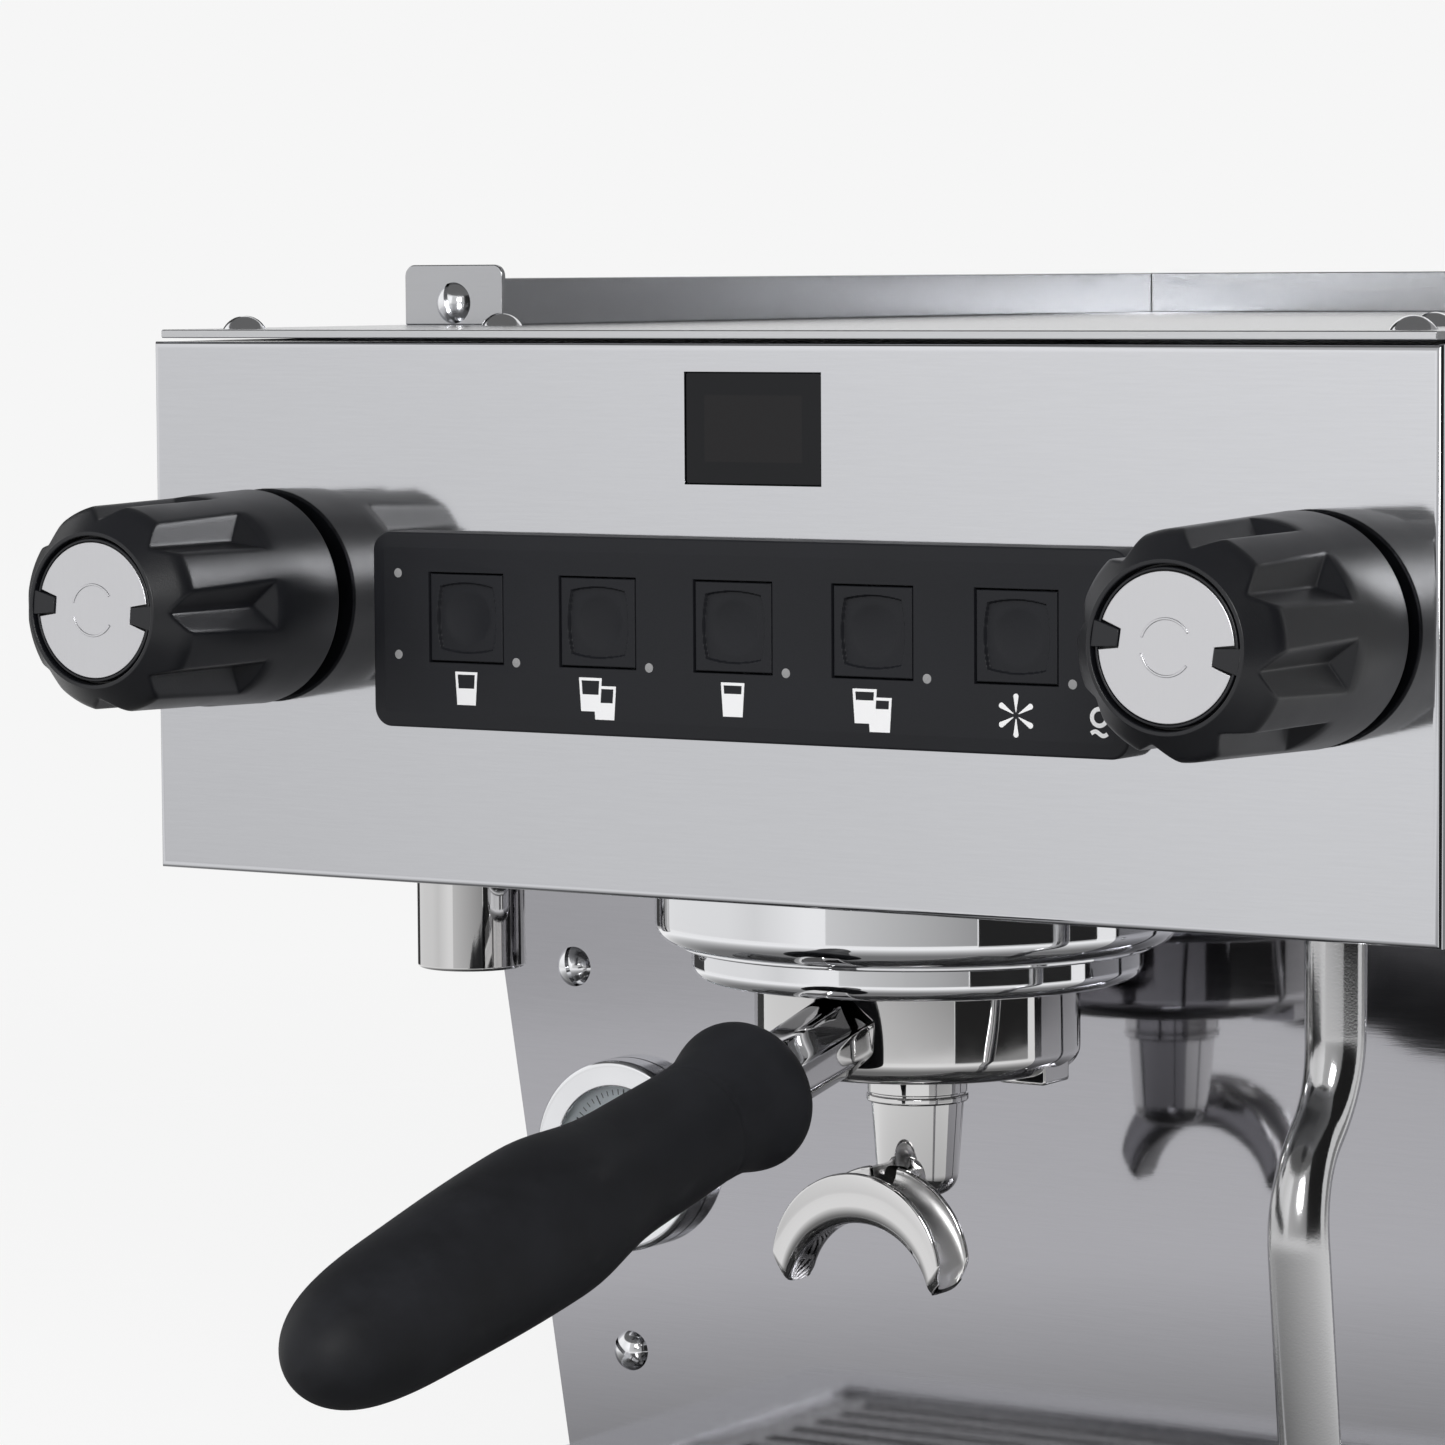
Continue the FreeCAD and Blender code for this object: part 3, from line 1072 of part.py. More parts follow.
def make_handle_grip():
    """Soft black grip: flared collar, slim neck, palm swell and rounded tip, turned about its axis."""
    length = sheet.handle_length
    shoulder = sheet.grip_shoulder
    nose = sheet.grip_nose
    stations = [(sheet.grip_rim, 0), (sheet.grip_collar, sheet.grip_collar_at),
                (sheet.grip_neck, sheet.grip_neck_at), (sheet.grip_waist, sheet.grip_waist_at),
                (sheet.grip_rise, sheet.grip_rise_at), (sheet.grip_swell, sheet.grip_swell_at),
                (sheet.grip_tip, length - sheet.grip_end),
                (sheet.grip_round, length - sheet.grip_end / 2), (shoulder, length - nose)]
    line = Part.BSplineCurve()
    line.interpolate([Vector(radius, 0, along) for radius, along in stations])
    ball_radius = (shoulder ** 2 + nose ** 2) / (2 * nose)
    half = math.asin(shoulder / ball_radius) / 2
    middle = Vector(ball_radius * math.sin(half), 0, length - ball_radius + ball_radius * math.cos(half))
    cap = Part.Arc(Vector(shoulder, 0, length - nose), middle, Vector(0, 0, length))
    edges = [line.toShape(), cap.toShape(),
             Part.makeLine(Vector(0, 0, length), Vector(0, 0, 0)),
             Part.makeLine(Vector(0, 0, 0), Vector(sheet.grip_rim, 0, 0))]
    grip = doc.addObject("Part::Feature", "grip_turn")
    grip.Shape = Part.Face(Part.Wire(edges)).revolve(Vector(), Vector(0, 0, 1), 360)
    grip.Placement = handle_frame().multiply(Placement(Vector(0, 0, sheet.handle_start), Rotation()))
    piece(grip, "handle_grip")


def make_spout():
    """Screwed collar and cone that opens forwards into an arched twin gutter."""
    collar = rod("spout_collar", ("0", "group_y", "cone_top"), "spout_collar_radius", "spout_collar_height")
    neck = cone("spout_cone_part", ("0", "group_y", "cone_foot"), "spout_foot_radius", "spout_neck_radius",
                "spout_cone")
    doc.recompute()
    foot_z = levels.cone_foot
    neck = rounded("spout_cone_rounded", neck, "spout_foot_round",
                   lambda e: is_circle_at(e, foot_z, sheet.spout_foot_radius))
    stub = rod("spout_stub", ("0", "group_y", "spout_top - spout_gap"), "spout_stub_radius", "spout_gap")
    back = "arch_y + arch_width / 2"
    front_y = "arch_y - arch_width / 2"
    outer = rod("arch_outer", ("0", front_y, "arch_z"), "arch_radius", "arch_width", "Y")
    upper = block("arch_upper", ("-arch_radius", front_y, "arch_z - arch_under_drop / 2"),
                  ("2 * arch_radius", "arch_width", "arch_radius * 2"))
    under = rod("arch_under", ("0", f"{front_y} - arch_width", "arch_z - arch_under_drop"),
                "arch_under_radius", "arch_width * 3", "Y")
    crescent = cut("arch_crescent", common("arch_half", outer, upper), under)
    doc.recompute()
    centre = levels.arch_z - sheet.arch_under_drop
    arch = rounded("arch_rounded", crescent, "arch_round",
                   lambda e: isinstance(e.Curve, Part.Circle) and abs(e.Curve.Center.z - centre) < 1e-4)
    channel_outer = rod("channel_outer", ("0", "arch_y - gutter_width / 2", "arch_z"), "arch_radius * 1.5",
                        "gutter_width", "Y")
    channel_bed = rod("channel_bed", ("0", "arch_y - gutter_width", "arch_z - arch_under_drop / 2"),
                      "arch_radius + arch_under_drop / 2 - gutter_depth", "gutter_width * 2", "Y")
    channel = cut("channel", channel_outer, channel_bed)
    bridge = block("spout_bridge",
                   ("-bridge_width / 2", f"{back} - bridge_lap", "cone_foot - bridge_drop"),
                   ("bridge_width", f"group_y - ({back}) + bridge_lap - spout_foot_radius / 2",
                    "bridge_height"))
    bore = rod("spout_bore_rod", ("0", "group_y", "cone_foot + outlet_rise"), "spout_bore",
               "spout_top - cone_foot + outlet_rise")
    outlet = block("spout_outlet", ("-outlet_width / 2", "arch_y", "cone_foot + outlet_rise"),
                   ("outlet_width", "arch_forward", "outlet_height"))
    whole = fuse("spout_fuse", stub, collar, neck, arch, bridge)
    piece(cut("spout_cut", whole, channel, bore, outlet), "spout")


def swept(name, edges, radius, wall=None):
    """Round tube, or solid rod, along straight runs and tangent arcs."""
    path = Part.Wire(edges)
    start = path.Edges[0]
    point = start.valueAt(start.FirstParameter)
    heading = start.tangentAt(start.FirstParameter)
    rings = [Part.Wire(Part.makeCircle(r, point, heading)) for r in (radius, radius - (wall or 0))]
    solid = path.makePipeShell([rings[0]], True, False)
    if wall:
        solid = solid.cut(path.makePipeShell([rings[1]], True, False))
    thing = doc.addObject("Part::Feature", name)
    thing.Shape = solid
    return thing


def bent_path(points, bend):
    """Straight runs between points, with an arc of one radius at each corner."""
    edges = []
    start = points[0]
    for before, corner, after in zip(points, points[1:], points[2:]):
        into = (corner - before).normalize()
        out = (after - corner).normalize()
        turn = into.getAngle(out)
        back = bend * math.tan(turn / 2)
        first = corner - into * back
        last = corner + out * back
        middle = corner + (out - into).normalize() * (bend / math.cos(turn / 2) - bend)
        edges.append(Part.makeLine(start, first))
        edges.append(Part.Arc(first, middle, last).toShape())
        start = last
    edges.append(Part.makeLine(start, points[-1]))
    return edges


def make_wand():
    """Swivelling steam tube with a double bend, its fixed nut and its tip."""
    x, y, top = levels.wand_offset, levels.wand_y, levels.panel_bottom
    slope = math.radians(sheet.wand_bend_angle)
    lean = math.radians(sheet.wand_lean)
    first = sheet.wand_bend_radius * math.tan(slope / 2)
    second = sheet.wand_bend_radius * math.tan((slope + lean) / 2)
    upper = top - sheet.wand_straight - first
    step = first + sheet.wand_between + second
    lower = Vector(x, y - step * math.sin(slope), upper - step * math.cos(slope))
    down = Vector(0, math.sin(lean), -math.cos(lean))
    end = lower + down * (second + sheet.wand_tail)
    points = [Vector(x, y, top + sheet.wand_nut_rise - sheet.wand_seat), Vector(x, y, upper), lower, end]
    path = bent_path(points, sheet.wand_bend_radius)
    piece(swept("wand_sweep", path, sheet.wand_radius, sheet.wand_wall), "steam_wand")
    tip = doc.addObject("Part::Feature", "tip_turn")
    straight = sheet.tip_straight
    barrel = Part.makeCylinder(sheet.tip_radius, straight, Vector(), down)
    nose = Part.makeCone(sheet.tip_radius, sheet.tip_end_radius, sheet.tip_length - straight,
                         down * straight, down)
    tip.Shape = barrel.fuse(nose).removeSplitter()
    tip.Placement = Placement(end, Rotation())
    piece(tip, "steam_tip")
    nut = rod("wand_nut_rod", ("wand_offset", "wand_y", "panel_bottom - wand_nut_drop"), "wand_nut_radius",
              "wand_nut_drop + wand_nut_rise")
    bore = rod("wand_nut_bore", ("wand_offset", "wand_y", "panel_bottom - wand_nut_drop * 2"),
               "wand_radius + running_fit", "wand_nut_drop * 2 + wand_nut_rise")
    cap = rod("wand_nut_cap", ("wand_offset", "wand_y", "panel_bottom + wand_nut_rise"), "wand_nut_radius",
              "sheet_wall * 2")
    piece(fuse("wand_nut_fuse", cut("wand_nut_cut", nut, bore), cap), "wand_nut")


def make_nozzle():
    """Short hot-water nozzle, open below, with a stub for its pipe above."""
    shell = rod("nozzle_rod", ("-nozzle_offset", "nozzle_y", "panel_bottom - nozzle_drop"), "nozzle_radius",
                "nozzle_drop + sheet_wall * 3")
    bore = rod("nozzle_bore_rod", ("-nozzle_offset", "nozzle_y", "panel_bottom - nozzle_drop * 2"),
               "nozzle_bore", "nozzle_drop * 2 - sheet_wall")
    piece(cut("nozzle_cut", shell, bore), "hot_water_nozzle")


def make_gauge():
    """Pressure gauge: case behind the backsplash, bezel, dial, needle and glass."""
    x, z = "-gauge_offset", "gauge_z"
    case = rod("gauge_case_rod", (x, "dial_y + dial_thickness", z), "gauge_case_radius",
               "gauge_proud - dial_depth - dial_thickness + gauge_case_depth", "Y")
    piece(case, "gauge_case")
    ring = rod("gauge_ring", (x, "gauge_front", z), "gauge_radius", "gauge_proud - seam", "Y")
    step = rod("gauge_step", (x, "gauge_front + glass_thickness", z), "gauge_case_radius + close_fit",
               "gauge_proud", "Y")
    window = rod("gauge_window", (x, "gauge_front - gauge_proud", z), "gauge_radius - gauge_lip",
                 "gauge_proud * 3", "Y")
    doc.recompute()
    piece(cut("gauge_bezel_cut", ring, step, window), "gauge_bezel")
    piece(rod("gauge_dial_rod", (x, "dial_y", z), "gauge_case_radius - seam", "dial_thickness", "Y"),
          "gauge_dial")
    piece(rod("gauge_glass_rod", (x, "gauge_front + glass_thickness", z), "gauge_case_radius - seam",
              "glass_thickness", "Y"), "gauge_glass")
    hub = rod("needle_hub_rod", (x, "dial_y - loose_fit - needle_thickness", z), "needle_hub",
              "needle_thickness", "Y")
    blade = doc.addObject("Part::Box", "needle_blade")
    bind(blade, {"Length": "needle_length", "Width": "needle_thickness", "Height": "needle_width"})
    start = math.radians(sheet.needle_start)
    across = Vector(-math.sin(start), 0, math.cos(start)) * (sheet.needle_width / 2)
    blade_y = levels.dial_y - sheet.loose_fit - sheet.needle_thickness
    at = Vector(-levels.gauge_offset, blade_y, levels.gauge_z)
    blade.Placement = Placement(at - across, Rotation(Vector(0, -1, 0), sheet.needle_start))
    piece(fuse("needle_fuse", hub, blade), "gauge_needle")


def make_boilers():
    """Brew boiler on the group, steam boiler on its cradle, and their heaters."""
    shell = rod("brew_shell", ("0", "group_y", "brew_bottom"), "brew_radius", "brew_height")
    inside = rod("brew_inside", ("0", "group_y", "brew_bottom + boiler_wall"), "brew_radius - boiler_wall",
                 "brew_height - 2 * boiler_wall")
    piece(cut("brew_cut", shell, inside), "brew_boiler")
    brew_heater = rod("brew_heater", ("0", "group_y", "brew_bottom + brew_height"), "heater_flange",
                      "heater_thickness")
    drum = rod("steam_shell", ("-steam_length / 2", "boiler_y", "boiler_z"), "steam_radius",
               "steam_length", "X")
    hollow = rod("steam_inside", ("-steam_length / 2 + boiler_wall", "boiler_y", "boiler_z"),
                 "steam_radius - boiler_wall", "steam_length - 2 * boiler_wall", "X")
    piece(cut("steam_cut", drum, hollow), "steam_boiler")
    steam_heater = rod("steam_heater", ("steam_length / 2", "boiler_y", "boiler_z"), "heater_flange",
                       "heater_thickness", "X")
    piece(group("heater_group", [brew_heater, steam_heater]), "boiler_heaters")
    bed = rod("cradle_bed", ("-steam_length", "boiler_y", "boiler_z"), "steam_radius + close_fit",
              "steam_length * 2", "X")
    plates = []
    for name, x in (("left", "-cradle_spread"), ("right", "cradle_spread - cradle_wall")):
        plate = block(f"cradle_{name}_plate", (x, "boiler_y - cradle_width / 2", "tray_top"),
                      ("cradle_wall", "cradle_width", "steam_clear + steam_radius / 2"))
        plates.append(cut(f"cradle_{name}", plate, bed))
    piece(group("cradle_group", plates), "boiler_cradle")


def make_inner_works():
    """Pump and motor on the deck, solenoid on the brew boiler, control box, inlets."""
    piece(rod("motor_rod", ("-motor_length", "pump_y", "pump_z"), "motor_radius", "motor_length", "X"),
          "pump_motor")
    piece(rod("pump_rod", ("0", "pump_y", "pump_z"), "pump_radius", "pump_length", "X"), "pump")
    piece(block("solenoid_block",
                ("-solenoid_size / 2", "group_y + brew_radius + seam", "brew_bottom + seam"),
                ("solenoid_size", "solenoid_size", "solenoid_height")), "solenoid_valve")
    piece(block("control_block", ("-control_width / 2", "rear - sheet_wall - control_depth",
                                  "panel_bottom + control_level"),
                ("control_width", "control_depth", "control_height")), "control_box")
    stub = rod("inlet_rod", ("0", "inlet_y", "foot_height - inlet_drop"), "inlet_radius",
               "inlet_drop + base_height")
    piece(stub, "water_inlet")
    piece(block("mains_block", ("-mains_offset - mains_width / 2 + seam / 2", "rear - mains_depth",
                                "panel_bottom - mains_level - mains_height / 2 + seam / 2"),
                ("mains_width - seam", "mains_depth", "mains_height - seam")), "mains_inlet")


def make_pipes():
    """Copper pipes from each valve to its outlet and from the steam boiler to each valve."""
    bend = sheet.pipe_bend
    gap = sheet.pipe_gap
    level = levels.panel_bottom
    port_y = levels.front + sheet.valve_port
    under = levels.knob_z - sheet.valve_radius - gap
    nozzle = Vector(-levels.nozzle_offset, levels.nozzle_y, level + 3 * sheet.sheet_wall + gap)
    wand = Vector(levels.wand_offset, levels.wand_y, level + sheet.wand_nut_rise + 2 * sheet.sheet_wall + gap)
    tubes = []
    for name, side, outlet in (("water", -1, nozzle), ("steam", 1, wand)):
        x = side * levels.knob_offset
        turn_z = (under + outlet.z) / 2
        down = [Vector(x, port_y, under), Vector(x, port_y, turn_z),
                Vector(outlet.x, outlet.y, turn_z), outlet]
        reach = min(bend, (under - turn_z) / 2 - gap)
        tubes.append(swept(name + "_outlet_pipe", bent_path(down, reach), sheet.pipe_radius))
        back = levels.front + sheet.sheet_wall + sheet.valve_length + gap
        boiler_top = levels.boiler_z + sheet.steam_radius + gap
        boiler_x = side * (sheet.steam_length / 2 - sheet.boiler_port)
        feed = [Vector(x, back, levels.knob_z), Vector(x, levels.boiler_y, levels.knob_z),
                Vector(boiler_x, levels.boiler_y, levels.knob_z),
                Vector(boiler_x, levels.boiler_y, boiler_top)]
        tubes.append(swept(name + "_feed_pipe", bent_path(feed, bend), sheet.pipe_radius))
    piece(group("pipe_group", tubes), "copper_pipes")


def check():
    """Stop if any object failed or any piece is empty or broken."""
    doc.recompute()
    for thing in doc.Objects:
        if "Invalid" in thing.State or "Error" in thing.State:
            raise RuntimeError(f"{thing.Label}: {thing.State}")
    for thing in pieces:
        if thing.Shape.isNull() or not thing.Shape.isValid() or not thing.Shape.Solids:
            raise RuntimeError(f"{thing.Label} has no sound solid")


def export():
    """Write each piece to a file of its own name."""
    os.makedirs("parts", exist_ok=True)
    for thing in pieces:
        thing.Shape.exportStep(f"parts/{thing.Label}.step")
    print(len(pieces), "pieces,", sum(len(t.Shape.Solids) for t in pieces), "solids")


def main():
    """Build the machine and write its pieces."""
    fill_sheet()
    make_front_panel()
    make_side_panel("left_side_panel", "-1")
    make_side_panel("right_side_panel", "1")
    make_rear_panel()
    make_lid()
    make_screws()
    make_cup_rail()
    make_head_floor()
    make_backsplash()
    make_chassis()
    make_feet()
    make_drip_tray()
    make_drip_grille()
    make_keypad()
    make_display()
    valves = [make_knob("water", "-1", "water_knob_tilt"), make_knob("steam", "1", "steam_knob_tilt")]
    piece(group("valve_group", valves), "valve_bodies")
    make_group()
    make_portafilter()
    make_handle_grip()
    make_spout()
    make_wand()
    make_nozzle()
    make_gauge()
    make_boilers()
    make_inner_works()
    make_pipes()
    check()
    export()


main()
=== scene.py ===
"""Looks of a one-group espresso machine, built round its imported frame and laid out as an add-on.

Metres, +Z up, -Y to the front. Places come from the frame's boxes; the sizes that only the looks
need are properties of the groups below, one group for each family of pieces.
"""
import json
import math

import bmesh
import bpy
import numpy as np
from bpy.props import FloatProperty, FloatVectorProperty, IntProperty, PointerProperty
from bpy.types import Operator, Panel, PropertyGroup
from mathutils import Matrix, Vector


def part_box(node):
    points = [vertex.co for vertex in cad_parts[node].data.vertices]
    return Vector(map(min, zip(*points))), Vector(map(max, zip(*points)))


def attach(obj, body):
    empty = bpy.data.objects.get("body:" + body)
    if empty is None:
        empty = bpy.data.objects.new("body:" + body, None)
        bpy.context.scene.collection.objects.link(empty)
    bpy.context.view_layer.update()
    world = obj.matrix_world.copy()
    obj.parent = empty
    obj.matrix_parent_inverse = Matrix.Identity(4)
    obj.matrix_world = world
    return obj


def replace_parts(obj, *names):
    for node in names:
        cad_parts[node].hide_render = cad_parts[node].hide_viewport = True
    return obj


bl_info = {
    "name": "Espresso machine looks",
    "version": (1, 0, 0),
    "blender": (4, 5, 0),
    "location": "View3D > Sidebar > Machine",
    "description": "Builds the visible surfaces, finishes and studio of an espresso machine",
    "category": "Object",
}

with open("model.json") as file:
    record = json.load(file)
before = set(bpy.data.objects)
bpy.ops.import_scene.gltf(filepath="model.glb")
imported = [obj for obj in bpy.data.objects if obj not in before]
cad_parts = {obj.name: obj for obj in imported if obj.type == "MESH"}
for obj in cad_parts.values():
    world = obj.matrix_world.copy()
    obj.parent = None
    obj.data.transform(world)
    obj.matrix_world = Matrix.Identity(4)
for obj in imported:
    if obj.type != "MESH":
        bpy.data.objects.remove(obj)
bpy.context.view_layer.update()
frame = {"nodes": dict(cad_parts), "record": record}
BODY_OF = {node: body for body, nodes in frame["record"]["behaviour"]["bodies"].items() for node in nodes}

MM = 0.001
SIDES = 128
UP = np.array((0.0, 0.0, 1.0))
FORWARD = np.array((0.0, -1.0, 0.0))
SQUARE = np.array(((-1, -1), (1, -1), (1, 1), (-1, 1)))
BRASS = (0.72, 0.55, 0.27)
# Shading is smooth over edges that turn by less than this.
SHARP = math.radians(35)
# Points nearer to each other than this become one.
WELD = 1e-6
# The screws' slots: the first pair's turn, and the step to the next pair.
SLOT_TURN, SLOT_STEP = math.radians(58), math.radians(137)
# The camera's side of the stage, in degrees from +X, and the point that the lamps face.
CAMERA_SIDE = -57.6
AIM = np.array((0.0, 0.0, 0.22))
KNOBS = ("water", "steam")
KEYS = range(1, 6)


def length(name, millimetres, description):
    """A length property, given in millimetres."""
    return FloatProperty(name=name, description=description, default=millimetres * MM, unit="LENGTH")


def degrees(name, value, description):
    """An angle property, given in degrees."""
    return FloatProperty(name=name, description=description, default=math.radians(value), unit="ROTATION")


def share(name, value, description):
    """A property between nought and one."""
    return FloatProperty(name=name, description=description, default=value, min=0.0, max=1.0,
                         subtype="FACTOR")


def count(name, value, description):
    """A whole number."""
    return IntProperty(name=name, description=description, default=value, min=1)


def position(name, values, description):
    """A place in metres."""
    return FloatVectorProperty(name=name, description=description, default=values, size=3, unit="LENGTH")


def colour(name, values, description):
    """A colour property."""
    return FloatVectorProperty(name=name, description=description, default=values, size=3, min=0.0, max=1.0,
                               subtype="COLOR")


class MetalLook(PropertyGroup):
    """Finishes of the sheet steel, the chrome and the aluminium."""

    panel: colour("Panel", (0.612, 0.617, 0.642), "Front panel's steel")
    panel_roughness: share("Panel roughness", 0.06, "How far the panel's brushing spreads a reflection")
    splash: colour("Backsplash", (0.405, 0.403, 0.428), "Backsplash steel")
    splash_roughness: share("Backsplash roughness", 0.05, "The same for the backsplash")
    body: colour("Housing", (0.58, 0.585, 0.6), "Lid, sides, tray")
    body_roughness: share("Housing roughness", 0.24, "The same for the housing")
    rail: colour("Rail", (0.46, 0.465, 0.48), "Cup rail")
    rail_roughness: share("Rail roughness", 0.16, "The same for the rail")
    grille: colour("Grille", (0.36, 0.36, 0.36), "Drip grille")
    grille_roughness: share("Grille roughness", 0.26, "The same for the grille")
    chrome: colour("Chrome", (0.8, 0.805, 0.825), "Chrome plate")
    chrome_roughness: share("Chrome roughness", 0.03, "The same for the chrome")
    plate: colour("Plate", (0.66, 0.655, 0.655), "Duller chrome of the portafilter and the nozzle")
    wand: colour("Wand", (0.52, 0.52, 0.525), "Steam wand's steel")
    cap: colour("Cap", (0.64, 0.64, 0.66), "Aluminium caps of the knobs")
    cap_roughness: share("Cap roughness", 0.36, "The same for the caps")
    grain: length("Grain", 0.16, "Width of a brushed line")
    edge: length("Edge", 0.35, "Rounding of cut sheet edges")


class BlackLook(PropertyGroup):
    """Finishes of the plastics and rubbers."""

    knob: colour("Knob", (0.0064, 0.0068, 0.0088), "Knob plastic")
    knob_roughness: share("Knob roughness", 0.36, "Sheen of the knobs")
    knob_gloss: share("Knob gloss", 0.42, "Strength of the knobs' reflections")
    keypad: colour("Keypad", (0.008, 0.0085, 0.0108), "Keypad plastic")
    keypad_roughness: share("Keypad roughness", 0.5, "Sheen of the keypad")
    grip: colour("Grip", (0.0078, 0.0082, 0.0102), "Grip rubber")
    grip_roughness: share("Grip roughness", 0.6, "Sheen of the grip")
    gloss: share("Gloss", 0.25, "Strength of the other black pieces' reflections")
    foot: colour("Foot", (0.02, 0.02, 0.021), "Plastic of the feet")
    pad: colour("Pad", (0.016, 0.016, 0.016), "Rubber under the feet")
    display: colour("Display", (0.003, 0.0034, 0.0048), "Smoked window")
    display_roughness: share("Display roughness", 0.12, "Sheen of the window")
    screen: colour("Screen", (0.0072, 0.0068, 0.0078), "Screen behind the window")
    print: colour("Print", (0.84, 0.84, 0.85), "Signs on the keypad")
    lamp: colour("Lamp", (0.27, 0.27, 0.275), "Unlit indicator dots")


class PanelForm(PropertyGroup):
    """Front panel and display."""

    bend: length("Bend", 1.3, "Radius of the folded edges")
    wall: length("Wall", 1.2, "Sheet")
    window_edge: length("Window edge", 0.2, "Rounding round the display")
    glass_edge: length("Glass edge", 0.25, "Rounding of the display's window")
    glass_corner: length("Glass corner", 0.6, "Corner radius of the display's window")
    screen_width: share("Screen width", 0.72, "Share of the window's width that the screen fills")
    screen_height: share("Screen height", 0.6, "Share of the window's height that the screen fills")


class KeypadForm(PropertyGroup):
    """Keypad plate, keys, dots and signs."""

    corner: length("Corner", 4.0, "Plate's corner radius")
    band: length("Band", 3.1, "Width of the slope round the plate's face")
    band_drop: length("Band drop", 0.4, "Fall of that slope")
    edge: length("Edge", 0.3, "Rounding of the plate's and the keys' edges")
    gap: length("Gap", 0.32, "Plate to key")
    recess: length("Recess", 0.25, "Keys behind the plate's face")
    more: length("More", 1.4, "Plate beyond its solid at the left")
    below: length("Below", 0.8, "Plate beyond its solid at its lower edge")
    dot: length("Dot", 1.35, "Radius of an indicator dot")
    dot_rise: share("Dot rise", 0.12, "Height of a dot's dome, as a share of its radius")
    field: length("Field", 13.0, "Sunk field of a key")
    bulge: length("Bulge", 0.8, "How far the field's sides bow out")
    sink: length("Sink", 0.7, "Depth of the field")
    slope: length("Slope", 0.4, "Width of the field's sloping side")
    dish: length("Dish", 11.0, "Diameter of the finger dish")
    dish_depth: length("Dish depth", 0.75, "Depth of the finger dish")
    sign_height: length("Sign height", 6.8, "Cup sign")
    sign_drop: length("Sign drop", 14.4, "Sign's middle below its key's middle")
    sign_thickness: length("Sign thickness", 0.05, "Print above the plate")
    pair_drop: length("Pair drop", 0.95, "Further drop of a pair of cups")
    star_drop: length("Star drop", 0.73, "Further drop of the star")
    ring_drop: length("Ring drop", 0.4, "Further drop of the ring and wave")
    ring_aside: length("Ring aside", 18.2, "Ring and wave to the right of the last key")


class KnobForm(PropertyGroup):
    """Fluted valve knobs and their caps."""

    radius: length("Radius", 21.2, "Grip, at its bevel")
    taper: length("Taper", 1.3, "How much wider the grip is at its rear")
    reach: length("Reach", 54.2, "Longest grip, from its rear to its rim")
    rim: length("Rim", 15.9, "Radius of the front rim")
    bevel: length("Bevel", 5.8, "Length of the bevel behind the rim")
    flutes: count("Flutes", 8, "Grooves round the grip")
    flute_depth: length("Flute depth", 3.1, "Groove, at its valley")
    flute_width: length("Flute width", 9.4, "Groove, at the surface")
    flute_start: length("Flute start", 23.0, "Panel to the groove's rear end")
    flute_run: length("Flute run", 3.8, "Length of the groove's sloping end")
    soft: length("Soft edge", 0.55, "Rounding where two faces of the grip meet")
    bevel_soft: length("Bevel softness", 1.5, "Rounding where the bevel starts")
    boss: length("Boss", 14.5, "Radius of the boss that holds the cap")
    boss_sink: length("Boss sink", 0.6, "Boss behind the rim")
    moat: length("Moat", 0.6, "Open ring round the boss")
    moat_depth: length("Moat depth", 3.0, "Depth of that ring")
    cap: length("Cap", 13.8, "Radius of the aluminium cap")
    cap_thickness: length("Cap thickness", 1.2, "Aluminium cap")
    cap_edge: length("Cap edge", 0.22, "Rounding of the cap")
    notch_mouth: length("Notch mouth", 5.4, "Notch for a tab, at the cap's edge")
    notch_end: length("Notch end", 3.4, "Notch, at its end")
    notch_depth: length("Notch depth", 4.2, "Notch for a tab")
    tab_raise: length("Tab raise", 0.3, "Tab above the cap")
    mark: length("Mark", 5.2, "Radius of the two arcs on the cap")
    mark_width: length("Mark width", 0.5, "Line of the arcs")
    water_tilt: degrees("Left tilt", -0.5, "Left knob's turn at rest")
    steam_tilt: degrees("Right tilt", -12.5, "Right knob's turn at rest")
    water_cap_tilt: degrees("Left cap tilt", -5.0, "Left cap's turn at rest")
    steam_cap_tilt: degrees("Right cap tilt", -8.5, "Right cap's turn at rest")


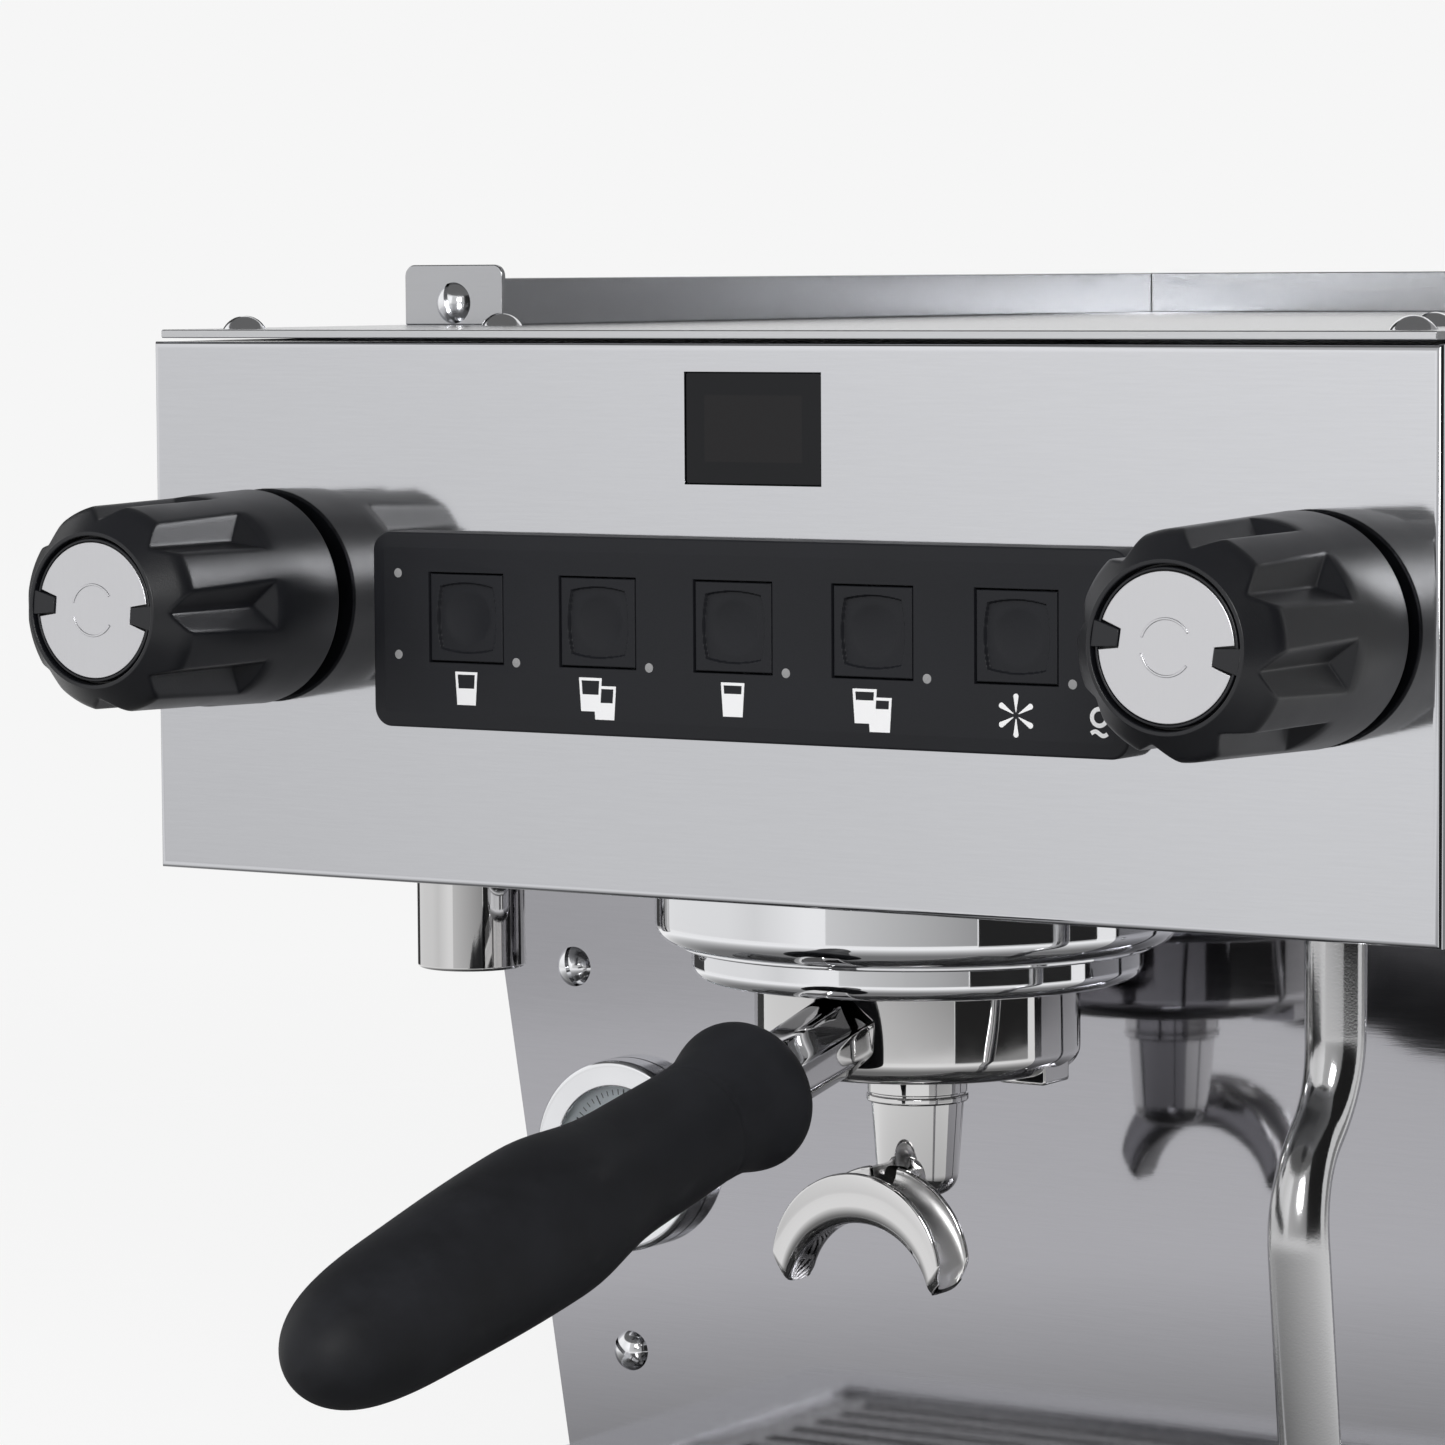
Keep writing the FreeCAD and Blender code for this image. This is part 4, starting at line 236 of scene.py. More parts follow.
class GroupForm(PropertyGroup):
    """Group bell, head and portafilter."""

    bell_round: length("Bell round", 4.6, "Bell's lower edge")
    bell_bead: length("Bell bead", 0.9, "Thin ring under the bell")
    bell_sink: length("Bell sink", 1.1, "Bell's lower edge below its solid's")
    head_round: length("Head round", 3.0, "Head's lower edge")
    lip: length("Lip", 4.5, "Ledge that carries the lugs")
    mouth: length("Mouth", 35.2, "Radius of the opening below")
    socket: length("Socket", 41.5, "Radius above the ledge")
    socket_height: length("Socket height", 12.5, "Socket above the ledge")
    gate: degrees("Gate", 36.0, "Opening for a lug")
    gate_turn: degrees("Gate turn", -45.0, "First gate, from the right side")
    cup: length("Cup", 34.2, "Radius of the portafilter")
    cup_depth: length("Cup depth", 27.1, "Portafilter")
    cup_wall: length("Cup wall", 3.2, "Portafilter")
    cup_floor: length("Cup floor", 4.0, "Portafilter")
    cup_round: length("Cup round", 4.4, "Portafilter's lower edge")
    lug: length("Lug", 40.5, "Radius of the locking lugs")
    lug_level: length("Lug level", 23.8, "Lug's underside above the portafilter's")
    lug_thickness: length("Lug thickness", 3.2, "Locking lug")
    lug_angle: degrees("Lug angle", 30.0, "Locking lug")
    drain: length("Drain", 5.0, "Radius of the hole in the floor")
    rest_width: length("Rest width", 10.0, "Lug on which the portafilter is laid down")
    rest_height: length("Rest height", 5.6, "The same lug")
    rest_length: length("Rest length", 11.0, "The same lug")
    rest_reach: length("Rest reach", 33.4, "Cup's axis to that lug's end")
    rest_below: length("Rest below", 1.6, "That lug's underside below the cup's")


class HandleForm(PropertyGroup):
    """Portafilter's arm and grip."""

    drop: degrees("Drop", 11.7, "Slope of the handle")
    axis_depth: length("Axis depth", 23.5, "Handle's axis at the group, below the head")
    start: length("Start", 65.4, "Group axis to the grip")
    arm_width: length("Arm width", 17.6, "Arm at the cup")
    arm_height: length("Arm height", 15.6, "Arm at the cup")
    arm_lift: length("Arm lift", 0.5, "Arm above the axis at the cup")
    arm_flare: length("Arm flare", 3.5, "Length over which the arm widens into the cup")
    arm_end: length("Arm end", 7.5, "Arm's radius in the grip")


class SpoutForm(PropertyGroup):
    """Screwed cone and open twin gutter."""

    stub: length("Stub", 9.2, "Radius between cup and ring")
    stub_height: length("Stub height", 2.2, "Cup to ring")
    collar: length("Collar", 10.8, "Radius of the screwed ring")
    collar_height: length("Collar height", 5.2, "Screwed ring")
    neck: length("Neck", 9.8, "Cone at the ring")
    foot: length("Foot", 8.3, "Cone at its foot")
    foot_round: length("Foot round", 5.0, "Rounding of the foot")
    cone: length("Cone", 20.1, "Height of the cone")
    wall: length("Wall", 1.3, "Walls of the gutter")
    forward: length("Forward", 19.5, "Gutter ahead of the axis")
    width: length("Width", 13.0, "Gutter, front to back")
    outer: length("Outer", 20.2, "Radius of the gutter's rim")
    outer_depth: length("Outer depth", 79.5, "Centre of the rim below the head")
    under: length("Under", 17.4, "Radius of the underside")
    under_drop: length("Under drop", 8.2, "Centre of the underside below the rim's")
    channel: share("Channel", 0.4, "Share of the gutter's height that is hollow")
    reach: degrees("Reach", 91.0, "Gutter's top to the end of its rim")
    under_reach: degrees("Under reach", 77.0, "Gutter's top to the end of its underside")
    gap: degrees("Gap", 8.5, "Half the opening in the gutter's rear wall")
    outlet: degrees("Outlet", 26.0, "Half the opening in the cone")
    outlet_top: length("Outlet top", 7.2, "Top of that opening above the foot")
    bridge: length("Bridge", 10.5, "Width of the trough between cone and gutter")


class OutletForm(PropertyGroup):
    """Hot-water nozzle and steam wand."""

    nozzle_edge: length("Nozzle edge", 0.7, "Rounding of the nozzle's edges")
    nozzle_bore: length("Nozzle bore", 8.0, "Radius of the nozzle's hole")
    nozzle_line: length("Nozzle line", 2.4, "Groove below the head")
    tube: length("Tube", 6.2, "Radius of the wand")
    bore: length("Bore", 5.0, "Radius of the wand's hole")
    bend: length("Bend", 25.0, "Radius of the wand's bends")
    bend_angle: degrees("Bend angle", 45.0, "Turn of the wand's first bend")
    between: length("Between", 2.0, "Straight tube between the bends")
    lean: degrees("Lean", 7.0, "Lean of the tube below its bends")
    straight: length("Straight", 24.0, "Tube below the head before its bend")
    tail: length("Tail", 58.0, "Tube below its bends")
    pinch: share("Pinch", 0.13, "How far the bends narrow the tube")
    tip: length("Tip", 6.8, "Radius of the tip")
    tip_length: length("Tip length", 12.0, "Tip")
    tip_end: length("Tip end", 4.0, "Radius of the tip's end")
    tip_straight: length("Tip straight", 5.4, "Straight length of the tip")


class GaugeForm(PropertyGroup):
    """Pressure gauge on the backsplash."""

    lip: length("Lip", 6.0, "Face of the bezel")
    lip_thickness: length("Lip thickness", 1.0, "Bezel's face")
    edge: length("Edge", 1.3, "Rounding of the bezel")
    tick: length("Tick", 2.3, "Long tick")
    tick_width: length("Tick width", 0.4, "Long tick")
    scale: length("Scale", 15.0, "Radius of the ticks' outer ends")
    ticks: count("Ticks", 41, "Ticks round the dial")
    start: degrees("Start", 210.0, "First tick, from the right towards the top")
    sweep: degrees("Sweep", 240.0, "First tick to last")
    figure: length("Figure", 2.8, "Height of the numbers")


class StageLook(PropertyGroup):
    """Floor, lamps, cards and camera."""

    background: colour("Background", (0.922, 0.922, 0.922), "Backdrop")
    floor: colour("Floor", (0.3, 0.3, 0.3), "Floor's share that shows the shadow")
    floor_glow: share("Floor glow", 0.73, "Floor's share that matches the backdrop")
    floor_mirrored: share("Floor mirrored", 0.15, "Floor near the feet, as metal sees it")
    floor_size: length("Floor size", 1900.0, "Radius of the floor")
    ambient: FloatProperty(name="Ambient", description="Light from all round", default=0.62)
    key: FloatProperty(name="Key", description="Large lamp, left and above", default=16.0, unit="POWER")
    key_place: position("Key place", (-1.3, -1.2, 1.7), "Middle of the large lamp")
    key_size: length("Key size", 1400.0, "Side of the large lamp")
    fill: FloatProperty(name="Fill", description="Lamp above the camera", default=13.0, unit="POWER")
    fill_place: position("Fill place", (0.8, -1.46, 0.85), "Middle of that lamp")
    fill_size: length("Fill size", 500.0, "Side of that lamp")
    lens: FloatProperty(name="Lens", description="Focal length in millimetres", default=140.31)
    camera: position("Camera", (0.74388, -0.94776, 0.12673), "From the panel's lower left corner")
    yaw: degrees("Yaw", 32.39, "Camera's turn to the left")
    pitch: degrees("Pitch", 4.6, "Camera's tilt downwards")
    roll: degrees("Roll", 0.34, "Camera's turn about its view")


GROUPS = {
    "machine_metal": MetalLook,
    "machine_black": BlackLook,
    "machine_panel": PanelForm,
    "machine_keypad": KeypadForm,
    "machine_knob": KnobForm,
    "machine_group": GroupForm,
    "machine_handle": HandleForm,
    "machine_spout": SpoutForm,
    "machine_outlet": OutletForm,
    "machine_gauge": GaugeForm,
    "machine_stage": StageLook,
}


def settings(context, *names):
    """The property groups of these names."""
    return [getattr(context.scene, "machine_" + name) for name in names]


def box(node):
    """Low and high corners of a node, as arrays."""
    low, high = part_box(node)
    return np.array(low), np.array(high)


def middle(node):
    """Middle of a node's box."""
    low, high = box(node)
    return (low + high) / 2


def unit(vector):
    """A vector of length one."""
    return vector / np.linalg.norm(vector)


def basis(along):
    """Rows that turn local x, y, z into world axes, with z along a direction square to world X."""
    side = np.array((1.0, 0.0, 0.0))
    return np.stack([side, np.cross(along, side), along])


def quads(rows, columns, wrap):
    """Four-cornered faces of a grid numbered row by row; wrap joins its last column to its first."""
    row, column = np.meshgrid(np.arange(rows - 1), np.arange(columns if wrap else columns - 1), indexing="ij")
    beside = (column + 1) % columns
    corners = [row * columns + column, row * columns + beside,
               (row + 1) * columns + beside, (row + 1) * columns + column]
    return np.stack(corners, axis=-1).reshape(-1, 4)


def grid(points, wrap=False):
    """A surface through points, rows by columns by three: its points, and blocks of like faces."""
    return points.reshape(-1, 3), [quads(points.shape[0], points.shape[1], wrap)]


def capped(points):
    """A closed section carried along the rows, with a face at each end."""
    surface, blocks = grid(points, wrap=True)
    numbers = np.arange(len(surface)).reshape(points.shape[:2])
    return surface, blocks + [np.stack([numbers[0, ::-1], numbers[-1]])]


def join(*surfaces):
    """One surface from several."""
    starts = np.cumsum([0] + [len(points) for points, blocks in surfaces])
    points = np.concatenate([points for points, blocks in surfaces])
    return points, [block + start for start, (_, blocks) in zip(starts, surfaces) for block in blocks]


def placed(surface, origin, along=UP):
    """A surface moved from local axes to an origin, with its z along a direction."""
    points, faces = surface
    return points @ basis(along) + np.asarray(origin), faces


def turn(surface, angle):
    """A surface turned about its local z."""
    points, faces = surface
    c, s = math.cos(angle), math.sin(angle)
    return points @ np.array(((c, s, 0), (-s, c, 0), (0, 0, 1))), faces


def lathe(profile, sides=SIDES):
    """Rows of (radius, height) turned about z: x = r cos a, y = r sin a, z = h."""
    angle = np.linspace(0, 2 * math.pi, sides, endpoint=False)
    radius = profile[:, :1]
    height = np.broadcast_to(profile[:, 1:], (len(profile), sides))
    return grid(np.stack([radius * np.cos(angle), radius * np.sin(angle), height], axis=-1), wrap=True)


def rounded(corners, closed=False, steps=6):
    """A line through corners (x, y, radius), each with a radius becoming an arc that touches both its sides.

    A point a little outside each end of an arc keeps the straight stretch's shading flat.
    """
    corners = np.array(corners, dtype=float)
    places = corners[:, :2]
    line = []
    for n, (here, radius) in enumerate(zip(places, corners[:, 2])):
        if radius == 0 or (not closed and n in (0, len(corners) - 1)):
            line.append(here[None])
            continue
        back = unit(places[n - 1] - here)
        ahead = unit(places[(n + 1) % len(places)] - here)
        half = math.acos(float(np.clip(back @ ahead, -1, 1))) / 2
        reach = radius / math.tan(half)
        centre = here + unit(back + ahead) * radius / math.sin(half)
        sweep = math.pi - 2 * half
        share_along = np.linspace(0, 1, steps + 1)[:, None]
        first, last = here + back * reach, here + ahead * reach
        arc = centre + (np.sin((1 - share_along) * sweep) * (first - centre)
                        + np.sin(share_along * sweep) * (last - centre)) / math.sin(sweep)
        line += [first[None] + back * reach * 0.12, arc, last[None] + ahead * reach * 0.12]
    return np.concatenate(line)


def rectangle(half, radius, steps=6):
    """A rounded rectangle about the middle, from its two half sizes."""
    return rounded([(*corner, radius) for corner in SQUARE * half], closed=True, steps=steps)


def lifted(outline, height):
    """The points of a flat outline at a height."""
    return np.column_stack([outline, np.full(len(outline), height)])


def ring(profile):
    """A closed profile for a lathe, its last row joined to its first."""
    return np.concatenate([profile, profile[:1]])


def inset(outline, distance):
    """A closed outline, counter-clockwise, moved inwards with mitred corners."""
    ahead = np.roll(outline, -1, axis=0) - outline
    ahead /= np.linalg.norm(ahead, axis=1, keepdims=True)
    normal = np.stack([-ahead[:, 1], ahead[:, 0]], axis=-1)
    before = np.roll(normal, 1, axis=0)
    mitre = (normal + before) / (1 + np.sum(normal * before, axis=1, keepdims=True))
    return outline + mitre * distance


def slab(outline, low, high, edge, steps=4):
    """A plate over a closed outline from one height to another, with a rounded upper edge.

    Each row is the outline moved in by edge (1 - cos a) at the height high - edge (1 - sin a).
    """
    angle = np.linspace(0, math.pi / 2, steps + 1)
    moves = np.concatenate([[0], edge * (1 - np.cos(angle)), [edge * 1.2]])
    heights = np.concatenate([[low], high - edge * (1 - np.sin(angle)), [high]])
    return capped(np.stack([lifted(inset(outline, move), height) for move, height in zip(moves, heights)]))


def pierced(outline, holes, height):
    """A flat face at a height over a closed outline, filled round the holes in it."""
    work = bmesh.new()
    for loop in (outline, *holes):
        verts = [work.verts.new((x, y, height)) for x, y in loop]
        for first, second in zip(verts, verts[1:] + verts[:1]):
            work.edges.new((first, second))
    bmesh.ops.triangle_fill(work, edges=work.edges, use_beauty=True)
    work.verts.index_update()
    points = np.array([vert.co for vert in work.verts])
    faces = np.array([[vert.index for vert in face.verts] for face in work.faces])
    work.free()
    return points, [faces]


def arc_points(radius, start, end, steps=24, centre=(0, 0)):
    """Points on a circle from one angle to another."""
    angle = np.linspace(start, end, steps)
    return np.column_stack([centre[0] + radius * np.cos(angle), centre[1] + radius * np.sin(angle)])


def smooth_low(first, second, soft):
    """The lower of two arrays, blended where they are close."""
    h = np.clip(0.5 + 0.5 * (second - first) / soft, 0, 1)
    return second + (first - second) * h - soft * h * (1 - h)


def smooth_high(first, second, soft):
    """The higher of two arrays, blended where they are close."""
    return -smooth_low(-first, -second, soft)


def ramp(value):
    """A smooth step from nought to one."""
    value = np.clip(value, 0, 1)
    return value * value * (3 - 2 * value)


def spline(stations, number):
    """A natural cubic curve through stations, spaced by the chord, as an array of points."""
    stations = np.array(stations, dtype=float)
    knots = np.concatenate([[0], np.cumsum(np.linalg.norm(np.diff(stations, axis=0), axis=1))])
    step = np.diff(knots)
    size = len(knots)
    matrix = np.eye(size)
    right = np.zeros_like(stations)
    inner = np.arange(1, size - 1)
    matrix[inner, inner - 1] = step[:-1]
    matrix[inner, inner] = 2 * (step[:-1] + step[1:])
    matrix[inner, inner + 1] = step[1:]
    slope = np.diff(stations, axis=0) / step[:, None]
    right[1:-1] = 6 * np.diff(slope, axis=0)
    bend = np.linalg.solve(matrix, right)
    at = np.linspace(0, knots[-1], number)
    k = np.clip(np.searchsorted(knots, at, side="right") - 1, 0, size - 2)
    h = step[k][:, None]
    a, b = (knots[k + 1] - at)[:, None] / h, (at - knots[k])[:, None] / h
    return (a * stations[k] + b * stations[k + 1]
            + ((a ** 3 - a) * bend[k] + (b ** 3 - b) * bend[k + 1]) * h ** 2 / 6)


def tube(path, radius, reference, sides=48):
    """Points of a circle carried along a path: p + r (cos a n + sin a b), with n and b square to the path."""
    tangent = np.gradient(path, axis=0)
    tangent /= np.linalg.norm(tangent, axis=1, keepdims=True)
    side = np.cross(tangent, reference)
    side /= np.linalg.norm(side, axis=1, keepdims=True)
    other = np.cross(tangent, side)
    angle = np.linspace(0, 2 * math.pi, sides, endpoint=False)[None, :, None]
    radius = np.broadcast_to(radius, len(path))[:, None, None]
    around = np.cos(angle) * side[:, None] + np.sin(angle) * other[:, None]
    return path[:, None] + radius * around


def mesh_of(name, surface):
    """A mesh from a surface's points and blocks of faces."""
    points, blocks = surface
    mesh = bpy.data.meshes.new(name)
    mesh.from_pydata(points, [], [face for block in blocks for face in block.tolist()])
    return mesh


def show(name, parts, node):
    """An object from surfaces and their materials, on a node's body."""
    surfaces, materials = zip(*parts)
    mesh = mesh_of(name, join(*surfaces))
    sizes = [sum(len(block) for block in blocks) for _, blocks in surfaces]
    mesh.polygons.foreach_set("material_index", np.repeat(np.arange(len(parts)), sizes).astype(np.int32))
    for material in materials:
        mesh.materials.append(material)
    work = bmesh.new()
    work.from_mesh(mesh)
    bmesh.ops.remove_doubles(work, verts=work.verts, dist=WELD)
    bmesh.ops.dissolve_degenerate(work, edges=work.edges, dist=1e-7)
    bmesh.ops.recalc_face_normals(work, faces=work.faces)
    work.to_mesh(mesh)
    work.free()
    return settle(name, mesh, node)


def settle(name, mesh, node):
    """Put a mesh in the scene, on a node's body, with smooth shading up to a sharp angle."""
    mesh.shade_smooth()
    mesh.set_sharp_from_angle(angle=SHARP)
    thing = bpy.data.objects.new(name, mesh)
    bpy.context.scene.collection.objects.link(thing)
    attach(thing, BODY_OF[node])
    return thing


def stand_in(name, parts, node):
    """An object from surfaces and their materials, in the place of a node."""
    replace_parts(show(name, parts, node), node)


def softened(node, material, edge):
    """A copy of a sheet node with merged corners and a small bevel along its edges."""
    mesh = frame["nodes"][node].data.copy()
    mesh.name = node + "_sheet"
    work = bmesh.new()
    work.from_mesh(mesh)
    bmesh.ops.remove_doubles(work, verts=work.verts, dist=WELD)
    bmesh.ops.dissolve_limit(work, angle_limit=math.radians(0.5), verts=work.verts, edges=work.edges)
    work.to_mesh(mesh)
    work.free()
    mesh.materials.clear()
    mesh.materials.append(material)
    thing = settle(node + "_sheet", mesh, node)
    bevel = thing.modifiers.new("edge", "BEVEL")
    bevel.width = edge
    bevel.segments = 2
    bevel.limit_method = "ANGLE"
    bevel.angle_limit = math.radians(40)
    bevel.harden_normals = True
    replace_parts(thing, node)


def paint(node, material):
    """Give a node that keeps its own mesh a better material."""
    mesh = frame["nodes"][node].data
    mesh.materials.clear()
    mesh.materials.append(material)


class Wiring:
    """A tree of shader nodes, and short ways to wire patterns in it."""

    def __init__(self, tree):
        self.tree = tree

    def node(self, kind, inputs=(), **options):
        """A node with its options, and with values or links on its numbered or named inputs."""
        made = self.tree.nodes.new(kind)
        for key, value in options.items():
            setattr(made, key, value)
        for key, value in dict(inputs).items():
            if isinstance(value, bpy.types.NodeSocket):
                self.tree.links.new(value, made.inputs[key])
            else:
                made.inputs[key].default_value = value
        return made

    def work(self, operation, *values):
        """A sum worked out on values or links."""
        return self.node("ShaderNodeMath", enumerate(values), operation=operation).outputs[0]

    def place(self, scale):
        """Object coordinates, stretched."""
        where = self.node("ShaderNodeTexCoord").outputs["Object"]
        return self.node("ShaderNodeMapping", {"Vector": where, "Scale": scale}).outputs["Vector"]

    def noise(self, scale, detail=3.0, rough=0.5):
        """Noise on stretched object coordinates."""
        inputs = {"Vector": self.place(scale), "Scale": 1.0, "Detail": detail, "Roughness": rough}
        return self.node("ShaderNodeTexNoise", inputs).outputs["Fac"]

    def spread(self, value, low, high, first=0.3, last=0.7):
        """A value between two limits carried to two others."""
        inputs = {"Value": value, "From Min": first, "From Max": last, "To Min": low, "To Max": high}
        return self.node("ShaderNodeMapRange", inputs).outputs["Result"]

    def mix(self, factor, first, second):
        """Two colours mixed by a factor."""
        made = self.node("ShaderNodeMix", data_type="RGBA")
        made.inputs[6].default_value = (*first, 1.0)
        made.inputs[7].default_value = (*second, 1.0)
        self.tree.links.new(factor, made.inputs["Factor"])
        return made.outputs[2]

    def seen(self):
        """One for rays from the camera, from metal and through glass, nought for the rest."""
        ray = self.node("ShaderNodeLightPath").outputs
        either = self.work("MAXIMUM", ray["Is Camera Ray"], ray["Is Glossy Ray"])
        return self.work("MAXIMUM", either, ray["Is Transmission Ray"])


class Shader(Wiring):
    """A material with one principled surface, whose constant values are given by its sockets' names."""

    def __init__(self, name, **values):
        self.material = bpy.data.materials.new(name)
        self.material.use_nodes = True
        super().__init__(self.material.node_tree)
        self.surface = self.tree.nodes["Principled BSDF"]
        for key, value in values.items():
            socket = self.surface.inputs[key.replace("_", " ").title().replace("Ior", "IOR")]
            socket.default_value = (*value, 1.0) if hasattr(value, "__len__") else value

    def feed(self, name, socket):
        """Wire a value into the surface."""
        self.tree.links.new(socket, self.surface.inputs[name])

    def bump(self, height, depth):
        """Wire a height into the surface's normal."""
        inputs = {"Height": height, "Distance": depth, "Strength": 1.0}
        self.feed("Normal", self.node("ShaderNodeBump", inputs).outputs["Normal"])


def brushed(name, tint, roughness, grain, across=(0, 1, 1), depth=0.0015 * MM, drawn=0.6):
    """Sheet steel with fine lines along the axis that isn't named in across, and a faint cloud."""
    shader = Shader(name, base_color=tint, metallic=1.0, roughness=roughness, anisotropic=drawn,
                    anisotropic_rotation=0.25)
    fine = [1 / grain if square else 0.035 / grain for square in across]
    coarse = [0.3 * value for value in fine]
    lines = shader.noise(fine, detail=2.0)
    bands = shader.noise(coarse, detail=3.0)
    both = shader.work("ADD", lines, bands)
    shader.feed("Roughness", shader.spread(both, roughness * 0.8, roughness * 1.2, 0.6, 1.4))
    cloud = shader.noise((9, 9, 9), detail=4.0)
    mixed = shader.work("ADD", both, cloud)
    dark = tuple(0.94 * value for value in tint)
    shader.feed("Base Color", shader.mix(shader.spread(mixed, 0, 1, 0.9, 2.1), dark, tint))
    shader.bump(both, depth)
    return shader.material


def polished(name, tint, roughness):
    """Chrome plate with faint wipe marks."""
    shader = Shader(name, base_color=tint, metallic=1.0, roughness=roughness)
    smear = shader.noise((70, 70, 70), detail=5.0, rough=0.6)
    shader.feed("Roughness", shader.spread(smear, roughness * 0.6, roughness * 1.8))
    return shader.material


def moulded(name, tint, roughness, gloss=0.3, pit=0.3 * MM, depth=0.02 * MM):
    """Matt plastic or rubber with a fine moulded texture and slightly worn patches."""
    shader = Shader(name, base_color=tint, roughness=roughness, specular_ior_level=gloss)
    texture = shader.noise([1 / pit] * 3, detail=2.0)
    wear = shader.noise((38, 38, 38), detail=5.0, rough=0.6)
    shader.feed("Roughness", shader.spread(wear, roughness * 0.86, roughness * 1.14))
    pale = tuple(1.35 * value for value in tint)
    shader.feed("Base Color", shader.mix(shader.spread(wear, 0, 1), tint, pale))
    shader.bump(texture, depth)
    return shader.material


def plain(name, tint, roughness, metallic=0.0):
    """A surface with a little variation in its sheen."""
    shader = Shader(name, base_color=tint, roughness=roughness, metallic=metallic)
    patches = shader.noise((120, 120, 120), detail=4.0)
    shader.feed("Roughness", shader.spread(patches, roughness * 0.8, min(1.0, roughness * 1.2)))
    return shader.material


class MACHINE_OT_front_panel(Operator):
    """Folded front panel with rounded edges, and the display in its window"""

    bl_idname = "machine.front_panel"
    bl_label = "Front panel"

    def execute(self, context):
        form, metal, black = settings(context, "panel", "metal", "black")
        steel = brushed("panel_steel", metal.panel, metal.panel_roughness, metal.grain, depth=0.001 * MM)
        stand_in("front_panel_skin", [(self.skin(form), steel)], "front_panel")
        self.window(form, black)
        return {"FINISHED"}

    def skin(self, form):
        """Rectangles from the fold's rear over its bend, the face and the window's edge, and back inside.

        A bend's rows lie at r (1 - cos a) and r (1 - sin a) from the two planes that it joins.
        """
        panel, window = box("front_panel"), box("display_window")
        face, rear = panel[0][1], panel[1][1]
        inside = face + form.wall

        def loop(corners, move, depth):
            low, high = corners
            return low[0] + move, high[0] - move, low[2] + move, high[2] - move, depth

        angle = np.linspace(0, math.pi / 2, 7)
        bend, edge = form.bend, form.window_edge
        slot = edge / 2
        rows = [loop(panel, 0, rear), loop(panel, 0, face + 1.2 * bend)]
        rows += [loop(panel, bend * (1 - math.cos(a)), face + bend * (1 - math.sin(a))) for a in angle]
        rows += [loop(panel, 1.3 * bend, face), loop(window, -slot - 1.3 * edge, face)]
        rows += [loop(window, -slot - edge * (1 - math.sin(a)), face + edge * (1 - math.cos(a)))
                 for a in angle]
        rows += [loop(window, -slot, inside), loop(panel, form.wall, inside)]
        rows += [loop(panel, form.wall, rear), loop(panel, 0, rear)]
        left, right, bottom, top, depth = np.array(rows).T
        corners = [np.stack([x, depth, z], axis=-1)
                   for x, z in ((left, bottom), (right, bottom), (right, top), (left, top))]
        return grid(np.stack(corners, axis=1), wrap=True)

    def window(self, form, black):
        """Smoked window with a slightly paler screen behind it."""
        low, high = box("display_window")
        half, centre = (high - low) / 2, (low + high) / 2
        plate = slab(rectangle(half[[0, 2]], form.glass_corner), 0, 2 * half[1], form.glass_edge)
        shader = Shader("smoked_window", base_color=black.display, roughness=black.display_roughness,
                        specular_ior_level=black.gloss)
        where = shader.node("ShaderNodeSeparateXYZ", {0: shader.place((1, 1, 1))}).outputs
        within = []
        for n, part in ((0, form.screen_width), (2, form.screen_height)):
            away = shader.work("ABSOLUTE", shader.work("SUBTRACT", where[n], centre[n]))
            within.append(shader.work("LESS_THAN", away, part * half[n]))
        shader.feed("Base Color", shader.mix(shader.work("MULTIPLY", *within), black.display, black.screen))
        origin = (centre[0], high[1], centre[2])
        stand_in("display_glass", [(placed(plate, origin, FORWARD), shader.material)], "display_window")


class MACHINE_OT_housing(Operator):
    """Lid, cup rail, sides, floor and chassis with softened edges"""

    bl_idname = "machine.housing"
    bl_label = "Housing"

    def execute(self, context):
        metal = context.scene.machine_metal
        body = brushed("body_steel", metal.body, metal.body_roughness, metal.grain, drawn=0.0)
        side = brushed("side_steel", metal.body, metal.body_roughness, metal.grain, across=(1, 0, 1))
        splash = brushed("splash_steel", metal.splash, metal.splash_roughness, metal.grain, depth=0.001 * MM)
        for node in ("lid", "head_floor", "rear_panel", "chassis_pan", "chassis_deck"):
            softened(node, body, metal.edge)
        rail = brushed("rail_steel", metal.rail, metal.rail_roughness, metal.grain, depth=0.002 * MM)
        softened("cup_rail", rail, metal.edge)
        for node in ("left_side_panel", "right_side_panel"):
            softened(node, side, metal.edge)
        softened("backsplash", splash, metal.edge)
        return {"FINISHED"}


class MACHINE_OT_tray(Operator):
    """Drip tray, its grille and the feet"""

    bl_idname = "machine.tray"
    bl_label = "Tray and feet"

    def execute(self, context):
        metal, black = settings(context, "metal", "black")
        steel = brushed("tray_steel", metal.body, metal.body_roughness, metal.grain, drawn=0.0)
        bars = brushed("grille_steel", metal.grille, metal.grille_roughness, metal.grain,
                       depth=0.0005 * MM, drawn=0.0)
        softened("drip_tray", steel, metal.edge)
        softened("drip_grille", bars, metal.edge)
        softened("feet", moulded("foot_plastic", black.foot, 0.45), metal.edge)
        softened("foot_pads", moulded("pad_rubber", black.pad, 0.7), 2 * metal.edge)
        return {"FINISHED"}


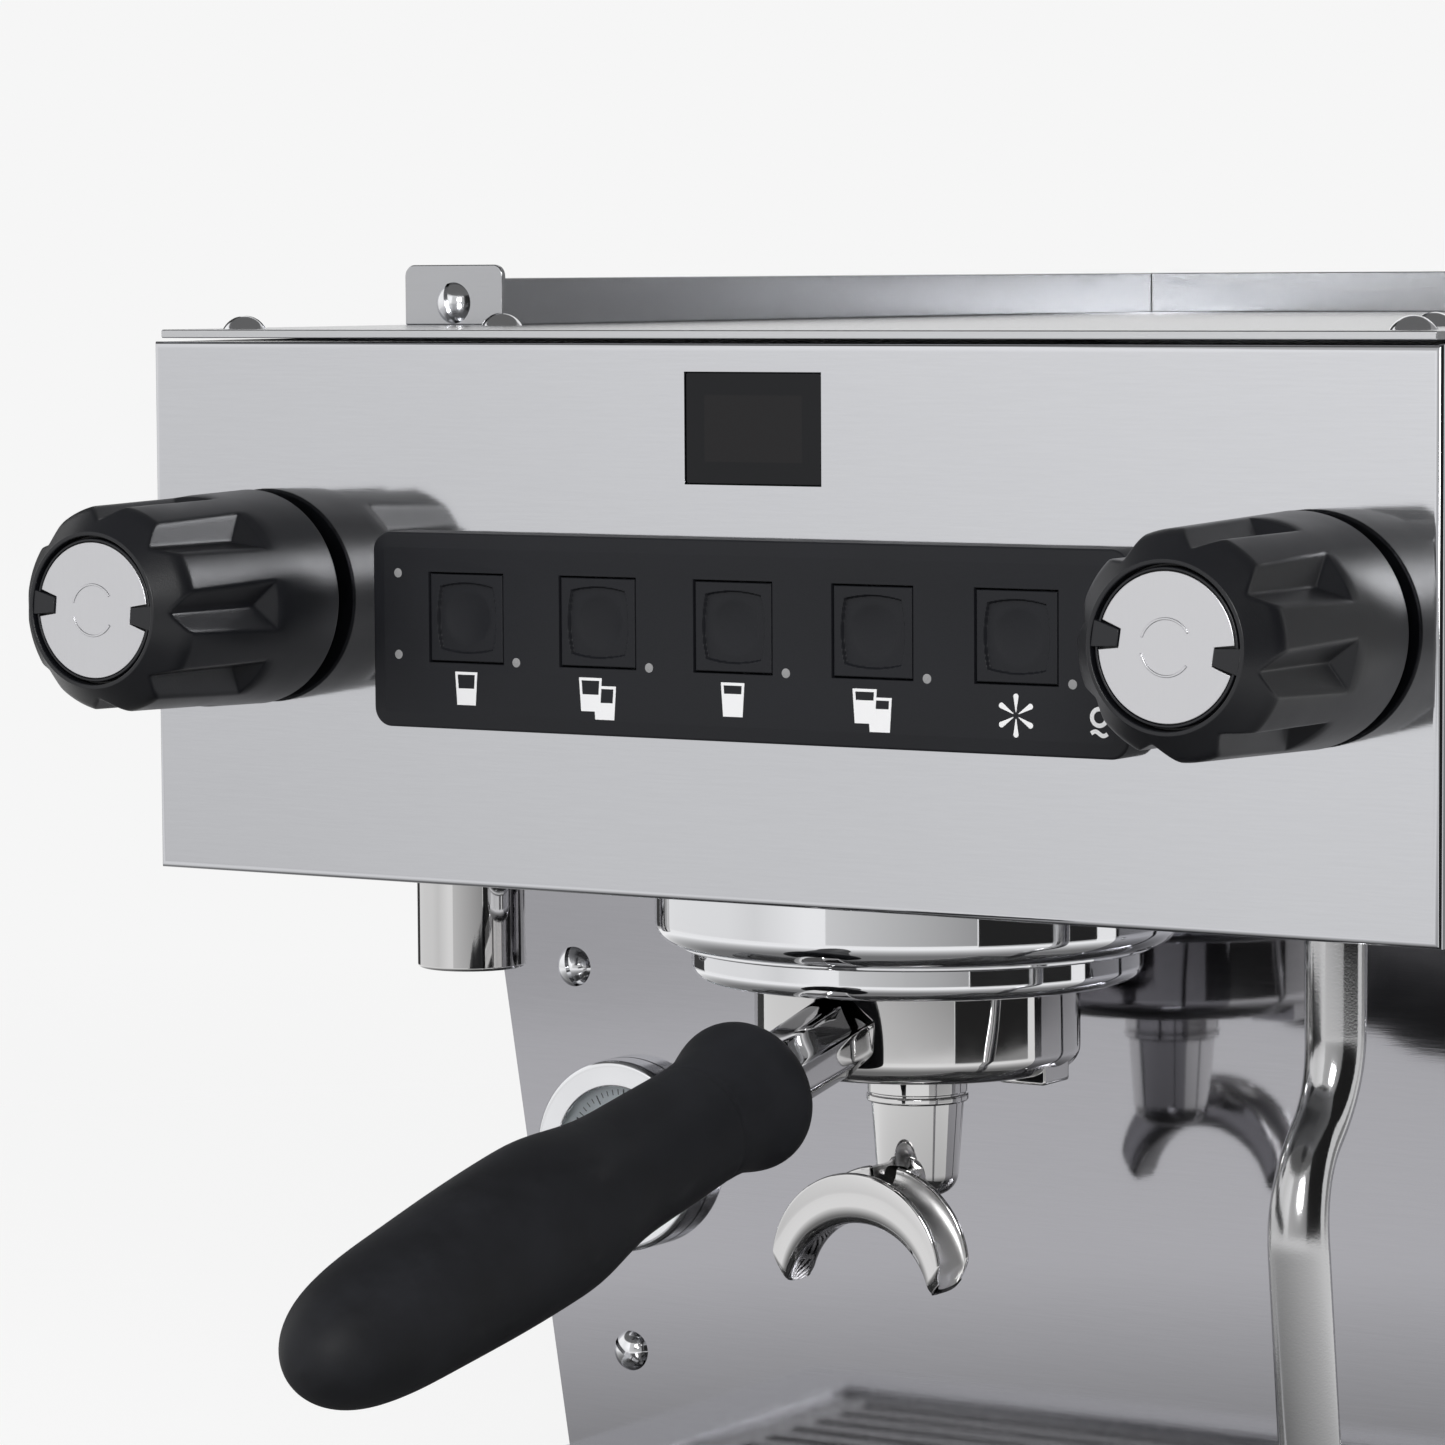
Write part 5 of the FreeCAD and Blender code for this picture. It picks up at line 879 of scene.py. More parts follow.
def slotted_dome(radius, dome, slot=0.55 * MM, depth=0.8 * MM, steps=18):
    """A ball's cap of a given height, cut by a slot along y.

    Each half is a fan over radius and angle whose points are kept outside the slot, x >= slot; the
    height is the ball's, z = sqrt(ball^2 - x^2 - y^2) less the part of the ball below the seat.
    """
    ball = (radius ** 2 + dome ** 2) / (2 * dome)

    def height(x, y):
        return np.maximum(np.sqrt(ball ** 2 - x ** 2 - y ** 2) - (ball - dome), 0)

    angle = np.linspace(-math.pi / 2, math.pi / 2, 2 * steps + 1)[None]
    reach = radius * np.sin(np.linspace(0, math.pi / 2, steps))[:, None]
    x = np.maximum(reach * np.cos(angle), slot)
    y = np.minimum(np.abs(reach * np.sin(angle)), math.sqrt(radius ** 2 - slot ** 2)) * np.sign(np.sin(angle))
    half = grid(np.stack([x, y, height(x, y)], axis=-1))
    along = np.linspace(-1, 1, 2 * steps + 1) * math.sqrt(radius ** 2 - slot ** 2)
    edge = height(np.full_like(along, slot), along)
    floor = np.maximum(edge - depth, 0)
    cut = grid(np.stack([np.column_stack([np.full_like(along, x), along, z])
                         for x, z in ((-slot, edge), (-slot, floor), (slot, floor), (slot, edge))]))
    return join(half, turn(half, math.pi), cut)


def solids(node):
    """Boxes of a node's separate solids, from the rear to the front, then upwards, then to the right."""
    work = bmesh.new()
    work.from_mesh(frame["nodes"][node].data)
    bmesh.ops.remove_doubles(work, verts=work.verts, dist=WELD)
    left = set(work.verts)
    boxes = []
    while left:
        group = set()
        edge = [left.pop()]
        while edge:
            vert = edge.pop()
            group.add(vert)
            near = {e.other_vert(vert) for e in vert.link_edges} & left
            left -= near
            edge += near
        places = np.array([vert.co for vert in group])
        boxes.append((places.min(axis=0), places.max(axis=0)))
    work.free()

    def order(corners):
        x, y, z = np.round((corners[0] + corners[1]) / 2, 4)
        return -y, z, x

    return sorted(boxes, key=order)


class MACHINE_OT_screws(Operator):
    """Slotted dome screws of the lid, the cup rail and the backsplash"""

    bl_idname = "machine.screws"
    bl_label = "Screws"

    def execute(self, context):
        metal = context.scene.machine_metal
        steel = polished("screw_steel", metal.chrome, 0.1)
        for node in ("lid_screws", "backsplash_screws"):
            heads = []
            for n, (low, high) in enumerate(solids(node)):
                size = high - low
                along = FORWARD if size[1] < size[2] else UP
                thin = size @ np.abs(along)
                radius = (size.sum() - thin) / 4
                seat = (low + high) / 2 - along * thin / 2
                head = turn(slotted_dome(radius, thin), SLOT_TURN + SLOT_STEP * (n // 2))
                heads.append((placed(head, seat, along), steel))
            stand_in(node + "_domes", heads, node)
        return {"FINISHED"}


class MACHINE_OT_keypad(Operator):
    """Keypad plate, its dished keys, indicator dots and printed signs"""

    bl_idname = "machine.keypad"
    bl_label = "Keypad"

    def execute(self, context):
        form, black = settings(context, "keypad", "black")
        plastic = moulded("keypad_plastic", black.keypad, black.keypad_roughness, black.gloss, pit=0.25 * MM)
        self.plate(form, plastic)
        for number in KEYS:
            self.key(form, plastic, f"button_{number}")
        lamp = plain("lamp_plastic", black.lamp, 0.25)
        dots = []
        face = box("keypad_plate")[0][1]
        angle = np.linspace(0, math.pi / 2, 6)
        dome = form.dot * np.column_stack([np.cos(angle), form.dot_rise * (np.sin(angle) - 1)])
        for low, high in solids("indicator_leds"):
            profile = np.concatenate([[(form.dot, low[1] - high[1])], dome])
            centre = ((low[0] + high[0]) / 2, face - form.sign_thickness, (low[2] + high[2]) / 2)
            dots.append((placed(lathe(profile, 32), centre, FORWARD), lamp))
        stand_in("indicator_dots", dots, "indicator_leds")
        self.signs(form, black)
        return {"FINISHED"}

    def plate(self, form, plastic):
        """Rounded plate whose face slopes at its border, with a square hole for each key.

        Each row of the border is the outline moved in, at a height on the slope's rounded profile.
        """
        low, high = box("keypad_plate")
        low -= (form.more, 0, form.below)
        centre = (low + high) / 2
        half = (high - low) / 2
        thick = 2 * half[1]
        outline = rectangle(half[[0, 2]], form.corner, steps=10)
        profile = rounded([(0, 0, 0), (0, thick - form.band_drop, 2 * form.edge),
                           (form.band, thick, 4 * form.edge), (form.band + 2 * form.edge, thick, 0)], steps=5)
        rows = [lifted(inset(outline, move), height) for move, height in profile]
        sides = grid(np.stack(rows), wrap=True)
        holes, walls = [], []
        for number in KEYS:
            key_low, key_high = box(f"button_{number}")
            at = ((key_low + key_high) / 2 - centre)[[0, 2]]
            hole = (key_high[0] - key_low[0]) / 2
            soft = 0.8 * form.edge
            sizes = np.array((hole + soft, hole + 0.3 * soft, hole, hole))
            heights = np.array((thick, thick - 0.3 * soft, thick - soft, 0))
            loops = [lifted(SQUARE * size + at, height) for size, height in zip(sizes, heights)]
            walls.append(grid(np.stack(loops), wrap=True))
            holes.append((loops[0][:, :2], loops[-1][:, :2]))
        front = pierced(rows[-1][:, :2], [first for first, last in holes], thick)
        back = pierced(rows[0][:, :2], [last for first, last in holes], 0)
        whole = placed(join(sides, front, back, *walls), (centre[0], high[1], centre[2]), FORWARD)
        stand_in("keypad_face", [(whole, plastic)], "keypad_plate")

    def key(self, form, plastic, node):
        """Height over the key's square: a bow-sided sunk field with a round dish in it.

        The field is where four large circles overlap; it falls with the distance inside them.
        """
        low, high = box(node)
        half = (high[0] - low[0]) / 2 - form.gap
        face = high[1] - box("keypad_plate")[0][1] - form.recess
        border = np.array((0, 0.15, 0.4, 0.7, 1.0)) * form.edge
        inner = half - 1.6 * form.edge
        line = np.concatenate([border - half, np.linspace(-inner, inner, 90), (half - border)[::-1]])
        x, y = np.meshgrid(line, line, indexing="ij")
        side = form.field / 2
        bow = (side ** 2 + form.bulge ** 2) / (2 * form.bulge)
        shift = bow - side - form.bulge
        inside = np.min([bow - np.hypot(x + a * shift, y + b * shift)
                         for a, b in ((1, 0), (-1, 0), (0, 1), (0, -1))], axis=0)
        height = -form.sink * ramp(inside / form.slope)
        dish = 1 - (np.hypot(x, y) / (form.dish / 2)) ** 2
        height -= form.dish_depth * smooth_high(dish, 0 * dish, 0.2)
        rim = np.minimum(half - np.abs(x), half - np.abs(y))
        height -= form.edge * (1 - np.sqrt(1 - (1 - np.clip(rim / form.edge, 0, 1)) ** 2))
        top = grid(np.stack([x, y, face + height], axis=-1))
        rows = [lifted(SQUARE * half, z) for z in (0, face - form.edge)]
        walls, blocks = grid(np.stack(rows), wrap=True)
        rear = np.array([[3, 2, 1, 0]])
        centre = (low + high) / 2
        body = join(top, (walls, blocks + [rear]))
        origin = (centre[0], high[1], centre[2])
        stand_in(node + "_cap", [(placed(body, origin, FORWARD), plastic)], node)

    def signs(self, form, black):
        """White cups, star and ring-and-wave under the keys."""
        white = plain("sign_print", black.print, 0.5)
        plate = box("keypad_plate")[0]
        tall = form.sign_height
        line = 0.085 * tall
        shift = np.array((0.5, -0.235)) * tall

        def across(z):
            return 0.405 * tall * (0.915 + 0.17 * z / tall)

        def slice_of(z0, z1, left0, left1):
            return np.array(((left0, z0), (across(z0), z0), (across(z1), z1), (left1, z1)))

        def wall(z0, z1):
            return slice_of(z0, z1, across(z0) - line, across(z1) - line)

        def cup(level, at, behind=False):
            low, fill, rim, high = -tall / 2, tall * (level - 0.5), tall / 2 - line, tall / 2
            shapes = [slice_of(low, fill, -across(low), -across(fill)), wall(fill, rim)]
            if behind:
                edge = [across(z + shift[1]) - shift[0] for z in (rim, high)]
                shapes.append(slice_of(rim, high, *edge))
            else:
                shapes.append(slice_of(rim, high, -across(rim), -across(high)))
                shapes.append((wall(fill, rim) * (-1, 1))[::-1])
            return [(shape + at, form.sign_thickness * (0.7 if behind else 1)) for shape in shapes]

        def pair(level):
            return cup(level, -shift / 2) + cup(level, shift / 2, behind=True)

        def star():
            bulb = arc_points(0.085, -0.15 * math.pi, 1.15 * math.pi, 12, (0, 0.54))
            petal = tall * np.concatenate([bulb, [(-0.012, 0.1), (0.012, 0.1)]])
            shapes = []
            for angle in np.arange(6) * math.pi / 3:
                c, s = math.cos(angle), math.sin(angle)
                shapes.append((petal @ np.array(((c, s), (-s, c))), form.sign_thickness))
            return shapes

        def band(path, wide):
            side = np.gradient(path, axis=0)
            side = np.column_stack([-side[:, 1], side[:, 0]]) / np.linalg.norm(side, axis=1, keepdims=True)
            outline = np.concatenate([path - side * wide / 2, (path + side * wide / 2)[::-1]])
            return outline, form.sign_thickness

        def ring_and_wave():
            x = np.linspace(-0.26, 0.26, 16) * tall
            wave = np.column_stack([x, -0.46 * tall - 0.06 * tall * np.sin(x / (0.26 * tall) * math.pi)])
            rings = [band(arc_points(0.235 * tall, a, a + math.pi, 24), 0.125 * tall) for a in (0, math.pi)]
            return rings + [band(wave, 0.12 * tall)]

        drawings = [cup(0.5, np.zeros(2)), pair(0.5), cup(0.67, np.zeros(2)), pair(0.67), star()]
        places = [middle(f"button_{number}") for number in KEYS]
        drawings.append(ring_and_wave())
        places.append(places[-1] + (form.ring_aside, 0, 0))
        lower = (0, form.pair_drop, 0, form.pair_drop, form.star_drop, form.ring_drop)
        parts = []
        for centre, shapes, more in zip(places, drawings, lower):
            origin = (centre[0], plate[1], centre[2] - form.sign_drop - more)
            for outline, thick in shapes:
                parts.append((placed(slab(outline, 0, thick, thick / 4, 1), origin, FORWARD), white))
        signs = show("keypad_signs", parts, "keypad_plate")


class MACHINE_OT_knobs(Operator):
    """Fluted valve knobs with inset aluminium caps"""

    bl_idname = "machine.knobs"
    bl_label = "Knobs"

    def execute(self, context):
        form, black, metal = settings(context, "knob", "black", "metal")
        plastic = moulded("knob_plastic", black.knob, black.knob_roughness, black.knob_gloss)
        satin = self.satin(metal)
        panel = box("front_panel")[0][1]
        for name in KNOBS:
            tilt, cap_tilt = getattr(form, name + "_tilt"), getattr(form, name + "_cap_tilt")
            low, high = box(name + "_knob")
            centre = (low + high) / 2
            origin = (centre[0], panel, centre[2])
            back, rim = panel - high[1], panel - low[1]
            rim = min(rim, back + form.reach)
            tabs = join(*self.tabs(form, rim))
            grip = join(turn(self.grip(form, back, rim), tilt), turn(tabs, cap_tilt))
            stand_in(name + "_knob_grip", [(placed(grip, origin, FORWARD), plastic)], name + "_knob")
            cap = placed(turn(self.cap(form, rim), cap_tilt), origin, FORWARD)
            stand_in(name + "_knob_disc", [(cap, satin)], name + "_knob_cap")
            paint(name + "_valve_stem", plain(name + "_stem_brass", BRASS, 0.3, 1.0))
        return {"FINISHED"}

    def satin(self, metal):
        """Satin aluminium with fine lines."""
        return brushed("cap_aluminium", metal.cap, metal.cap_roughness, 0.12 * MM, (1, 1, 0), 0.003 * MM, 0.0)

    def grip(self, form, back, rim):
        """Radius over angle and distance: the lower of a bevelled cylinder and V-shaped grooves.

        A groove's walls are planes through its valley, r = v / (cos a - k |sin a|), and a third plane
        slopes up to the surface at its rear end; the meeting edges are blended.
        """
        per_flute = 44
        angle = np.linspace(0, 2 * math.pi, per_flute * form.flutes, endpoint=False)[None]
        bevel = rim - form.bevel
        start, run = form.flute_start, form.flute_run
        soft = form.soft
        along = np.unique(np.concatenate([
            np.linspace(back + soft, start - soft, 8), np.linspace(start - soft, start + 1.4 * run, 22),
            np.linspace(start + 1.4 * run, bevel - 1.6 * form.bevel_soft, 8),
            np.linspace(bevel - 1.6 * form.bevel_soft, rim - soft, 26)]))
        along = along[:, None]
        slope = (form.radius - form.rim) / form.bevel
        wide = form.radius + form.taper * (bevel - along) / (bevel - back)
        envelope = smooth_low(wide, form.radius - slope * (along - bevel), form.bevel_soft)
        local = (angle + math.pi / form.flutes) % (2 * math.pi / form.flutes) - math.pi / form.flutes
        steep = 2 * form.flute_depth / form.flute_width
        valley = form.radius - form.flute_depth
        wall = valley / np.maximum(np.cos(local) - steep * np.abs(np.sin(local)), 0.2)
        wall = smooth_high(wall, np.full_like(wall, valley + 0.25 * soft), 0.5 * soft)
        end = (form.radius - (along - start) * form.flute_depth / run) / np.cos(local)
        groove = smooth_high(np.broadcast_to(wall, end.shape), end, 0.4 * soft)
        radius = smooth_low(np.broadcast_to(envelope, groove.shape), groove, soft)
        sides = radius.shape[1]
        inner = form.boss + form.moat
        deep = rim - form.moat_depth
        boss = rim - form.boss_sink
        seat = form.cap + 0.15 * MM
        bed = boss - form.cap_thickness
        front = rounded([(form.rim + slope * soft, rim - soft, 0), (form.rim, rim, 0.5 * soft),
                         (inner, rim, 0.5 * soft), (inner, deep, 0.3 * soft), (form.boss, deep, 0.3 * soft),
                         (form.boss, boss, 0.5 * soft), (seat, boss, 0.3 * soft),
                         (seat, bed, 0), (0, bed, 0)], steps=4)[1:]
        outer = form.radius + form.taper
        rear = rounded([(0.25 * outer, back, 0), (outer, back, soft),
                        (outer, back + 2 * soft, 0)], steps=5)[:-2]
        radius = np.concatenate([np.broadcast_to(rear[:, :1], (len(rear), sides)), radius,
                                 np.broadcast_to(front[:, :1], (len(front), sides))])
        height = np.concatenate([rear[:, 1:], along, front[:, 1:]])
        height = np.broadcast_to(height, radius.shape)
        return grid(np.stack([radius * np.cos(angle), radius * np.sin(angle), height], axis=-1), wrap=True)

    def tabs(self, form, rim):
        """Two wedges that reach from the rim over the cap's edge into its notches."""
        boss = rim - form.boss_sink
        gap = 0.15 * MM
        near, far = form.cap - form.notch_depth + gap, form.boss + form.moat
        mouth, end = form.notch_mouth / 2 - gap, form.notch_end / 2 - gap
        shape = np.array(((near, -end), (far, -mouth), (far, mouth), (near, end)))
        top = boss + form.tab_raise
        return [turn(slab(shape, boss - form.cap_thickness, top, form.cap_edge), a) for a in (0, math.pi)]

    def cap(self, form, rim):
        """Disc with two notches, and two thin raised arcs at its middle."""
        top = rim - form.boss_sink
        bite = math.asin(form.notch_mouth / 2 / form.cap)
        near, end = form.cap - form.notch_depth, form.notch_end / 2
        outline = np.concatenate([
            arc_points(form.cap, bite, math.pi - bite, 64), [(-near, end), (-near, -end)],
            arc_points(form.cap, math.pi + bite, 2 * math.pi - bite, 64), [(near, -end), (near, end)]])
        disc = slab(outline, top - form.cap_thickness, top, form.cap_edge)
        marks = []
        for start in (0.22 * math.pi, 1.12 * math.pi):
            outer = arc_points(form.mark + form.mark_width / 2, start, start + 0.72 * math.pi, 28)
            inner = arc_points(form.mark - form.mark_width / 2, start + 0.72 * math.pi, start, 28)
            marks.append(slab(np.concatenate([outer, inner]), top - 0.1 * MM, top + 0.2 * MM, 0.18 * MM))
        return join(disc, *marks)


class MACHINE_OT_group(Operator):
    """Chrome group bell and the head that locks the portafilter"""

    bl_idname = "machine.group"
    bl_label = "Group"

    def execute(self, context):
        form, metal = settings(context, "group", "metal")
        chrome = polished("group_chrome", metal.chrome, metal.chrome_roughness)
        low, high = box("group_bell")
        centre = (low + high) / 2
        axis = (centre[0], centre[1], 0)
        radius = (high[0] - low[0]) / 2
        inner = (box("group_head")[1][0] - box("group_head")[0][0]) / 2
        low[2] -= form.bell_sink
        bead = low[2] + form.bell_bead
        lip = radius - form.bell_round - 0.5 * MM
        bell = rounded([(inner, high[2], 0), (radius, high[2], 0.5 * MM), (radius, bead, form.bell_round),
                        (lip, bead, 0.2 * MM), (lip - 0.1 * MM, low[2], 0.45 * MM),
                        (inner + 0.3 * MM, low[2], 0.3 * MM), (inner, low[2] + 1.2 * MM, 0)], steps=10)
        stand_in("group_bell_ring", [(placed(lathe(ring(bell)), axis), chrome)], "group_bell")
        self.head(form, chrome, axis)
        for node, material in (("group_gasket", moulded("gasket_rubber", (0.012, 0.012, 0.012), 0.6)),
                               ("shower_screen", polished("screen_steel", metal.body, 0.25))):
            paint(node, material)
        return {"FINISHED"}

    def head(self, form, chrome, axis):
        """Turned ring with a socket; at two gates its ledge is cut back to the socket's radius."""
        low, high = box("group_head")
        radius = (high[0] - low[0]) / 2
        ledge = low[2] + form.lip
        ceiling = ledge + form.socket_height
        outer = rounded([(0, high[2], 0), (radius, high[2], 0.5 * MM), (radius, low[2], form.head_round),
                         (form.mouth + 1.2 * MM, low[2], 0)], steps=10)
        edge = 0.5 * MM
        lip = np.array(((form.mouth + edge, low[2]), (form.mouth, low[2] + edge), (form.mouth, ledge)))
        inside = np.array(((form.socket, ledge), (form.socket, ceiling), (0, ceiling)))
        profile = np.concatenate([outer, lip, inside])
        gates = np.concatenate([form.gate_turn + side + np.array((-1, -1, 1, 1)) * form.gate / 2
                                + np.array((-1, 1, -1, 1)) * 1e-4 for side in (0, math.pi)])
        whole = 2 * math.pi
        angle = np.sort(np.concatenate([np.linspace(0, whole, SIDES, endpoint=False), gates % whole]))
        away = np.abs((angle - form.gate_turn + math.pi / 2) % math.pi - math.pi / 2)
        gated = away < form.gate / 2
        reach = np.repeat(profile[:, :1], len(angle), axis=1)
        rows = slice(len(outer) - 1, len(outer) + len(lip))
        reach[rows, gated] = np.maximum(reach[rows, gated], form.socket)
        height = np.broadcast_to(profile[:, 1:], reach.shape)
        points = np.stack([reach * np.cos(angle), reach * np.sin(angle), height], axis=-1)
        stand_in("group_head_ring", [(placed(grid(points, wrap=True), axis), chrome)], "group_head")


class MACHINE_OT_portafilter(Operator):
    """Portafilter cup with its lugs and arm, and the soft black grip"""

    bl_idname = "machine.portafilter"
    bl_label = "Portafilter"

    def execute(self, context):
        form, handle, metal, black = settings(context, "group", "handle", "metal", "black")
        chrome = polished("portafilter_chrome", metal.plate, metal.chrome_roughness)
        head = box("front_panel")[0][2]
        axis = np.array((*middle("group_bell")[:2], 0))
        low = box("spout")[1][2]
        top = low + form.cup_depth
        bore = form.cup - form.cup_wall
        profile = rounded([(form.drain, low, 0), (form.cup, low, form.cup_round), (form.cup, top, 0.6 * MM),
                           (bore, top, 0.4 * MM), (bore, low + form.cup_floor, 2 * MM),
                           (form.drain, low + form.cup_floor, 0)], steps=10)
        parts = [placed(lathe(ring(profile)), axis)]
        parts += [placed(self.lug(form, low + form.lug_level, side), axis) for side in (0, math.pi)]
        parts.append(self.rest(form, low, axis))
        slope = handle.drop
        along = np.array((0, -math.cos(slope), -math.sin(slope)))
        origin = axis + (0, 0, head - handle.axis_depth)
        parts.append(placed(self.arm(form, handle), origin, along))
        stand_in("portafilter_cup", [(part, chrome) for part in parts], "portafilter_body")
        paint("filter_basket", polished("basket_steel", metal.body, 0.2))
        rubber = self.rubber(black)
        grip = placed(self.grip(), origin + along * handle.start, along)
        stand_in("grip_rubber", [(grip, rubber)], "handle_grip")
        return {"FINISHED"}

    def rubber(self, black):
        """Soft matt rubber with faint dust."""
        shader = Shader("grip_rubber", base_color=black.grip, roughness=black.grip_roughness,
                        specular_ior_level=black.gloss)
        dust = shader.noise((55, 55, 55), detail=8.0, rough=0.65)
        pale = tuple(1.9 * value for value in black.grip)
        shader.feed("Base Color", shader.mix(shader.spread(dust, 0, 1, 0.4, 0.75), black.grip, pale))
        shader.feed("Roughness", shader.spread(dust, black.grip_roughness * 0.9, black.grip_roughness * 1.15))
        shader.bump(shader.noise([2600] * 3, detail=2.0), 0.015 * MM)
        return shader.material

    def lug(self, form, low, side):
        """Slice of a ring that locks under the head's ledge."""
        angle = side + np.linspace(-0.5, 0.5, 17) * form.lug_angle
        inner, outer = form.cup - 1 * MM, form.lug
        high = low + form.lug_thickness
        corners = [lifted(radius * np.column_stack([np.cos(angle), np.sin(angle)]), height)
                   for radius, height in ((inner, low), (outer, low), (outer, high), (inner, high))]
        return capped(np.stack(corners, axis=1))

    def rest(self, form, low, axis):
        """Small lug under the right of the cup, on which the portafilter stands when it is laid down."""
        near, far = form.rest_reach - form.rest_length, form.rest_reach
        under, top = -form.rest_below, form.rest_height - form.rest_below
        outline = rounded([(near, under, 1.2 * MM), (far, under, 0.8 * MM), (far, top, 0),
                           (near - 1.5 * MM, top, 0)], closed=True)
        half = form.rest_width / 2
        return placed(slab(outline, -half, half, 0.5 * MM), axis + (0, 0, low), FORWARD)

    def arm(self, form, handle):
        """Eight-sided bar with rounded edges from the cup to the grip.

        At the angle a its radius is the inverse of the p-norm of cos(a - k 45 degrees) over its four pairs of
        sides, stretched in width and height; p falls towards the grip, and the bar widens into the cup.
        """
        t = np.linspace(0, 1, 40)[:, None]
        angle = np.linspace(0, 2 * math.pi, 160, endpoint=False)[None]
        start = form.cup - form.cup_wall / 2
        along = start + (handle.start - start) * t
        flare = 1 + 0.06 * (1 - ramp((along - start) / handle.arm_flare)) ** 2
        wide = (handle.arm_width / 2 * (1 - t) + handle.arm_end * t) * flare
        tall = (handle.arm_height / 2 * (1 - t) + handle.arm_end * t) * flare
        power = 34 - 18 * t
        sides = np.stack([np.abs(np.cos(angle - side * math.pi / 4)) ** power for side in range(4)])
        radius = sides.sum(axis=0) ** (-1 / power)
        x = wide * radius * np.cos(angle)
        y = tall * radius * np.sin(angle) + handle.arm_lift * (1 - t)
        return grid(np.stack([x, y, np.broadcast_to(along, x.shape)], axis=-1), wrap=True)

    def grip(self):
        """Smooth curve through radii along the axis, turned about it, with a fine moulding seam round it."""
        rim = ((0, 0), (7.4, 0), (12.4, 0.35), (14.6, 2.2), (15.4, 4.9), (14.9, 8.2), (13.5, 13))
        neck = ((12.7, 19), (12.65, 30), (12.9, 45), (13.4, 57), (14.7, 66.6))
        swell = ((15.85, 75), (16.05, 83), (15.7, 100), (14.75, 120), (13.2, 138))
        tip = ((10.8, 147), (7.8, 152), (4.2, 154.9), (0, 156))
        line = spline(np.array(rim + neck + swell + tip) * MM, 240)
        seam, seam_depth, seam_width = 24 * MM, 0.22 * MM, 0.55 * MM
        line[:, 0] -= seam_depth * np.exp(-((line[:, 1] - seam) / seam_width) ** 2)
        return lathe(line, 96)


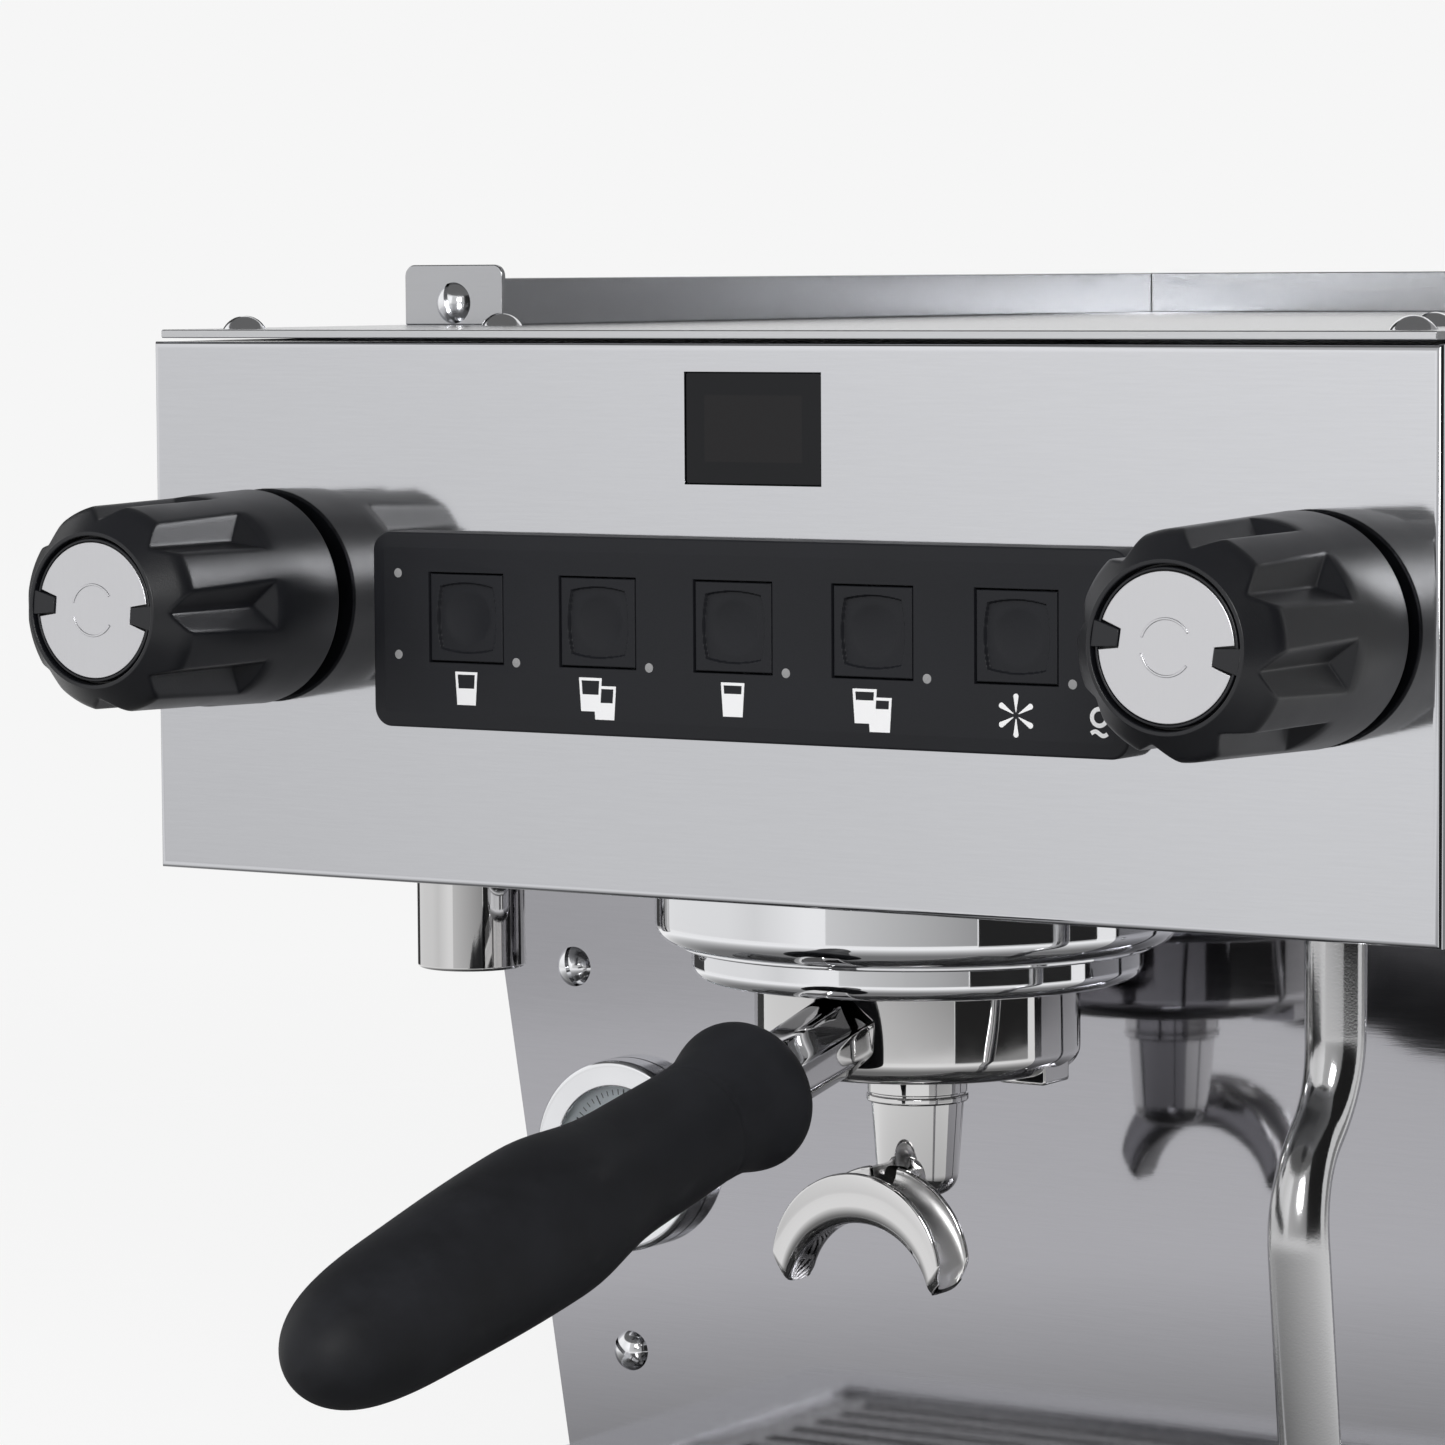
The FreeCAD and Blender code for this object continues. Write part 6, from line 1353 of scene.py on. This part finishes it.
class MACHINE_OT_spout(Operator):
    """Screwed spout: ring, cone with an opening, trough and arched twin gutter"""

    bl_idname = "machine.spout"
    bl_label = "Spout"

    def execute(self, context):
        form, metal = settings(context, "spout", "metal")
        chrome = polished("spout_chrome", metal.plate, metal.chrome_roughness)
        # Painted shade: the faces of the cone's opening are near-black, standing in for the shaded hollow
        # inside it.
        opening_shade = plain("spout_inside_shade", (0.006, 0.0055, 0.005), 0.75)
        cast = polished("spout_cast", metal.plate, 0.3)
        head = box("front_panel")[0][2]
        top = box("spout")[1][2]
        axis = np.array((*middle("group_bell")[:2], 0))
        cone, recess = self.cone(form, top)
        shell, channel = self.gutter(form, axis, head)
        parts = [(placed(self.collar(form, top), axis), chrome), (placed(cone, axis), chrome),
                 (placed(recess, axis), opening_shade), (shell, chrome), (channel, cast),
                 (self.trough(form, axis, head), cast)]
        stand_in("spout_chrome", parts, "spout")
        return {"FINISHED"}

    def collar(self, form, top):
        """Stub and screwed ring, with a groove round the ring."""
        high = top - form.stub_height
        low = high - form.collar_height
        groove = high - 0.62 * form.collar_height
        upper, valley = form.collar - 0.25 * MM, form.collar - 0.6 * MM
        profile = rounded([(0, top, 0), (form.stub, top, 0), (form.stub, high, 0.3 * MM),
                           (upper, high, 0.35 * MM), (upper, groove, 0.3 * MM),
                           (valley, groove - 0.1 * MM, 0), (valley, groove - 0.35 * MM, 0),
                           (form.collar, groove - 0.45 * MM, 0.4 * MM), (form.collar, low, 0.5 * MM),
                           (form.neck - 0.2 * MM, low, 0), (0, low, 0)], steps=5)
        return lathe(profile)

    def cone(self, form, top):
        """Tapered wall with a round foot, over angle and height, and a recess cut to the axis at the front.

        Outside the recess each column rises from the foot's pole; inside it, from the recess's arched edge.
        """
        upper = top - form.stub_height - form.collar_height
        low = upper - form.cone
        wall = rounded([(0, low, 0), (form.foot, low, form.foot_round), (form.neck, upper, 0)], steps=24)
        inner = np.linspace(-1, 1, 41) * form.outlet
        edge = form.outlet * 1.0005
        angle = np.concatenate([inner, np.linspace(edge, 2 * math.pi - edge, 100)])
        arch_height = 3.4 * MM
        arch = low + form.outlet_top - arch_height * (inner / form.outlet) ** 4
        bottom = np.concatenate([arch, np.full(100, low)])[None]
        t = np.linspace(0, 1, 56)[:, None] ** 1.3
        z = bottom + (upper - bottom) * t
        place = np.concatenate([[0], np.cumsum(np.linalg.norm(np.diff(wall, axis=0), axis=1))])
        share_up = np.interp(z, wall[:, 1], place)
        radius = np.interp(share_up, place, wall[:, 0])
        radius[0, len(inner):] = 0
        heading = angle - math.pi / 2
        points = np.stack([radius * np.cos(heading), radius * np.sin(heading), z], axis=-1)
        centre = np.stack([0 * bottom, 0 * bottom, bottom], axis=-1)
        return grid(points, wrap=True), grid(np.concatenate([centre, points[:1]]), wrap=True)

    def gutter(self, form, axis, head):
        """U-shaped section carried over an arch: from the underside's circle out to the rim's circle.

        At a share p of the way from the top to a tip, the section's foot is under (sin, cos) of p times the
        underside's reach and its rim outer (sin, cos) of p times the rim's, each about its own centre. The
        rear wall is low where the trough joins it, and both walls sink at the tips.
        """
        share_out = np.sin(np.linspace(-1, 1, 161) * math.pi / 2)
        share_out = np.sort(np.concatenate([share_out, np.linspace(-1, 1, 121) * 0.25]))
        over, below = share_out * form.reach, share_out * form.under_reach
        centre = head - form.outer_depth
        rim = form.outer * np.stack([np.sin(over), np.cos(over)], axis=-1) + (0, centre)
        foot = form.under * np.stack([np.sin(below), np.cos(below)], axis=-1) + (0, centre - form.under_drop)
        depth = np.linalg.norm(rim - foot, axis=1)[:, None]
        outward = (rim - foot) / depth
        gap = 1 - ramp((np.abs(over) - form.gap) / (0.12 * form.gap))[:, None]
        tip = ramp((np.abs(share_out) - 0.9) / 0.1)[:, None]
        shell, channel = (self.carried(side, level, foot, outward, axis[0], axis[1] - form.forward)
                          for side, level in self.section(form, depth, gap, tip))
        around = np.concatenate([shell, channel], axis=1)
        loop = [np.arange(around.shape[1])[None]]
        return join(grid(shell), (around[0], loop), (around[-1], loop)), grid(channel)

    def carried(self, side, level, foot, outward, x, y):
        """Points that lie level above the arch's foot, along its outward line, and side behind its middle."""
        flat = foot[:, None] + level[..., None] * outward[:, None]
        return np.stack([flat[..., 0] + x, np.broadcast_to(y + side, level.shape), flat[..., 1]], axis=-1)

    def section(self, form, depth, gap, tip):
        """The U's two halves: over the near rim, round outside and over the far rim, and the channel.

        The outside is a squarish half oval, with x and z the square roots of a circle's; the channel is
        round.
        """
        half, wall = form.width / 2, form.wall
        swing = np.linspace(0, math.pi, 33)[None]
        across, down = np.cos(swing), np.clip(np.sin(swing), 0, 1)
        belly = np.minimum(0.9 * half, 0.55 * depth)
        lip = np.linspace(0, math.pi, 7)[None]
        front = (depth - wall / 2) * (1 - 0.4 * tip)
        hollow = form.channel * depth * (1 - 0.4 * tip)
        bed = front - hollow
        rear = front - gap * (hollow - 0.2 * MM)
        ones = np.ones_like(depth)
        narrow = np.sqrt(1 - (0.6 * tip) ** 2)
        outside = [-half * narrow * np.sign(across) * np.sqrt(np.abs(across)), belly * (1 - np.sqrt(down))]
        far = [(half * narrow - wall / 2 + wall / 2 * np.cos(lip)) * ones, rear + wall / 2 * np.sin(lip)]
        inside = [(half * narrow - wall) * across, bed + hollow * (1 - down)]
        near = [(wall / 2 - half * narrow + wall / 2 * np.cos(lip)) * ones, front + wall / 2 * np.sin(lip)]
        for part in (outside, inside):
            part[1] = np.minimum(part[1], np.where(part[0] > 0, rear, front))
        return [np.concatenate(pick, axis=1) for pick in zip(near, outside, far)], inside

    def trough(self, form, axis, head):
        """Short open channel from the cone's opening into the gutter's middle."""
        start = axis[1] - 0.45 * form.foot
        end = axis[1] - form.forward + form.width / 2 - form.wall
        crest = head - form.outer_depth + form.outer
        y = np.linspace(start, end, 10)[:, None]
        swing = np.linspace(0, math.pi, 17)[None]
        half, wall = form.bridge / 2, form.wall
        low, rim = crest - 6.6 * MM, crest - 1.1 * MM
        belly = rim - low
        rise = 1 - np.sin(swing)
        outer = np.broadcast_arrays(-half * np.cos(swing), y, low + belly * rise)
        inner = np.broadcast_arrays((half - wall) * np.cos(swing), y, low + wall + (belly - wall) * rise)
        points = np.concatenate([np.stack(outer, axis=-1), np.stack(inner, axis=-1)], axis=1)
        return capped(points + (axis[0], 0, 0))


class MACHINE_OT_outlets(Operator):
    """Hot-water nozzle, steam wand, its nut and its tip"""

    bl_idname = "machine.outlets"
    bl_label = "Outlets"

    def execute(self, context):
        form, metal = settings(context, "outlet", "metal")
        chrome = polished("outlet_chrome", metal.plate, metal.chrome_roughness)
        self.nozzle(form, chrome)
        self.wand(form, self.tube_steel(metal))
        return {"FINISHED"}

    def tube_steel(self, metal):
        """Polished tube, with a fine pebbled grain and duller patches."""
        shader = Shader("wand_steel", base_color=metal.wand, metallic=1.0, roughness=0.1)
        patches = shader.noise((45, 45, 24), detail=6.0)
        shader.feed("Roughness", shader.spread(patches, 0.05, 0.2, 0.35, 0.7))
        shader.bump(shader.noise([2300] * 3, detail=2.0), 0.01 * MM)
        return shader.material

    def nozzle(self, form, chrome):
        """Short turned stub with a fine groove below the head, open below."""
        low, high = box("hot_water_nozzle")
        radius = (high[0] - low[0]) / 2
        head = box("front_panel")[0][2]
        groove = head - form.nozzle_line
        profile = rounded([
            (0, high[2], 0), (radius, high[2], form.nozzle_edge), (radius, groove, 0.15 * MM),
            (radius - 0.5 * MM, groove, 0), (radius - 0.5 * MM, groove - 0.5 * MM, 0),
            (radius, groove - 0.5 * MM, 0.15 * MM), (radius, low[2], form.nozzle_edge),
            (form.nozzle_bore, low[2], form.nozzle_edge), (form.nozzle_bore, head - 1.2 * MM, 0),
            (0, head - 1.2 * MM, 0)], steps=5)
        centre = (low + high) / 2
        stub = placed(lathe(profile), (centre[0], centre[1], 0))
        stand_in("nozzle_stub", [(stub, chrome)], "hot_water_nozzle")

    def wand(self, form, steel):
        """Round tube whose two straight runs join in a double bend that narrows it, with a nut and a tip."""
        nut_low, nut_high = box("wand_nut")
        x, back = ((nut_low + nut_high) / 2)[:2]
        head = box("front_panel")[0][2]
        first = form.bend * math.tan(form.bend_angle / 2)
        second = form.bend * math.tan((form.bend_angle + form.lean) / 2)
        upper = head - form.straight - first
        step = first + form.between + second
        lower = (back - step * math.sin(form.bend_angle), upper - step * math.cos(form.bend_angle))
        down = np.array((math.sin(form.lean), -math.cos(form.lean)))
        end = lower + down * (second + form.tail)
        top = box("steam_wand")[1][2]
        line = rounded([(back, top, 0), (back, upper, form.bend), (*lower, form.bend), (*end, 0)], steps=40)
        path = np.column_stack([np.full(len(line), x), line])
        waist = (upper + lower[1]) / 2
        slim = form.tube * (1 - form.pinch * np.exp(-((path[:, 2] - waist) / (0.55 * step)) ** 2))
        across = np.array((1.0, 0, 0))
        outside = tube(path, slim, across)
        inside = tube(path, slim - form.tube + form.bore, across)
        whole = grid(np.concatenate([outside, inside[::-1], outside[:1]]), wrap=True)
        stand_in("wand_tube", [(whole, steel)], "steam_wand")
        shape = rounded([(0, 0, 0), (form.tip, 0, 0.5 * MM), (form.tip, form.tip_straight, 1.5 * MM),
                         (form.tip_end, form.tip_length, 1 * MM), (0, form.tip_length, 0)])
        tip = placed(lathe(shape, 64), (x, *end), np.array((0, *down)))
        stand_in("wand_tip", [(tip, steel)], "steam_tip")
        radius = (nut_high[0] - nut_low[0]) / 2
        hole = form.tube + 0.05 * MM
        shape = rounded([(0, nut_high[2], 0), (radius, nut_high[2], 0.4 * MM), (radius, nut_low[2], 1.0 * MM),
                         (hole, nut_low[2], 0.3 * MM), (hole, nut_high[2] - 2.4 * MM, 0),
                         (0, nut_high[2] - 2.4 * MM, 0)])
        nut = placed(lathe(shape, 64), (x, back, 0))
        stand_in("wand_collar", [(nut, steel)], "wand_nut")


class MACHINE_OT_gauge(Operator):
    """Pressure gauge: bezel, dial with ticks and numbers, needle and glass"""

    bl_idname = "machine.gauge"
    bl_label = "Gauge"

    def execute(self, context):
        form, metal = settings(context, "gauge", "metal")
        low, high = box("gauge_bezel")
        centre = (low + high) / 2
        radius = (high[0] - low[0]) / 2
        tall = high[1] - low[1]
        window = radius - form.lip
        origin = (centre[0], high[1], centre[2])
        back = tall - form.lip_thickness
        bezel = rounded([(radius - 1.9 * MM, 0, 0), (radius, 0, 0), (radius, tall, form.edge),
                         (window, tall, 0.5 * MM), (window, back, 0), (radius - 1.9 * MM, back, 0)], steps=8)
        chrome = polished("bezel_chrome", metal.chrome, 0.12)
        stand_in("gauge_ring", [(placed(lathe(ring(bezel)), origin, FORWARD), chrome)], "gauge_bezel")
        paint("gauge_case", plain("case_black", (0.03, 0.03, 0.03), 0.4))
        paint("gauge_dial", plain("dial_white", (0.82, 0.82, 0.8), 0.5))
        self.print(form, centre)
        paint("gauge_needle", plain("needle_black", (0.01, 0.01, 0.01), 0.4))
        glass = Shader("gauge_glass", base_color=(0.8, 0.84, 0.88), roughness=0.02, ior=1.45,
                       transmission_weight=1.0)
        paint("gauge_glass", glass.material)
        return {"FINISHED"}

    def print(self, form, centre):
        """Ticks round the dial, every fifth one long, with a number at every tenth."""
        ink = plain("dial_ink", (0.015, 0.015, 0.015), 0.5)
        face = box("gauge_dial")[0][1]
        origin = (centre[0], face, centre[2])
        parts = []
        for n in range(form.ticks):
            angle = form.start - form.sweep * n / (form.ticks - 1)
            long = n % 5 == 0
            inner = form.scale - form.tick * (1.0 if long else 0.55)
            wide = form.tick_width * (1.0 if long else 0.6) / 2
            mark = np.array(((inner, -wide), (form.scale, -wide), (form.scale, wide), (inner, wide)))
            parts.append((placed(turn(slab(mark, 0, 0.04 * MM, 0.01 * MM, 1), angle), origin, FORWARD), ink))
            if n % 10 == 0:
                at = form.scale - 1.9 * form.tick
                parts.append((self.figure(form, str(n // 10 * 4), at, angle, origin), ink))
        dial = show("gauge_print", parts, "gauge_dial")

    def figure(self, form, text, radius, angle, origin):
        """A number, upright on the dial, as a flat surface."""
        curve = bpy.data.curves.new("figure", "FONT")
        curve.body = text
        curve.size = form.figure
        curve.align_x = "CENTER"
        curve.align_y = "CENTER"
        thing = bpy.data.objects.new("figure", curve)
        bpy.context.scene.collection.objects.link(thing)
        bpy.context.view_layer.update()
        mesh = bpy.data.meshes.new_from_object(thing.evaluated_get(bpy.context.evaluated_depsgraph_get()))
        points = np.array([vert.co for vert in mesh.vertices])
        faces = [np.array([face.vertices[:]]) for face in mesh.polygons]
        bpy.data.objects.remove(thing)
        bpy.data.meshes.remove(mesh)
        bpy.data.curves.remove(curve)
        points += (radius * math.cos(angle), radius * math.sin(angle), 0.04 * MM)
        return placed((points, faces), origin, FORWARD)


class MACHINE_OT_inner_works(Operator):
    """Finishes of the pieces inside the housing"""

    bl_idname = "machine.inner_works"
    bl_label = "Inner works"

    def execute(self, context):
        metal = context.scene.machine_metal
        finishes = {
            plain("boiler_steel", metal.body, 0.35, 1.0): ("brew_boiler", "steam_boiler", "boiler_cradle"),
            plain("valve_brass", BRASS, 0.32, 1.0): ("valve_bodies", "pump", "water_inlet", "boiler_heaters",
                                                     "solenoid_valve"),
            plain("pipe_copper", (0.78, 0.42, 0.28), 0.3, 1.0): ("copper_pipes",),
            plain("motor_paint", (0.12, 0.12, 0.125), 0.5): ("pump_motor",),
            plain("box_plastic", (0.25, 0.25, 0.26), 0.5): ("control_box",),
            plain("inlet_black", (0.02, 0.02, 0.02), 0.4): ("mains_inlet",),
            plain("board_green", (0.03, 0.18, 0.08), 0.45): ("display_board",),
        }
        for material, nodes in finishes.items():
            for node in nodes:
                paint(node, material)
        return {"FINISHED"}


class MACHINE_OT_stage(Operator):
    """Floor, lamps, dark cards, world and camera"""

    bl_idname = "machine.stage"
    bl_label = "Stage"

    def execute(self, context):
        look = context.scene.machine_stage
        context.scene.view_settings.view_transform = "Standard"
        self.floor(look)
        self.world(context.scene, look)
        self.lamp("key_lamp", look.key, look.key_place, look.key_size, mirrored=False)
        self.lamp("fill_lamp", look.fill, look.fill_place, look.fill_size, mirrored=True)
        self.card("soft_card", 1.9, ((-137, 1.06), (-90, 1.04), (-74, 0.95), (-50, 1.18), (-41, 1.18)), 0.8)
        self.card("grey_card", 1.9, ((-41, 0.68), (22, 0.36)))
        self.card("dark_card", 1.5, ((22, 0.02), (79, 0.02)))
        self.card("shade_card", 1.5, ((99, 0.3), (140, 0.3)))
        self.card("far_card", 1.5, ((-163, 0.05), (-137, 0.05)))
        self.ceiling(0.14)
        self.camera(context.scene, look)
        return {"FINISHED"}

    def floor(self, look):
        """Disc under the feet that keeps the shadow, matches the backdrop and fades out into it."""
        angle = np.linspace(0, 2 * math.pi, 64, endpoint=False)
        rim = look.floor_size * np.column_stack([np.cos(angle), np.sin(angle), 0 * angle])
        mesh = mesh_of("floor", (rim, [np.arange(len(rim))[None]]))
        shader = Shader("floor_paper", base_color=look.floor, roughness=0.9, specular_ior_level=0.0,
                        emission_color=look.background)
        where = shader.place((1, 1, 1))
        far = shader.node("ShaderNodeVectorMath", {0: where}, operation="LENGTH").outputs["Value"]
        shader.feed("Alpha", shader.spread(far, 1.0, 0.0, 0.45 * look.floor_size, 0.95 * look.floor_size))
        ray = shader.node("ShaderNodeLightPath").outputs
        # Painted reflection: metal sees the floor darker than the camera does, and darkest near the feet.
        dark = tuple(0.2 * value for value in look.floor)
        shader.feed("Base Color", shader.mix(ray["Is Glossy Ray"], look.floor, dark))
        mirrored = shader.spread(far, look.floor_mirrored, 1.0, 0.3, 0.85)
        glow = shader.spread(ray["Is Camera Ray"], mirrored, look.floor_glow, 0, 1)
        shader.feed("Emission Strength", shader.work("MULTIPLY", shader.seen(), glow))
        mesh.materials.append(shader.material)
        thing = bpy.data.objects.new("floor", mesh)
        bpy.context.scene.collection.objects.link(thing)

    def world(self, scene, look):
        """Pale backdrop for the camera, metal and glass, and an even dimmer light for the rest."""
        world = bpy.data.worlds.new("studio")
        scene.world = world
        world.use_nodes = True
        world.node_tree.nodes.clear()
        shader = Wiring(world.node_tree)
        shown = shader.node("ShaderNodeBackground", {"Color": (*look.background, 1.0)})
        light = shader.node("ShaderNodeBackground", {"Color": (1.0, 1.0, 1.0, 1.0), "Strength": look.ambient})
        mix = shader.node("ShaderNodeMixShader", {0: shader.seen(), 1: light.outputs[0], 2: shown.outputs[0]})
        shader.node("ShaderNodeOutputWorld", {0: mix.outputs[0]})

    def lamp(self, name, power, place, size, mirrored):
        """Square area lamp aimed at the machine's middle, which metal may mirror or not."""
        lamp = bpy.data.lights.new(name, "AREA")
        lamp.energy = power
        lamp.size = size
        thing = bpy.data.objects.new(name, lamp)
        thing.matrix_world = self.facing(np.array(place))
        thing.visible_glossy = mirrored
        bpy.context.scene.collection.objects.link(thing)

    def facing(self, place):
        """Matrix at a place whose -Z points at the machine's middle."""
        away = unit(place - AIM)
        side = unit(np.cross(UP, away))
        axes = np.eye(4)
        axes[:3, 0], axes[:3, 1], axes[:3, 2], axes[:3, 3] = side, np.cross(away, side), away, place
        return Matrix(axes.tolist())

    def card(self, name, distance, stops, foot=1.0):
        """Upright bent card round the machine, for reflections alone.

        Its points are (d cos a, d sin a, z), with the angles of its stops measured to the right from the
        camera's side. Its light runs through the stops' levels, and is foot times as strong at the floor as
        at half a metre.
        """
        angles, levels = np.array(stops, dtype=float).T
        turned = np.linspace(angles[0], angles[-1], 41)
        angle = np.radians(turned + CAMERA_SIDE)
        height = np.concatenate([[-0.05], np.linspace(0, 0.5, 6), [1.5]])[:, None]
        points = np.stack([distance * np.cos(angle) + 0 * height, distance * np.sin(angle) + 0 * height,
                           height + 0 * angle], axis=-1)
        light = np.interp(turned, angles, levels) * (foot + (1 - foot) * np.clip(height / 0.5, 0, 1))
        self.reflector(name, grid(points), light.ravel())

    def ceiling(self, level):
        """Dark disc overhead, for reflections alone."""
        profile = np.array(((0, 2.1), (2.6, 2.1)))
        surface = lathe(profile, 48)
        self.reflector("ceiling_card", surface, np.full(len(surface[0]), level))

    def reflector(self, name, surface, light):
        """A surface that only metal and glass see, with its light as an attribute of its points."""
        mesh = mesh_of(name, surface)
        mesh.attributes.new("light", "FLOAT", "POINT").data.foreach_set("value", light.astype(np.float32))
        shader = Shader(name, base_color=(0.0, 0.0, 0.0), roughness=1.0, specular_ior_level=0.0,
                        emission_color=(1.0, 1.0, 1.0))
        level = shader.node("ShaderNodeAttribute", attribute_name="light").outputs["Fac"]
        shader.feed("Emission Strength", level)
        mesh.materials.append(shader.material)
        thing = bpy.data.objects.new(name, mesh)
        thing.visible_camera = False
        thing.visible_shadow = False
        thing.visible_diffuse = False
        bpy.context.scene.collection.objects.link(thing)

    def camera(self, scene, look):
        """Long lens to the front right, a little above the keypad."""
        camera = bpy.data.cameras.new("camera")
        camera.lens = look.lens
        camera.sensor_width = 36.0
        camera.clip_start = 0.05
        cy, sy = math.cos(look.yaw), math.sin(look.yaw)
        cp, sp = math.cos(look.pitch), math.sin(look.pitch)
        ahead = np.array((-sy * cp, cy * cp, -sp))
        right = np.array((cy, sy, 0.0))
        down = np.cross(ahead, right)
        c, s = math.cos(look.roll), math.sin(look.roll)
        axes = np.eye(4)
        axes[:3, 0] = c * right + s * down
        axes[:3, 1] = s * right - c * down
        axes[:3, 2] = -ahead
        axes[:3, 3] = box("front_panel")[0] + np.array(look.camera)
        thing = bpy.data.objects.new("camera", camera)
        thing.matrix_world = Matrix(axes.tolist())
        scene.collection.objects.link(thing)
        scene.camera = thing


class MACHINE_PT_looks(Panel):
    """Buttons that build the machine's looks"""

    bl_label = "Machine"
    bl_space_type = "VIEW_3D"
    bl_region_type = "UI"
    bl_category = "Machine"

    def draw(self, context):
        for operator in OPERATORS:
            self.layout.operator(operator.bl_idname)


OPERATORS = (MACHINE_OT_front_panel, MACHINE_OT_housing, MACHINE_OT_tray, MACHINE_OT_screws,
             MACHINE_OT_keypad, MACHINE_OT_knobs, MACHINE_OT_group, MACHINE_OT_portafilter,
             MACHINE_OT_spout, MACHINE_OT_outlets, MACHINE_OT_gauge, MACHINE_OT_inner_works,
             MACHINE_OT_stage)


def register():
    """Add the property groups, operators and panel."""
    for name, group in GROUPS.items():
        bpy.utils.register_class(group)
        setattr(bpy.types.Scene, name, PointerProperty(type=group))
    for item in (*OPERATORS, MACHINE_PT_looks):
        bpy.utils.register_class(item)


def unregister():
    """Take them away again."""
    for item in (MACHINE_PT_looks, *reversed(OPERATORS)):
        bpy.utils.unregister_class(item)
    for name, group in GROUPS.items():
        delattr(bpy.types.Scene, name)
        bpy.utils.unregister_class(group)


def main():
    """Register the add-on and build every piece in order."""
    register()
    for operator in OPERATORS:
        group, name = operator.bl_idname.split(".")
        getattr(getattr(bpy.ops, group), name)()


if __name__ == "__main__":
    main()
